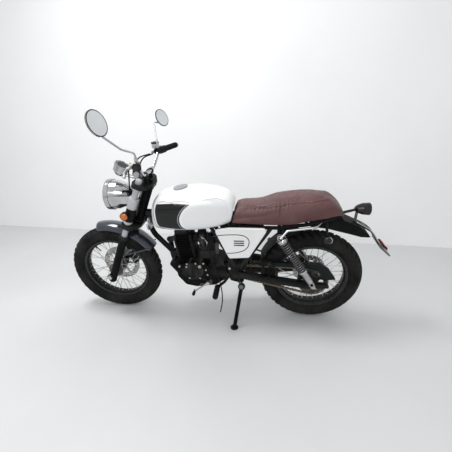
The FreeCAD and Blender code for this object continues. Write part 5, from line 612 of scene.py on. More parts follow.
@dataclass
class Tyre:
    """A tyre with its tread blocks and its side ribs."""

    name: str
    node: str
    body: str
    axle: Vector
    radius: float
    half_width: float
    rim_half_width: float
    block_count: int = 42
    crown: float = 0.066
    groove: float = 0.0065
    wall: float = 0.010
    foot: float = 0.2163
    lip: float = 0.2273
    shoulder_share: float = 0.76
    side_share: float = 0.52
    facets: int = 168

    @property
    def edge(self) -> float:
        """Gives the crown angle of the shoulder."""
        return asin(self.shoulder_share * self.half_width / self.crown)

    def crown_point(self, angle: float, sink: float) -> Flat:
        """Places a point of the crown arc by its angle: across the wheel, and its radius."""
        reach = self.crown - sink
        return sin(angle) * reach, self.radius - self.crown + cos(angle) * reach

    def placed(self, spin: float, across: float, radius: float) -> Vector:
        """Puts a section point at a turn of the wheel."""
        return self.axle + Vector((cos(spin) * radius, across, sin(spin) * radius))

    def section(self) -> list[Flat]:
        """Draws the carcass outline, from the left bead over the crown to the right one.

        Returns:
            Places across the wheel with their radii.
        """
        edge = self.edge
        shoulder_y, shoulder_r = self.crown_point(edge, 0.0)
        bead = self.rim_half_width - 0.004
        side = [(bead, self.foot), (bead, self.lip)]
        for step in range(1, 12):
            share = step / 12
            bulge = sin(pi * share) ** 0.8
            y = bead + (shoulder_y - bead) * share
            peak = self.half_width - (bead + (shoulder_y - bead) * self.side_share)
            r = self.lip + (shoulder_r - self.lip) * share
            rib = 0.0011 if step in (2, 3, 9) else 0.0
            side.append((min(y + peak * bulge + rib - 0.0012, self.half_width), r))
        crest = []
        for step in range(17):
            angle = edge * (1 - step / 8)
            deep = self.groove * min(1.0, 1.6 * (1 - abs(angle) / edge) + 0.35)
            crest.append(self.crown_point(angle, deep))
        return side + crest + [(-y, r) for y, r in reversed(side)]

    def block(self, form: Form, spin: float, spans: tuple[Flat, Flat, Flat, Flat]) -> None:
        """Raises one tread block.

        Args:
            form: The mesh that it joins.
            spin: The turn of the wheel where the pattern repeats.
            spans: Its corners as turn and crown angle.
        """
        rows = []
        steps = 4
        middle_t, middle_a = (sum(places) / 4 for places in zip(*spans))
        for sink, shrink in ((self.groove + 0.002, 1.0), (0.0012, 0.97), (0.0002, 0.88)):
            grown = [(middle_t + (t - middle_t) * shrink, middle_a + (a - middle_a) * shrink) for t, a in spans]
            loop = []
            for first, last in ((0, 1), (2, 3)):
                for step in range(steps + 1):
                    turn, angle = (a + (b - a) * (step / steps) for a, b in zip(grown[first], grown[last]))
                    loop.append(self.placed(spin + turn, *self.crown_point(angle, sink)))
            rows.append(form.ring(loop))
        form.bridge(rows[0], rows[1])
        form.bridge(rows[1], rows[2])
        top = rows[2]
        for step in range(steps):
            form.face((top[step], top[step + 1], top[2 * steps - step], top[2 * steps + 1 - step]))

    def build(self) -> None:
        """Builds the tyre over its node."""
        form = Form()
        outline = self.section()
        inner = [(y * 0.8, r - self.wall if r > self.lip + 0.02 else r) for y, r in reversed(outline[1:-1])]
        rings = [form.ring([self.placed(tau * step / self.facets, y, r) for y, r in outline + inner])
                 for step in range(self.facets)]
        form.tube(rings, closed=True)
        edge = self.edge
        pitch = tau / self.block_count
        for index in range(self.block_count):
            spin = pitch * index
            for flank in (1, -1):
                start = spin if flank > 0 else spin + pitch / 2
                reach = 1.15 if index % 2 else 1.22
                self.block(form, start, (
                    (0.02 * pitch, flank * edge * 0.52), (0.34 * pitch, flank * edge * reach),
                    (0.92 * pitch, flank * edge * (reach - 0.03)), (0.66 * pitch, flank * edge * 0.50)))
                self.block(form, start, (
                    (-0.34 * pitch, flank * edge * 0.05), (-0.02 * pitch, flank * edge * 0.44),
                    (0.62 * pitch, flank * edge * 0.42), (0.30 * pitch, flank * edge * 0.05)))
        form.piece(self.name, self.body, [TYRE_RUBBER], replaces=[self.node], crease=28.0)


@dataclass
class Wheel:
    """A wire wheel: its tyre, the spoke nipples, the valve and the hub's finishes."""

    name: str
    body: str
    axle: Vector
    tyre: Tyre
    spoke_count: int = 36
    rim_inner: float = 0.205
    hub_reach: float = 0.0505
    flange_y: float = 0.034
    valve_turn: float = 0.9

    def build(self) -> None:
        """Builds the tyre and the small parts, and dresses the rim, the hub and the disc."""
        self.tyre.build()
        self.nipples()
        dress(f"{self.name}_rim", RIM_BLACK)
        for part, finish in (("hub", SPOKE_STEEL), ("brake_disc", DISC_STEEL)):
            dress(f"{self.name}_{part}", finish, [
                (HUB_ALLOY, lambda at: hypot(at.x - self.axle.x, at.z - self.axle.z) < self.hub_reach)])

    def nipples(self) -> None:
        """Builds the spoke nipples and the valve inside the rim."""
        form = Form()
        for index in range(self.spoke_count):
            flank = 1 if index % 2 else -1
            out = outward(tau * index / self.spoke_count)
            seat = self.axle + out * (self.rim_inner + 0.0008) + SIDE * (flank * 0.0038)
            form.turn([(0.0, 0.0038), (0.004, 0.0034), (0.015, 0.0030), (0.016, 0.0)], seat,
                      self.axle + SIDE * (flank * self.flange_y) - seat, 8)
        out = outward(self.valve_turn)
        form.turn([(0.0, 0.0042), (0.012, 0.0042), (0.013, 0.0032), (0.034, 0.0032), (0.035, 0.0040),
                   (0.043, 0.0040), (0.044, 0.0)], self.axle + out * self.rim_inner, -out, 14, 1)
        form.piece(f"{self.name}_nipples", self.body, [SPOKE_STEEL, BLACK_RUBBER])


@dataclass
class DriveChain:
    """The roller chain round both sprockets."""

    centre_y: float = 0.075
    rear_radius: float = 0.096
    front: Vector = fixed(0.572, 0.0, 0.388)
    front_radius: float = 0.032
    link_count: int = 102
    plate_end: float = 0.0050
    waist: float = 0.0036
    plate_y: Flat = (0.0062, 0.0044)
    plate_thick: float = 0.0015
    roller: tuple[float, float, int] = (0.0044, 0.0042, 12)
    pin: tuple[float, float, int] = (0.0079, 0.0022, 10)

    def loop(self) -> tuple[float, float, float, float]:
        """Measures the chain's line.

        Returns:
            The turns where its upper and lower runs leave the sprockets, a run's length, and the whole length.
        """
        span = self.front - REAR_AXLE
        tilt = atan2(span.z, span.x)
        step = self.rear_radius - self.front_radius
        spread = pi / 2 - asin(step / span.length)
        run = sqrt(span.length ** 2 - step ** 2)
        return tilt + spread, tilt - spread, run, (
            2 * run + 2 * spread * self.front_radius + (tau - 2 * spread) * self.rear_radius)

    def path(self, distance: float) -> Vector:
        """Finds a place on the chain's line.

        Args:
            distance: Metres along the loop from where the top run leaves the rear sprocket.

        Returns:
            The point.
        """
        high, low, run, total = self.loop()
        distance %= total
        rear, front = (Vector((hub.x, self.centre_y, hub.z)) for hub in (REAR_AXLE, self.front))
        for hub, radius, turn, length, straight in (
                (rear, self.rear_radius, high, run, True),
                (front, self.front_radius, high, (high - low) * self.front_radius, False),
                (front, self.front_radius, low, run, True), (rear, self.rear_radius, low, inf, False)):
            if distance < length:
                break
            distance -= length
        out = outward(turn if straight else turn - distance / radius)
        return hub + out * radius + Vector((out.z, 0.0, -out.x)) * (distance if straight else 0.0)

    def build(self) -> None:
        """Builds plates, rollers and pins link by link."""
        form = Form()
        pitch = self.loop()[3] / self.link_count
        for index in range(self.link_count):
            here, there = self.path(pitch * index), self.path(pitch * (index + 1))
            way = (there - here).normalized()
            over = SIDE.cross(way)
            corners = []
            for centre, back, waist in ((here, 180.0, -self.waist), (there, 0.0, self.waist)):
                for angle in (-90.0, -50.0, 0.0, 50.0, 90.0):
                    turn = radians(angle + back)
                    corners.append(centre + way * (cos(turn) * self.plate_end) + over * (sin(turn) * self.plate_end))
                corners.append((here + there) / 2 + over * waist)
            for flank in (1, -1):
                inner = SIDE * (flank * self.plate_y[index % 2])
                form.slab([corner + inner for corner in corners], SIDE * (flank * self.plate_thick))
            for half, radius, sides in (self.roller, self.pin):
                form.turn([(-half, radius), (half, radius)], here, SIDE, sides)
        form.piece("drive_chain", "frame", [CHAIN_STEEL], replaces=["chain"])


@dataclass
class ShockAbsorber:
    """The two rear shock absorbers with their springs."""

    head: Vector = fixed(0.214, 0.150, 0.663)
    foot: Vector = fixed(0.014, 0.150, 0.352)
    eye_radius: float = 0.016
    eye_length: float = 0.026
    stud_radius: float = 0.0071
    cup_radius: float = 0.030
    cup_length: float = 0.034
    spring_radius: float = 0.0236
    wire_radius: float = 0.0033
    coils: int = 15
    spring_share: float = 0.60
    body_radius: float = 0.021

    def build(self) -> None:
        """Builds cup, spring, rod, body and eyes, left and right."""
        form = Form()
        axis = (self.foot - self.head).normalized()
        length = (self.foot - self.head).length
        start, end = self.cup_length, self.cup_length + self.spring_share * length
        form.turn([(0.010, 0.012), (0.012, 0.020), (0.016, self.cup_radius - 0.002), (0.019, self.cup_radius),
                   (start - 0.002, self.cup_radius), (start, self.cup_radius - 0.0015), (start, 0.010)],
                  self.head, axis, 40, 0)
        form.turn([(start - 0.004, 0.0085), (end + 0.004, 0.0085)], self.head, axis, 20, 1)
        form.turn([(end, 0.010), (end, self.body_radius + 0.0045), (end + 0.004, self.body_radius + 0.0055),
                   (end + 0.010, self.body_radius + 0.0055), (end + 0.012, self.body_radius),
                   (end + 0.018, self.body_radius), (end + 0.020, self.body_radius - 0.0015),
                   (length - self.eye_radius, self.body_radius * 0.86),
                   (length - self.eye_radius * 0.6, 0.012)], self.head, axis, 36, 2)
        across = axis.orthogonal().normalized()
        other = axis.cross(across)
        steps = 22
        line = []
        for step in range(self.coils * steps + 1):
            share = step / (self.coils * steps)
            turn = tau * step / steps
            line.append(self.head + axis * (start + 0.003 + (end - start - 0.005) * share)
                        + (across * cos(turn) + other * sin(turn)) * self.spring_radius)
        form.sweep(line, self.wire_radius, 10, 3)
        for point in (self.head, self.foot):
            half = self.eye_length / 2
            form.turn([(-half, self.stud_radius + 0.003), (-half, self.eye_radius - 0.001),
                       (0.001 - half, self.eye_radius), (half - 0.001, self.eye_radius),
                       (half, self.eye_radius - 0.001), (half, self.stud_radius + 0.003)], point, SIDE, 32, 2, True)
            form.turn([(-half - 0.001, self.stud_radius), (-half - 0.001, self.stud_radius + 0.0029),
                       (half + 0.001, self.stud_radius + 0.0029), (half + 0.001, self.stud_radius)],
                      point, SIDE, 24, 4, True)
        form.mirrored()
        form.piece("spring_shocks", "frame", [CHROME, BLACK_PLASTIC, LEVER_ALLOY, SPRING_STEEL, BLACK_RUBBER],
                   replaces=["shock_absorbers"])


@dataclass
class Seat:
    """The leather seat: a stuffed cover with a puckered seam along each side."""

    shrink: float = 0.006
    voxel: float = 0.006
    cap: float = 0.006
    base_z: float = 0.709
    tail_rise: float = 0.06
    tail_from: float = 0.22
    tail_length: float = 0.36
    held: float = 0.02
    seam: Sequence[Flat] = ((0.431, 0.840), (0.351, 0.815), (0.286, 0.818), (0.221, 0.829), (0.158, 0.844),
                            (0.075, 0.852), (-0.007, 0.860), (-0.059, 0.870))
    cross_x: float = 0.215
    seam_depth: float = 0.0055
    seam_width: float = 0.0055
    pucker_depth: float = 0.0028
    pucker_width: float = 0.020
    pucker_pitch: float = 0.023
    cross_depth: float = 0.0035
    cross_width: float = 0.005
    gather_scale: Vector = fixed(75.0, 10.0, 12.0)
    sag: float = 0.0012
    sag_scale: Vector = fixed(14.0, 9.0, 14.0)
    seam_end: float = 0.006
    stitch_pitch: float = 0.0085
    blow_frames: int = 20
    pressure: float = 4.0

    def seam_height(self, x: float) -> float | None:
        """Finds how high the side seam runs.

        Args:
            x: The place along the seat.

        Returns:
            The height, or nothing beyond the seam's ends.
        """
        for (front_x, front_z), (rear_x, rear_z) in zip(self.seam, self.seam[1:]):
            if rear_x <= x <= front_x:
                share = (front_x - x) / (front_x - rear_x)
                share = share * share * (3 - 2 * share)
                return front_z + (rear_z - front_z) * share
        return None

    def cover(self) -> bpy.types.Object:
        """Remeshes the seat's solid a little smaller than it is.

        Returns:
            The cover before it is stuffed.
        """
        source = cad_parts["seat"]
        made = added("seat_cushion", source.data.copy())
        even = made.modifiers.new("even", "REMESH")
        even.mode = "VOXEL"
        even.voxel_size = self.voxel
        data = self.settled(made)
        normals = [vertex.normal.copy() for vertex in data.vertices]
        for vertex, normal in zip(data.vertices, normals):
            vertex.co -= normal * self.shrink
        return made

    def settled(self, made: bpy.types.Object) -> bpy.types.Mesh:
        """Turns the result of an object's modifiers into its own mesh.

        Args:
            made: The object.

        Returns:
            Its new mesh.
        """
        data = bpy.data.meshes.new_from_object(made.evaluated_get(bpy.context.evaluated_depsgraph_get()))
        made.modifiers.clear()
        made.data = data
        return data

    def stuff(self, made: bpy.types.Object) -> None:
        """Blows the cover up from inside and caps how far it moves.

        Args:
            made: The cover.
        """
        rest = [vertex.co.copy() for vertex in made.data.vertices]
        held = made.vertex_groups.new(name="held")
        floor = [index for index, co in enumerate(rest) if (LEVEL @ co).z < self.floor_at(LEVEL @ co) + self.held]
        held.add(floor, 1.0, "REPLACE")
        cloth = made.modifiers.new("stuffing", "CLOTH")
        cloth.settings.vertex_group_mass = "held"
        cloth.settings.use_pressure = True
        cloth.settings.uniform_pressure_force = self.pressure
        cloth.settings.effector_weights.gravity = 0.0
        cloth.settings.quality = 4
        cloth.point_cache.frame_end = self.blow_frames
        for step in range(1, self.blow_frames + 1):
            bpy.context.scene.frame_set(step)
        graph = bpy.context.evaluated_depsgraph_get()
        blown = made.evaluated_get(graph).to_mesh()
        moved = [vertex.co.copy() for vertex in blown.vertices]
        made.evaluated_get(graph).to_mesh_clear()
        made.modifiers.clear()
        made.vertex_groups.clear()
        bpy.context.scene.frame_set(1)
        for vertex, start, end in zip(made.data.vertices, rest, moved):
            shift = end - start
            if shift.length > self.cap:
                shift = shift.normalized() * self.cap
            vertex.co = start + shift

    def floor_at(self, point: Vector) -> float:
        """Gives the height of the seat's underside near a point."""
        return self.base_z + max(0.0, self.tail_rise * (self.tail_from - point.x) / self.tail_length)

    def sew(self, made: bpy.types.Object) -> None:
        """Pulls the seams in and puckers the leather beside them.

        Args:
            made: The stuffed cover, already subdivided.
        """
        turn = LEVEL.to_3x3()
        back = UPRIGHT.to_3x3()
        moves = []
        for vertex in made.data.vertices:
            at, normal = LEVEL @ vertex.co, turn @ vertex.normal
            height = self.seam_height(at.x)
            pull = 0.0
            if height is not None and abs(at.y) > 0.075:
                gap = at.z - height
                near = exp(-(gap / self.seam_width) ** 2)
                wide = exp(-(gap / self.pucker_width) ** 2)
                gather = 0.5 + 0.5 * noise.noise(at * self.gather_scale)
                ripple = sin(at.x * tau / self.pucker_pitch + 3.0 * noise.noise(Vector((at.x * 30.0, 0.0, 0.0))))
                front = 1.0 if at.x > 0.16 else 0.35
                pull += self.seam_depth * near * (0.8 + 0.4 * gather)
                pull += self.pucker_depth * wide * front * ripple * gather
                if at.z < height:
                    fade = min(1.0, -gap / 0.01) * min(1.0, max(0.0, (at.z - 0.745) / 0.03))
                    pull += self.cross_depth * exp(-((at.x - self.cross_x) / self.cross_width) ** 2) * fade
            pull += self.sag * noise.noise(at * self.sag_scale)
            moves.append(back @ (normal * -pull))
        for vertex, move in zip(made.data.vertices, moves):
            vertex.co += move

    def stitches(self, made: bpy.types.Object) -> None:
        """Lays a pale stitch row above each side seam: real stitching, made pale as a painted highlight along the
        puckers.

        Args:
            made: The finished cushion.
        """
        tree = BVHTree.FromObject(made, bpy.context.evaluated_depsgraph_get())
        back = UPRIGHT.to_3x3()
        form = Form()
        for flank in (1, -1):
            x = self.seam[0][0] - self.seam_end
            while x > self.seam[-1][0] + self.seam_end:
                line = []
                for shift in (0.0022, 0.0, -0.0022):
                    level = self.seam_height(x + shift) + 0.0052
                    start = UPRIGHT @ Vector((x + shift, flank * 0.2, level))
                    hit, _, _, _ = tree.ray_cast(start, back @ (SIDE * -flank))
                    if hit is not None:
                        line.append(LEVEL @ hit + SIDE * (flank * (0.0002 if shift else 0.0007)))
                if len(line) == 3:
                    form.sweep(line, [0.0004, 0.0006, 0.0004], 6)
                x -= self.stitch_pitch
        form.piece("seat_stitching_and_painted_highlight", "frame", [THREAD_AND_HIGHLIGHT])

    def build(self) -> None:
        """Makes the cushion and its stitching."""
        made = self.cover()
        self.stuff(made)
        finer = made.modifiers.new("finer", "SUBSURF")
        finer.levels = 1
        finer.render_levels = 1
        self.settled(made)
        self.sew(made)
        made.data.materials.clear()
        made.data.materials.append(LEATHER.material())
        for face in made.data.polygons:
            face.use_smooth = True
            face.material_index = 0
        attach(made, "frame")
        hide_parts("seat")
        LOG.info("seat_cushion: %d faces", len(made.data.polygons))
        self.stitches(made)


class Drape:
    """Lays thin trim on the skin of a node, seen from the side."""

    BESIDE = 0.4
    NEAR = 0.12

    def __init__(self, node: str) -> None:
        """Reads the node's skin.

        Args:
            node: The node's name.
        """
        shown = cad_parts[node]
        level = shown.data.copy()
        level.transform(LEVEL)
        self.tree = BVHTree.FromPolygons([vertex.co.copy() for vertex in level.vertices],
                                         [list(face.vertices) for face in level.polygons])
        bpy.data.meshes.remove(level)

    def on(self, x: float, z: float, flank: int, lift: float) -> Vector:
        """Finds the skin beside a point and lifts it a little.

        Args:
            x: How far forward.
            z: How high.
            flank: 1 for the left side, -1 for the right.
            lift: How far above the skin.

        Returns:
            The lifted point.
        """
        hit, normal, _, _ = self.tree.ray_cast(Vector((x, flank * self.BESIDE, z)), Vector((0.0, -flank, 0.0)))
        if hit is None:
            hit, normal, _, _ = self.tree.find_nearest(Vector((x, flank * self.NEAR, z)))
        if normal.y * flank < 0:
            normal = -normal
        return hit + normal * lift

    def band(self, form: Form, line: Sequence[Flat], width: float, flank: int, lift: float, finish: int,
             closed: bool = False, taper: bool = False) -> None:
        """Lays a narrow stripe along a line.

        Args:
            form: The mesh that it joins.
            line: The stripe's middle, as x and z.
            width: Its width.
            flank: The side of the machine.
            lift: How far it stands above the skin.
            finish: The index of the finish.
            closed: Whether the line is a loop.
            taper: Whether both ends run out to a point.
        """
        middle = traced(line, 8, closed)
        count = len(middle)
        rows = []
        for index, point in enumerate(middle):
            before = middle[index - 1] if index or closed else point
            after = middle[(index + 1) % count] if index < count - 1 or closed else point
            way = (after - before).normalized()
            edge = Vector((-way.z, 0.0, way.x)) * (width / 2)
            if taper:
                edge *= max(0.06, sin(pi * index / (count - 1)))
            row = []
            for share, rise in ((-1.0, -lift), (-1.0, lift * 0.6), (-0.6, lift), (0.6, lift), (1.0, lift * 0.6),
                                (1.0, -lift)):
                at = point + edge * share
                row.append(self.on(at.x, at.z, flank, rise))
            rows.append(form.ring(row))
        form.tube(rows, finish, closed)

    def field(self, form: Form, lines: tuple[Sequence[Flat], Sequence[Flat]], swell: Flat, flank: int,
              finish: int, rows: int = 26) -> None:
        """Lays a filled field between a front line and a rear line.

        Args:
            form: The mesh that it joins.
            lines: Its front and its rear edge, each from the top down, with as many points.
            swell: How far its upper edge rises and its lower edge drops midway.
            flank: The side of the machine.
            finish: The index of the finish.
            rows: Strips between the lines.
        """
        ahead, behind = (traced(line, 4) for line in lines)
        skins = []
        for rise in (0.0006, -0.0006):
            grid = []
            for row in range(rows + 1):
                share = row / rows
                line = []
                for index, (near, far) in enumerate(zip(ahead, behind)):
                    point = near.lerp(far, share)
                    level = 1.0 - 2.0 * index / (len(ahead) - 1)
                    push = sin(pi * share) * (swell[0] * max(level, 0.0) + swell[1] * min(level, 0.0))
                    line.append(self.on(point.x, point.z + push, flank, rise))
                grid.append(form.ring(line))
            skins.append(grid)
        self.shut(form, skins, finish)

    def shut(self, form: Form, skins: Sequence[Sequence[Verts]], finish: int) -> None:
        """Fills an upper and a lower skin and joins their edges.

        Args:
            form: The mesh that they join.
            skins: Both skins, as rows of points.
            finish: The index of the finish.
        """
        top, under = skins
        for rows in skins:
            for first, second in zip(rows, rows[1:]):
                form.bridge(first, second, finish, False)
        for upper, lower in ((top[0], under[0]), (top[-1], under[-1]),
                             ([row[0] for row in top], [row[0] for row in under]),
                             ([row[-1] for row in top], [row[-1] for row in under])):
            form.bridge(upper, lower, finish, False)

    def bolt(self, form: Form, x: float, z: float, flank: int, size: float, finish: int) -> None:
        """Screws a hexagon bolt with its washer onto the skin.

        Args:
            form: The mesh that it joins.
            x: How far forward.
            z: How high.
            flank: The side of the machine.
            size: The washer's radius.
            finish: The index of the finish.
        """
        seat = self.on(x, z, flank, 0.0)
        out = SIDE * flank
        form.turn([(-0.001, 0.0), (-0.001, size), (0.0012, size), (0.0016, size * 0.92), (0.0016, 0.0)], seat, out,
                  20, finish)
        form.turn([(0.001, 0.0), (0.001, size * 0.74), (size * 0.72, size * 0.74), (size * 0.8, size * 0.62),
                   (size * 0.8, 0.0)], seat, out, 6, finish)

    def patch(self, form: Form, top: Sequence[Flat], bottom: Sequence[Flat], flank: int, lift: float,
              finish: int, rows: int = 18) -> None:
        """Lays a filled panel between two edges.

        Args:
            form: The mesh that it joins.
            top: The upper edge from front to rear.
            bottom: The lower edge with as many points.
            flank: The side of the machine.
            lift: How far it stands above the skin.
            finish: The index of the finish.
            rows: Strips between the edges.
        """
        high, low = traced(top, 6), traced(bottom, 6)
        self.shut(form, [[form.ring([self.on(*(a.lerp(b, row / rows)).xz, flank, rise) for a, b in zip(high, low)])
                          for row in range(rows + 1)] for rise in (lift, -lift)], finish)


@dataclass
class Tank:
    """The fuel tank's paint: side panel, pinstripes and the filler cap, with painted shade on the knee area and along
    its crease, and painted highlights along the panel's top edge.
    """

    rear_arc: Sequence[Flat] = ((0.722, 0.848), (0.757, 0.820), (0.779, 0.786), (0.788, 0.758), (0.785, 0.730),
                                (0.775, 0.708), (0.757, 0.691))
    nose: Sequence[Flat] = ((0.921, 0.838), (0.929, 0.815), (0.932, 0.785), (0.932, 0.755), (0.929, 0.728),
                            (0.920, 0.708), (0.905, 0.699))
    front_edge: Sequence[Flat] = ((0.922, 0.872), (0.938, 0.845), (0.945, 0.800), (0.944, 0.755), (0.938, 0.716),
                                  (0.922, 0.696), (0.890, 0.686))
    low_edge: Sequence[Flat] = ((0.925, 0.706), (0.900, 0.694), (0.860, 0.689), (0.800, 0.6875), (0.750, 0.687))
    # Painted highlights: thin crescents along the top edge of the black panel.
    painted_highlights: Sequence[Sequence[Flat]] = (((0.918, 0.843), (0.880, 0.855), (0.835, 0.854), (0.795, 0.843)),
                                           ((0.835, 0.856), (0.790, 0.861), (0.750, 0.862), (0.715, 0.858)))
    # Painted shade: the greyer knee field between these edges, and a grey line along its upper crease.
    knee_shade_front: Sequence[Flat] = ((0.708, 0.838), (0.740, 0.815), (0.760, 0.784), (0.769, 0.758), (0.767, 0.732),
                                  (0.757, 0.712), (0.741, 0.698))
    knee_shade_rear: Sequence[Flat] = ((0.516, 0.850), (0.511, 0.835), (0.508, 0.812), (0.508, 0.786), (0.511, 0.760),
                                 (0.517, 0.738), (0.526, 0.722))
    knee_shade_line: Sequence[Flat] = ((0.712, 0.840), (0.680, 0.858), (0.640, 0.869), (0.576, 0.872), (0.535, 0.860),
                                 (0.514, 0.852))

    def build(self) -> None:
        """Paints the tank and lays its trim on both sides."""
        dress("fuel_tank", TANK_WHITE)
        dress("tank_cap", CAP_GREY)
        skin = Drape("fuel_tank")
        form = Form()
        for flank in (1, -1):
            skin.field(form, (self.nose, self.rear_arc), (0.006, 0.0012), flank, 0)
            # Painted shade over the knee recess, and a painted shade line along its crease.
            skin.field(form, (self.knee_shade_front, self.knee_shade_rear), (0.026, 0.004), flank, 3)
            skin.band(form, self.knee_shade_line, 0.0016, flank, 0.0008, 2, taper=True)
            skin.band(form, self.rear_arc, 0.0028, flank, 0.0009, 1)
            skin.band(form, [(x + 0.0085, z) for x, z in self.rear_arc], 0.0034, flank, 0.0011, 2)
            skin.band(form, self.front_edge, 0.0028, flank, 0.0009, 1)
            skin.band(form, self.low_edge, 0.0034, flank, 0.0010, 2)
            # Painted highlights along the panel's top edge.
            for painted_highlight in self.painted_highlights:
                skin.band(form, painted_highlight, 0.0040, flank, 0.0011, 2, taper=True)
        form.piece("tank_trim", "frame", [PANEL_BLACK, STRIPE_DARK, SILVER_STRIPE_AND_PAINTED_LIGHT, KNEE_SHADE_WHITE])


@dataclass
class SideCover:
    """The side covers' dark line and the dark behind their slots."""

    line: Sequence[Flat] = ((0.575, 0.654), (0.540, 0.660), (0.500, 0.663), (0.452, 0.664), (0.415, 0.657),
                            (0.392, 0.637), (0.388, 0.611), (0.397, 0.583), (0.420, 0.560), (0.455, 0.546),
                            (0.490, 0.540), (0.518, 0.538))
    slot_x: float = 0.447
    slot_half: float = 0.0300
    slot_half_height: float = 0.0036
    slot_levels: Sequence[float] = (0.595, 0.609, 0.623)

    def build(self) -> None:
        """Dresses the covers and lays their lines."""
        dress("side_covers", COVER_WHITE)
        skin = Drape("side_covers")
        form = Form()
        for flank in (1, -1):
            skin.band(form, self.line, 0.0050, flank, 0.0008, 0)
            for level in self.slot_levels:
                ends = [skin.on(self.slot_x + reach, level + 0.0050, flank, 0.0)
                        for reach in (-self.slot_half, self.slot_half)]
                rear, front = (Vector((end.x, end.y + flank * 0.0006, level)) for end in ends)
                high = UP * self.slot_half_height
                form.slab([rear - high, front - high, front + high, rear + high], SIDE * (-flank * 0.003), 1)
        form.piece("side_cover_lines", "frame", [STRIPE_DARK, BLACK_PLASTIC])


@dataclass
class FrontGuard:
    """The short front mudguard: a crowned sheet with rolled edges, on its stays."""

    crown: float = 0.3545
    sheet: float = 0.003
    half_width: float = 0.062
    drop: float = 0.026
    lip: float = 0.316
    from_deg: float = 79.0
    to_deg: float = 148.0
    stay_radius: float = 0.005
    stay_at: float = 0.318
    tip_reach: float = 0.337
    tip_y: float = 0.0625
    leg_y: float = 0.0825
    steps: int = 72

    def profile(self, narrow: float) -> list[Flat]:
        """Draws the sheet's section, its top from left to right and its underside back.

        Args:
            narrow: How much of the full width is left.

        Returns:
            Places across with their radii.
        """
        top = []
        for step in range(25):
            share = 1.0 - step / 12
            top.append((self.half_width * narrow * share, self.crown - self.drop * abs(share) ** 2.4))
        edge = self.half_width * narrow
        low = self.crown - self.drop - (self.crown - self.drop - self.lip) * narrow ** 4
        top = [(edge, low), (edge + 0.0008, low + 0.0015), *top, (-edge - 0.0008, low + 0.0015), (-edge, low)]
        under = [(y * 0.95, min(r - self.sheet * 0.6, r) if abs(y) < edge * 0.99 else r) for y, r in reversed(top)]
        return top + under

    def build(self) -> None:
        """Builds the sheet and its stays over the node."""
        form = Form()
        rings = []
        for step in range(self.steps + 1):
            share = step / self.steps
            near = min(share, 1.0 - share) * self.steps / 5
            narrow = 1.0 if near >= 1.0 else 0.80 + 0.20 * sqrt(max(0.0, 1.0 - (1.0 - near) ** 2))
            out = outward(radians(self.from_deg + (self.to_deg - self.from_deg) * share))
            rings.append(form.ring([FRONT_AXLE + out * radius + SIDE * across
                                    for across, radius in self.profile(narrow)]))
        form.tube(rings)
        for flank in (1, -1):
            spot = fork_point(self.stay_at, FORK_AHEAD, flank * (self.half_width - 0.003))
            leg = fork_point(self.stay_at, FORK_AHEAD, flank * 0.078)
            form.turn([(0.0, 0.0085), ((leg - spot).length, 0.0085)], spot, leg - spot, 20, 0)
            form.turn([(-0.001, 0.0), (-0.001, 0.006), (0.004, 0.006), (0.005, 0.0)], spot, SIDE * flank, 6, 1)
            tip = FRONT_AXLE + outward(radians(self.to_deg - 3.0)) * self.tip_reach + SIDE * (flank * self.tip_y)
            low_leg = fork_point(self.stay_at / 2, FORK_AHEAD, flank * self.leg_y)
            form.sweep([tip, tip.lerp(low_leg, 0.5), low_leg], self.stay_radius, 14, 0)
        form.piece("front_guard_sheet", "steering", [GUARD_BLACK, BOLT_STEEL], replaces=["front_mudguard"])


@dataclass
class ForkRings:
    """The light clamp ring and the dark gaiter at the foot of each fork cover."""

    side: float = 0.095
    ring: Flat = (0.541, 0.609)
    gaiter: Flat = (0.452, 0.541)
    ring_radius: float = 0.0300
    gaiter_radius: float = 0.0276

    def build(self) -> None:
        """Builds rings and gaiters on both legs."""
        form = Form()
        for flank in (1, -1):
            base = fork_point(0.0, FORK_AHEAD, flank * self.side)
            low, high = self.ring
            big = self.ring_radius
            form.turn([(low, 0.0262), (low, big - 0.0012), (low + 0.0012, big), (high - 0.0012, big),
                       (high, big - 0.0012), (high, 0.0262)], base, STEER_UP, 44, 0, True)
            low, high = self.gaiter
            outline = [(low, 0.0262), (low, self.gaiter_radius)]
            for step in range(1, 18):
                place = low + (high - low) * step / 18
                outline.append((place, self.gaiter_radius + (0.0010 if step % 2 else -0.0004)))
            outline += [(high, self.gaiter_radius), (high, 0.0262)]
            form.turn(outline, base, STEER_UP, 44, 1, True)
        form.piece("fork_rings", "steering", [FORK_GREY, BLACK_RUBBER])


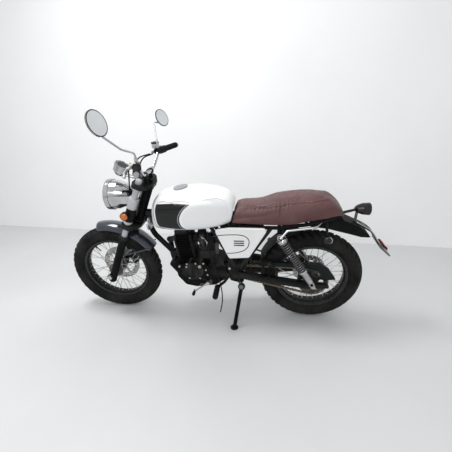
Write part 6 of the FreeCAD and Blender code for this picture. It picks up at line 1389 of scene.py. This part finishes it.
@dataclass
class Lamps:
    """Lenses, dial, mirror glass and the lamps' finishes."""

    headlight: Vector = fixed(1.248, 0.0, 0.856)
    headlight_radius: float = 0.095
    mirrors: Sequence[tuple[Vector, Vector]] = (
        (Vector((1.006, 0.408, 1.322)), Vector((-1.0, 0.20, 0.30))),
        (Vector((0.996, -0.408, 1.252)), Vector((-1.0, 0.40, 0.40))))
    mirror_radius: float = 0.057
    lamp_radius: float = 0.024
    lens_edge_y: float = 0.160
    front_lamp: Flat = (1.107, 0.777)
    rear_lamp: Flat = (-0.044, 0.656)
    speedo: Vector = fixed(1.150, 0.0, 1.012)
    speedo_depth: float = 0.062
    speedo_tilt: float = radians(32.0)
    horn: Vector = fixed(1.006, 0.060, 0.690)

    def build(self) -> None:
        """Builds the lamps' glass and dresses their shells."""
        dress("headlight", CHROME)
        dress("speedometer", CHROME)
        dress("mirrors", CHROME, [(FORK_GREY, lambda at: min((at - middle).length for middle, _ in self.mirrors)
                                   > self.mirror_radius + 0.006)])
        dress("front_indicators", ORANGE_LENS, [(BLACK_PLASTIC, lambda at: abs(at.y) < self.lens_edge_y)])
        dress("rear_indicators", SMOKED_LENS, [(BLACK_PLASTIC, lambda at: abs(at.y) < self.lens_edge_y)])
        dress("tail_light", SMOKED_LENS)
        dress("horn", LEVER_ALLOY)
        self.headlamp()
        self.dial()
        self.glass()
        self.lenses("front_lenses", "steering", self.front_lamp, ORANGE_LENS, BLACK_PLASTIC)
        self.lenses("rear_lenses", "frame", self.rear_lamp, SMOKED_LENS, CHROME)
        self.horn_face()

    def headlamp(self) -> None:
        """Builds the fluted glass and the bezel of the headlight."""
        form = Form()
        glass = self.headlight_radius - 0.007
        form.turn([(-0.004, 0.0), (-0.004, glass - 0.0005), (0.0, glass), (0.0012, glass - 0.006), (0.0042, 0.058),
                   (0.0058, 0.030), (0.0062, 0.0)], self.headlight, FORWARD, 64, 0)
        rim = self.headlight_radius
        form.turn([(-0.011, rim + 0.0002), (-0.002, rim + 0.0010), (0.0016, rim - 0.0006), (0.0024, rim - 0.0036),
                   (0.0008, glass), (-0.006, glass)], self.headlight, FORWARD, 64, 1, True)
        for step in range(-6, 7):
            across = step * 0.0128
            reach = sqrt(glass ** 2 - across ** 2) - 0.008
            line = [self.headlight + SIDE * across + UP * (reach * share)
                    + FORWARD * (0.0060 - 0.0050 * ((reach * share) ** 2 + across ** 2) / glass ** 2)
                    for share in (-1.0, -0.75, -0.5, -0.25, 0.0, 0.25, 0.5, 0.75, 1.0)]
            form.sweep(line, 0.0009, 8, 0)
        form.piece("headlight_glass", "steering", [HEAD_GLASS, CHROME])

    def dial(self) -> None:
        """Builds the dial with its marks, hand, hub cap and bezel."""
        facing = Vector((-sin(self.speedo_tilt), 0.0, cos(self.speedo_tilt)))
        face = self.speedo + facing * (self.speedo_depth / 2)
        right = Vector((0.0, -1.0, 0.0))
        top = facing.cross(right) * -1
        top = top if top.x > 0 else -top
        form = Form()
        form.turn([(0.0001, 0.0), (0.0001, 0.040), (0.0004, 0.040), (0.0004, 0.0)], face, facing, 48, 0)
        form.turn([(0.0, 0.0405), (0.0, 0.047), (0.0022, 0.0466), (0.0032, 0.0445), (0.0022, 0.0415),
                   (0.0006, 0.0405)], face, facing, 48, 2, True)
        for step in range(41):
            angle = radians(225.0 - 270.0 * step / 40)
            out = right * cos(angle) + top * sin(angle)
            side = facing.cross(out) * (0.0007 if step % 4 == 0 else 0.0003)
            inner = 0.030 if step % 4 == 0 else 0.034
            near, far = face + out * inner + facing * 0.0003, face + out * 0.0375 + facing * 0.0003
            form.slab([near - side, far - side, far + side, near + side], facing * 0.0005, 1)
        hand = radians(218.0)
        out = right * cos(hand) + top * sin(hand)
        side = facing.cross(out)
        base = face + facing * 0.0009
        form.slab([base - side * 0.0012 - out * 0.006, base + out * 0.031, base + side * 0.0012 - out * 0.006],
                  facing * 0.0006, 3)
        form.turn([(0.0006, 0.004), (0.0019, 0.0036), (0.0019, 0.0)], face, facing, 20, 0)
        form.piece("speedometer_dial", "steering", [DIAL_BLACK, DIAL_WHITE, CHROME, SIGNAL_RED])

    def glass(self) -> None:
        """Builds the mirror glasses with their rims."""
        form = Form()
        rim = self.mirror_radius
        for middle, facing in self.mirrors:
            form.turn([(0.0001, 0.0), (0.0001, rim - 0.0044), (0.0008, rim - 0.0048), (0.0009, 0.0)], middle, facing,
                      56, 0)
            form.turn([(-0.006, rim - 0.0001), (0.0003, rim - 0.0003), (0.0017, rim - 0.0014), (0.0018, rim - 0.0030),
                       (0.0010, rim - 0.0043), (-0.001, rim - 0.0043)], middle, facing, 56, 1, True)
        form.piece("mirror_glasses", "steering", [MIRROR_GLASS, BLACK_PLASTIC])

    def lenses(self, name: str, body: str, at: Flat, lens: Finish, ring: Finish) -> None:
        """Builds the ribbed lenses of a pair of indicators and the rings that hold them.

        Args:
            name: The piece's name.
            body: The body that carries them.
            at: Where they stand, as x and z.
            lens: The lens finish.
            ring: The ring's finish.
        """
        form = Form()
        base = Vector((at[0], self.lens_edge_y, at[1]))
        big = self.lamp_radius
        dome = [(-0.0010, big - 0.0020)]
        for step in range(1, 14):
            share = step / 14
            rise = 0.0016 + 0.0068 * sin(share * pi / 2) + (0.0004 if step % 2 else 0.0)
            dome.append((rise, (big - 0.0028) * (1.0 - share)))
        dome.append((0.0086, 0.0))
        form.turn([(-0.0010, 0.0), *dome], base, SIDE, 40, 0)
        form.turn([(-0.0040, big + 0.0002), (-0.0004, big + 0.0010), (0.0022, big + 0.0002), (0.0026, big - 0.0016),
                   (0.0004, big - 0.0030), (-0.002, big - 0.0030)], base, SIDE, 40, 1, True)
        if ring is CHROME:
            arc = [base + Vector((sin(turn), 0.0, cos(turn))) * (big - 0.0004) + SIDE * 0.0020
                   for turn in (radians(-150.0 + 9.0 * step) for step in range(17))]
            form.sweep(arc, [0.0004 + 0.0026 * sin(pi * step / 16) for step in range(17)], 12, 2)
        form.mirrored()
        form.piece(name, body, [lens, BLACK_PLASTIC, ring])

    def horn_face(self) -> None:
        """Builds the ringed front of the horn."""
        form = Form()
        form.turn([(-0.001, 0.0), (-0.001, 0.0395), (0.0012, 0.0400), (0.0020, 0.0385), (0.0006, 0.0360),
                   (0.0006, 0.030), (0.0018, 0.028), (0.0006, 0.026), (0.0006, 0.019), (0.0030, 0.016),
                   (0.0036, 0.0)], self.horn, FORWARD, 40, 0)
        form.piece("horn_front", "frame", [CHROME])


@dataclass
class Bars:
    """The handlebar's finishes, the ribbed grips, the switches and the brake reservoir."""

    tip: Vector = fixed(0.903, 0.345, 1.084)
    shoulder: Vector = fixed(0.968, 0.178, 1.081)
    grip_radius: float = 0.017
    grip_length: float = 0.122
    pod_from: float = 0.1295
    pod_to: float = 0.168
    pod_radius: float = 0.0225
    housing_radius: float = 0.020
    reservoir: Vector = fixed(0.994, -0.2018, 1.129)
    reservoir_radius: float = 0.023

    def ways(self, flank: int) -> tuple[Vector, Vector, Vector]:
        """Finds how a grip lies.

        Args:
            flank: The side of the machine.

        Returns:
            Its outer end, the way along it and the way ahead of it.
        """
        mirror = Vector((1.0, float(flank), 1.0))
        tip = self.tip * mirror
        inward = (self.shoulder * mirror - tip).normalized()
        ahead = Vector((abs(inward.y), -inward.x * (-flank), 0.0)).normalized()
        return tip, inward, ahead

    def near_bar(self, at: Vector) -> bool:
        """Tells the housings on the bar from the lever blades.

        Args:
            at: A point of the levers.

        Returns:
            Whether it lies close to the bar.
        """
        tip, inward, _ = self.ways(1 if at.y > 0 else -1)
        offset = at - tip
        return (offset - inward * offset.dot(inward)).length < self.housing_radius + 0.012

    def in_pot(self, at: Vector) -> bool:
        """Tells the brake reservoir from the rest."""
        pot = self.reservoir
        return hypot(at.x - pot.x, at.y - pot.y) < self.reservoir_radius + 0.001 and at.z > pot.z - 0.0335

    def build(self) -> None:
        """Dresses the controls and adds grip ribs, switch housings, buttons and the reservoir lid."""
        dress("handlebar", CHROME)
        dress("grips", BLACK_RUBBER)
        dress("levers", LEVER_ALLOY, [(BLACK_PLASTIC, self.near_bar), (FORK_GREY, self.in_pot)])
        self.ribs()
        self.pods()
        self.lid()

    def ribs(self) -> None:
        """Rings the grips with low ribs."""
        form = Form()
        big = self.grip_radius
        for flank in (1, -1):
            tip, inward, _ = self.ways(flank)
            for step in range(17):
                form.rib(0.008 + step * 0.0062, 0.0008, 0.0038, (big - 0.0004, big + 0.0012), tip, inward, 32)
            form.turn([(self.grip_length - 0.006, big - 0.0003), (self.grip_length - 0.004, big + 0.0022),
                       (self.grip_length + 0.001, big + 0.0058), (self.grip_length + 0.0052, big + 0.0058),
                       (self.grip_length + 0.0052, big - 0.0003)], tip, inward, 32, 0, True)
        form.piece("grip_ribs", "steering", [BLACK_RUBBER])

    def pods(self) -> None:
        """Builds the switch housings with their buttons."""
        form = Form()
        for flank in (1, -1):
            tip, inward, ahead = self.ways(flank)
            middle = (self.pod_from + self.pod_to) / 2
            form.turn([(self.pod_from, self.housing_radius - 0.001), (self.pod_from + 0.0015, self.pod_radius),
                       (middle - 0.0006, self.pod_radius), (middle - 0.0003, self.pod_radius - 0.0009),
                       (middle + 0.0003, self.pod_radius - 0.0009), (middle + 0.0006, self.pod_radius),
                       (self.pod_to - 0.0015, self.pod_radius), (self.pod_to, self.housing_radius - 0.001)],
                      tip, inward, 36, 0, True)
            buttons = ((0.140, -35.0, 0.0052, 2), (0.155, -20.0, 0.0042, 3)) if flank < 0 else (
                (0.138, -15.0, 0.0046, 1), (0.152, -28.0, 0.0052, 1), (0.160, 18.0, 0.0036, 3))
            for place, turn, size, finish in buttons:
                angle = radians(90.0 - turn)
                out = UP * sin(angle) + ahead * -cos(angle)
                form.turn([(self.pod_radius - 0.002, size + 0.0012), (self.pod_radius + 0.0008, size + 0.0010),
                           (self.pod_radius + 0.0009, size), (self.pod_radius + 0.0040, size * 0.94),
                           (self.pod_radius + 0.0046, size * 0.7), (self.pod_radius + 0.0046, 0.0)],
                          tip + inward * place, out, 20, finish)
        form.piece("switch_housings", "steering", [BLACK_PLASTIC, DIAL_WHITE, SIGNAL_RED, FORK_GREY])

    def lid(self) -> None:
        """Builds the reservoir's lid and the small yellow cap by the clutch cable."""
        form = Form()
        form.turn([(-0.007, self.reservoir_radius - 0.0005), (-0.0065, self.reservoir_radius + 0.0012),
                   (0.0012, self.reservoir_radius + 0.0012), (0.0024, self.reservoir_radius - 0.0006),
                   (0.0024, 0.0)], self.reservoir, UP, 40, 0)
        for turn in (0.8, 0.8 + pi):
            spot = self.reservoir + Vector((cos(turn), sin(turn), 0.0)) * 0.015 + UP * 0.0022
            form.turn([(0.0, 0.0032), (0.0012, 0.0032), (0.0018, 0.0024), (0.0018, 0.0)], spot, UP, 16, 1)
        tip, inward, ahead = self.ways(1)
        spot = tip + inward * 0.196 + ahead * 0.030 + UP * 0.012
        form.turn([(-0.004, 0.0045), (0.006, 0.0045), (0.008, 0.0032), (0.008, 0.0)], spot, ahead, 20, 2)
        form.piece("reservoir_lid", "steering", [BLACK_PLASTIC, BOLT_STEEL, CAP_YELLOW])


@dataclass
class Engine:
    """The engine's finishes, cover rims, bolts, sump and the foot controls."""

    bolts: Sequence[Flat] = ((0.845, 0.448), (0.832, 0.410), (0.783, 0.448), (0.783, 0.416), (0.722, 0.444),
                             (0.666, 0.455), (0.661, 0.392), (0.652, 0.356), (0.700, 0.334), (0.768, 0.332))
    big_bolt: Flat = (0.697, 0.422)
    pivot_bolt: Flat = (0.511, 0.403)
    dynamo_rim: Sequence[Flat] = ((0.781, 0.429), (0.723, 0.438), (0.672, 0.402), (0.703, 0.334), (0.770, 0.326),
                                  (0.808, 0.380))
    clutch: Flat = (0.734, 0.347)
    clutch_radius: float = 0.062
    peg: Vector = fixed(0.587, 0.142, 0.290)
    peg_radius: float = 0.016
    gear_tip: Vector = fixed(0.744, 0.124, 0.233)
    pedal_tip: Vector = fixed(0.742, -0.150, 0.268)
    tip_radius: float = 0.009
    stand_pivot: Vector = field(default_factory=lambda: LEVEL @ Vector((-0.1635, -0.027645, 0.271499)))

    def rubber(self, at: Vector) -> bool:
        """Tells the rubber of the pegs and the lever tips.

        Args:
            at: A point of the foot controls.

        Returns:
            Whether it is rubber.
        """
        flat = Vector((at.x, abs(at.y), at.z))
        on_peg = hypot(flat.x - self.peg.x, flat.z - self.peg.z) < self.peg_radius + 0.001 \
            and flat.y > self.peg.y + 0.018
        on_tip = any(hypot(at.x - tip.x, at.z - tip.z) < self.tip_radius + 0.001
                     and abs(at.y) > abs(tip.y) + 0.008 and at.y * tip.y > 0 for tip in (self.gear_tip, self.pedal_tip))
        return on_peg or on_tip

    def lever(self, at: Vector) -> bool:
        """Tells the gear lever and the brake pedal.

        Args:
            at: A point of the foot controls.

        Returns:
            Whether it lies on either of them.
        """
        left = at.y > 0.100 and at.x > 0.634 and at.z < 0.330
        right = at.y < -0.130 and at.x > 0.615 and at.z < 0.330 and abs(at.y) < 0.192
        return left or right

    def build(self) -> None:
        """Dresses the engine's nodes and adds its small parts."""
        dress("crankcase", ENGINE_BLACK)
        dress("cylinder", ENGINE_BLACK)
        dress("carburettor", CARB_ALLOY)
        dress("exhaust", EXHAUST_BLACK)
        dress("foot_controls", FRAME_BLACK, [(LEVER_ALLOY, self.lever), (BLACK_RUBBER, self.rubber)])
        dress("front_struts", FRAME_BLACK, [(HUB_ALLOY, lambda at: (at - self.stand_pivot).length < 0.030)])
        dress("swingarm", FRAME_BLACK)
        self.covers()
        self.intake()
        self.tread()

    def clutch_point(self, turn: float, inset: float) -> Flat:
        """Finds a place inside the clutch cover's edge by its turn."""
        reach = self.clutch_radius - inset
        return self.clutch[0] + cos(turn) * reach, self.clutch[1] + sin(turn) * reach

    def covers(self) -> None:
        """Raises the cover rims, the bolts and the sump on the crankcase."""
        skin = Drape("crankcase")
        form = Form()
        for x, z in self.bolts:
            skin.bolt(form, x, z, 1, 0.0058, 1)
        skin.bolt(form, *self.big_bolt, 1, 0.0105, 1)
        Drape("front_struts").bolt(form, *self.pivot_bolt, 1, 0.0085, 1)
        skin.band(form, self.dynamo_rim, 0.0034, 1, 0.0016, 0, closed=True)
        ring = [self.clutch_point(tau * step / 16, 0.007) for step in range(16)]
        skin.band(form, ring, 0.0032, -1, 0.0014, 0, closed=True)
        for step in range(5):
            skin.bolt(form, *self.clutch_point(tau * step / 5 + 0.3, 0.014), -1, 0.0052, 1)
        skin.patch(form, ((0.706, 0.284), (0.680, 0.289), (0.652, 0.286), (0.634, 0.279)),
                   ((0.708, 0.252), (0.684, 0.245), (0.656, 0.245), (0.636, 0.254)), 1, 0.0008, 2, 10)
        form.piece("engine_fittings", "frame", [ENGINE_BLACK, BOLT_STEEL, SUMP_ALLOY])

    def intake(self) -> None:
        """Adds the rubber boots, the coil, the relay and the linkage round the carburettor."""
        form = Form()
        middle = Vector((0.690, 0.0, 0.572))
        for start, end in ((0.024, 0.058), (-0.062, -0.026)):
            form.turn([(start, 0.026), (start, 0.031), (start + 0.006, 0.0335), (start + 0.012, 0.031),
                       (end - 0.012, 0.031), (end - 0.006, 0.0335), (end, 0.031), (end, 0.026)], middle, FORWARD,
                      32, 0, True)
        form.turn([(0.030, 0.0), (0.030, 0.0275), (0.034, 0.0290), (0.046, 0.0290), (0.050, 0.0250), (0.056, 0.0120),
                   (0.056, 0.0)], middle, UP, 36, 0)
        for low, high, finish in ((Vector((0.606, 0.030, 0.508)), Vector((0.652, 0.064, 0.592)), 0),
                                  (Vector((0.580, 0.040, 0.488)), Vector((0.601, 0.066, 0.562)), 1),
                                  (Vector((0.612, -0.066, 0.500)), Vector((0.655, -0.030, 0.580)), 0)):
            corners = [Vector((x, low.y, z)) for x, z in ((low.x, low.z), (high.x, low.z), (high.x, high.z),
                                                          (low.x, high.z))]
            form.slab(corners, SIDE * (high.y - low.y), finish)
        for line, radius, finish in (
                (((0.676, 0.030, 0.588), (0.664, 0.052, 0.582), (0.650, 0.066, 0.570), (0.640, 0.070, 0.560)),
                 0.0035, 2),
                (((0.700, 0.028, 0.596), (0.690, 0.050, 0.600), (0.668, 0.062, 0.592)), 0.0030, 2),
                (((0.720, 0.020, 0.520), (0.700, 0.052, 0.505), (0.664, 0.064, 0.510), (0.625, 0.060, 0.520)),
                 0.0045, 0)):
            form.sweep(curved([Vector(point) for point in line], 6), radius, 12, finish)
        form.piece("intake_fittings", "frame", [BLACK_RUBBER, CARB_ALLOY, LEVER_ALLOY], bevel=0.0015)

    def tread(self) -> None:
        """Ribs the rubber of the pegs and the lever tips."""
        form = Form()
        for flank in (1, -1):
            base = Vector((self.peg.x, self.peg.y * flank, self.peg.z))
            for step in range(8):
                form.rib(0.020 + step * 0.0098, 0.001, 0.0072, (self.peg_radius - 0.0005, self.peg_radius + 0.0018),
                         base, SIDE * flank, 24)
        for tip in (self.gear_tip, self.pedal_tip):
            out = SIDE if tip.y > 0 else -SIDE
            for step in range(4):
                form.rib(0.009 + step * 0.0060, 0.0008, 0.0044, (self.tip_radius - 0.0004, self.tip_radius + 0.0012),
                         tip, out, 20)
        form.piece("foot_rubbers", "frame", [BLACK_RUBBER])


@dataclass
class Hose:
    """The breather hose that hangs from under the tank."""

    top_y: float = 0.092
    top_z: float = 0.664
    radius: float = 0.0035
    length: float = 0.56265
    route: Sequence[Flat] = ((0.634, 0.664), (0.639, 0.605), (0.632, 0.541), (0.622, 0.492), (0.607, 0.445),
                             (0.586, 0.385), (0.570, 0.343), (0.560, 0.296), (0.555, 0.246), (0.555, 0.202),
                             (0.562, 0.158), (0.570, 0.121))

    def build(self) -> None:
        points = [UPRIGHT @ Vector((x, self.top_y + (self.top_z - z) * tan(LEAN), z)) for x, z in self.route]
        data = bpy.data.curves.new("breather_tube", "CURVE")
        data.dimensions = "3D"
        data.bevel_depth = self.radius
        data.bevel_resolution = 6
        data.resolution_u = 16
        data.use_fill_caps = True
        spline = data.splines.new("NURBS")
        spline.points.add(len(points) - 1)
        for knot, point in zip(spline.points, points):
            knot.co = (*point, 1.0)
        spline.order_u = 3
        spline.use_endpoint_u = True
        data.materials.append(CABLE_BLACK.material())
        made = added("breather_tube", data)
        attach(made, "frame")
        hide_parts("breather_hose")
        LOG.info("breather_tube: %d route points", len(points))


@dataclass
class PlateArm:
    """The bright edges of the plate arm and the reflector block at its end."""

    line: Sequence[Flat] = ((-0.226, 0.706), (-0.312, 0.654), (-0.372, 0.568))
    half_width: float = 0.030
    panel_end: Flat = (-0.426, 0.522)
    block: Vector = fixed(0.017, 0.045, 0.0085)
    block_share: float = 0.44
    block_out: float = 0.0060
    edge_radius: float = 0.0032
    edge_lift: float = 0.001

    def build(self) -> None:
        """Builds both edges and the reflector."""
        form = Form()
        top = traced(self.line, 8)
        for flank in (1, -1):
            form.sweep([point + SIDE * (flank * self.half_width) + UP * self.edge_lift for point in top],
                       self.edge_radius, 12, 1)
        end = Vector((self.panel_end[0], 0.0, self.panel_end[1]))
        start = Vector((self.line[-1][0], 0.0, self.line[-1][1]))
        way = (end - start).normalized()
        out = Vector((way.z, 0.0, -way.x))
        out = out if out.x < 0 else -out
        middle = start.lerp(end, self.block_share) + out * self.block_out
        for reach, wide, deep, finish in ((self.block.x, self.block.y, self.block.z, 0),
                                          (self.block.x - 0.004, self.block.y - 0.005, self.block.z + 0.003, 2)):
            corners = [middle - way * reach - SIDE * wide, middle + way * reach - SIDE * wide,
                       middle + way * reach + SIDE * wide, middle - way * reach + SIDE * wide]
            form.slab(corners, out * deep, finish)
        form.piece("plate_arm_fittings", "frame", [BLACK_PLASTIC, CHROME, SIGNAL_RED], bevel=0.0012)


@dataclass
class Running:
    """The plain finishes of the frame, the fork and the guards."""

    plain: Sequence[tuple[Finish, Sequence[str]]] = (
        (FRAME_BLACK, ("frame_backbone", "frame_down_tube", "seat_rails", "rear_struts", "triple_clamp",
                       "fork_lowers", "side_stand")),
        (BOLT_STEEL, ("front_axle",)),
        (BLACK_PLASTIC, ("airbox",)),
        (GUARD_MATT, ("rear_mudguards",)),
        (GUARD_GREEN, ("chain_guard",)),
        (CHROME, ("grab_rails",)),
        (FORK_GREY, ("fork_uppers",)),
        (CABLE_BLACK, ("cables",)),
        (PLATE_DARK, ("plate_bracket",)),
        (SPROCKET_STEEL, ("rear_sprocket",)))
    pivot_from: float = 0.3

    def build(self) -> None:
        """Dresses every node that keeps its own shape."""
        for finish, nodes in self.plain:
            for node in nodes:
                dress(node, finish)
        dress("rear_axles", BOLT_STEEL, [(FRAME_BLACK, lambda at: at.x > self.pivot_from)])


@dataclass
class Studio:
    """The camera, the floor with its wall, and the soft light."""

    place: Vector = fixed(0.3187, 1.8406, 1.1875)
    yaw: float = radians(7.16)
    pitch: float = radians(17.21)
    roll: float = radians(-0.88)
    focal: float = 295.46
    frame_width: float = 452.0
    sensor: float = 36.0
    wall: tuple[Flat, Flat] = ((3.4266, -1.9843), (-2.2938, -1.5635))
    reach: float = 9.0
    wall_height: float = 5.0
    floor_tints: tuple[Colour, Colour] = ((0.585, 0.60, 0.608), (0.63, 0.64, 0.645))
    wall_tints: tuple[Colour, Colour] = ((0.85, 0.855, 0.86), (0.885, 0.89, 0.895))
    floor_rough: float = 0.42
    wall_rough: float = 0.7
    paint_gloss: float = 0.25
    lights: Sequence[tuple[str, Vector, float, float]] = (
        ("key_lamp", Vector((1.3, 0.1, 3.6)), 1.2, 66.0), ("fill_lamp", Vector((0.6, 3.4, 2.3)), 2.6, 46.0))
    light_aim: Vector = fixed(0.0, 0.0, 0.4)
    fill_light: float = 0.72
    surround: float = 0.80

    def build(self) -> None:
        """Sets camera, floor, wall, lamps and world."""
        self.camera()
        self.floor()
        self.lamps()
        self.world()
        bpy.context.scene.view_settings.view_transform = "Standard"

    def camera(self) -> None:
        """Places the camera where the photograph was taken."""
        ahead = Vector((sin(self.yaw) * cos(self.pitch), -cos(self.yaw) * cos(self.pitch),
                        -sin(self.pitch)))
        right = ahead.cross(UP).normalized()
        over = right.cross(ahead)
        tilted = right * cos(self.roll) + over * sin(self.roll)
        above = over * cos(self.roll) - right * sin(self.roll)
        data = bpy.data.cameras.new("studio_camera")
        data.sensor_width = self.sensor
        data.lens = self.sensor * self.focal / self.frame_width
        data.clip_start = 0.05
        data.clip_end = 60.0
        made = added("studio_camera", data)
        turn = Matrix((tilted, above, -ahead)).transposed().to_4x4()
        made.matrix_world = Matrix.Translation(self.place - Vector((FRAME_ORIGIN.x, FRAME_ORIGIN.y, 0.0))) @ turn
        bpy.context.scene.camera = made

    def sheet(self, name: str, corners: Sequence[Vector], material: bpy.types.Material) -> bpy.types.Object:
        """Adds one flat sheet of the studio.

        Args:
            name: Its name.
            corners: Its four corners.
            material: Its material.

        Returns:
            The sheet.
        """
        data = bpy.data.meshes.new(name)
        data.from_pydata([tuple(corner) for corner in corners], [], [tuple(range(len(corners)))])
        data.materials.append(material)
        made = added(name, data)
        return made

    def paint(self, name: str, tints: tuple[Colour, Colour], rough: float, one_sided: bool) -> bpy.types.Material:
        """Makes the pale paint of the floor or the wall.

        Args:
            name: Its name.
            tints: Its darker and its lighter colour.
            rough: Its roughness.
            one_sided: Whether it is seen from the front only.

        Returns:
            The material.
        """
        made = bpy.data.materials.new(name)
        made.use_nodes = True
        tree = made.node_tree
        clouds = cloud(tree, grow(tree, "TexCoord").outputs["Object"], 1.1, 6.0)
        shader = feed(tree, tree.nodes["Principled BSDF"], Roughness=rough, Specular_IOR_Level=self.paint_gloss,
                      Base_Color=blended(tree, clouds, tints, NOISE_SPAN))
        if one_sided:
            feed(tree, tree.nodes["Material Output"], Surface=mixed(
                tree, grow(tree, "NewGeometry").outputs["Backfacing"], shader.outputs["BSDF"],
                grow(tree, "BsdfTransparent").outputs["BSDF"]))
        return made

    def floor(self) -> None:
        """Lays the floor and stands the wall behind the machine."""
        reach = self.reach
        self.sheet("floor", [Vector((-reach, -reach, 0.0)), Vector((reach, -reach, 0.0)),
                             Vector((reach, reach, 0.0)), Vector((-reach, reach, 0.0))],
                   self.paint("painted_floor", self.floor_tints, self.floor_rough, False))
        right, left = (Vector((*point, 0.0)) for point in self.wall)
        way = (right - left).normalized()
        start, end = left - way * reach, right + way * reach
        high = UP * self.wall_height
        wall = self.sheet("wall", [end, start, start + high, end + high],
                          self.paint("painted_wall", self.wall_tints, self.wall_rough, True))
        wall.visible_shadow = False

    def lamps(self) -> None:
        """Hangs the soft lamps."""
        for name, at, size, power in self.lights:
            data = bpy.data.lights.new(name, "AREA")
            data.shape = "DISK"
            data.size = size
            data.energy = power
            made = added(name, data)
            made.location = at
            made.rotation_euler = (self.light_aim - at).to_track_quat("-Z", "Y").to_euler()

    def world(self) -> None:
        """Fills the room with even light, and shows a pale surround to camera, metal and glass."""
        world = bpy.data.worlds.new("studio_world")
        bpy.context.scene.world = world
        world.use_nodes = True
        tree = world.node_tree
        fill = feed(tree, tree.nodes["Background"], Color=(1.0, 1.0, 1.0, 1.0), Strength=self.fill_light)
        seen = grow(tree, "Background", Color=(self.surround, self.surround, self.surround, 1.0))
        rays = grow(tree, "LightPath").outputs
        either = reckon(tree, "ADD", rays["Is Camera Ray"], rays["Is Glossy Ray"])
        any_of = reckon(tree, "ADD", either.outputs["Value"], rays["Is Transmission Ray"])
        any_of.use_clamp = True
        feed(tree, tree.nodes["World Output"], Surface=mixed(
            tree, any_of.outputs["Value"], fill.outputs["Background"], seen.outputs["Background"]))


def main() -> None:
    """Builds the whole scene, sub-assembly by sub-assembly."""
    logging.basicConfig(level=logging.INFO, format="%(message)s")
    Studio().build()
    Hose().build()
    Running().build()
    Wheel("front", "front_wheel", FRONT_AXLE,
          Tyre("front_tread_tyre", "front_tyre", "front_wheel", FRONT_AXLE, 0.315, 0.054, 0.029)).build()
    Wheel("rear", "rear_wheel", REAR_AXLE,
          Tyre("rear_tread_tyre", "rear_tyre", "rear_wheel", REAR_AXLE, 0.318, 0.062, 0.038)).build()
    DriveChain().build()
    ShockAbsorber().build()
    Seat().build()
    Tank().build()
    SideCover().build()
    FrontGuard().build()
    ForkRings().build()
    Lamps().build()
    Bars().build()
    Engine().build()
    PlateArm().build()


if __name__ == "__main__":
    main()
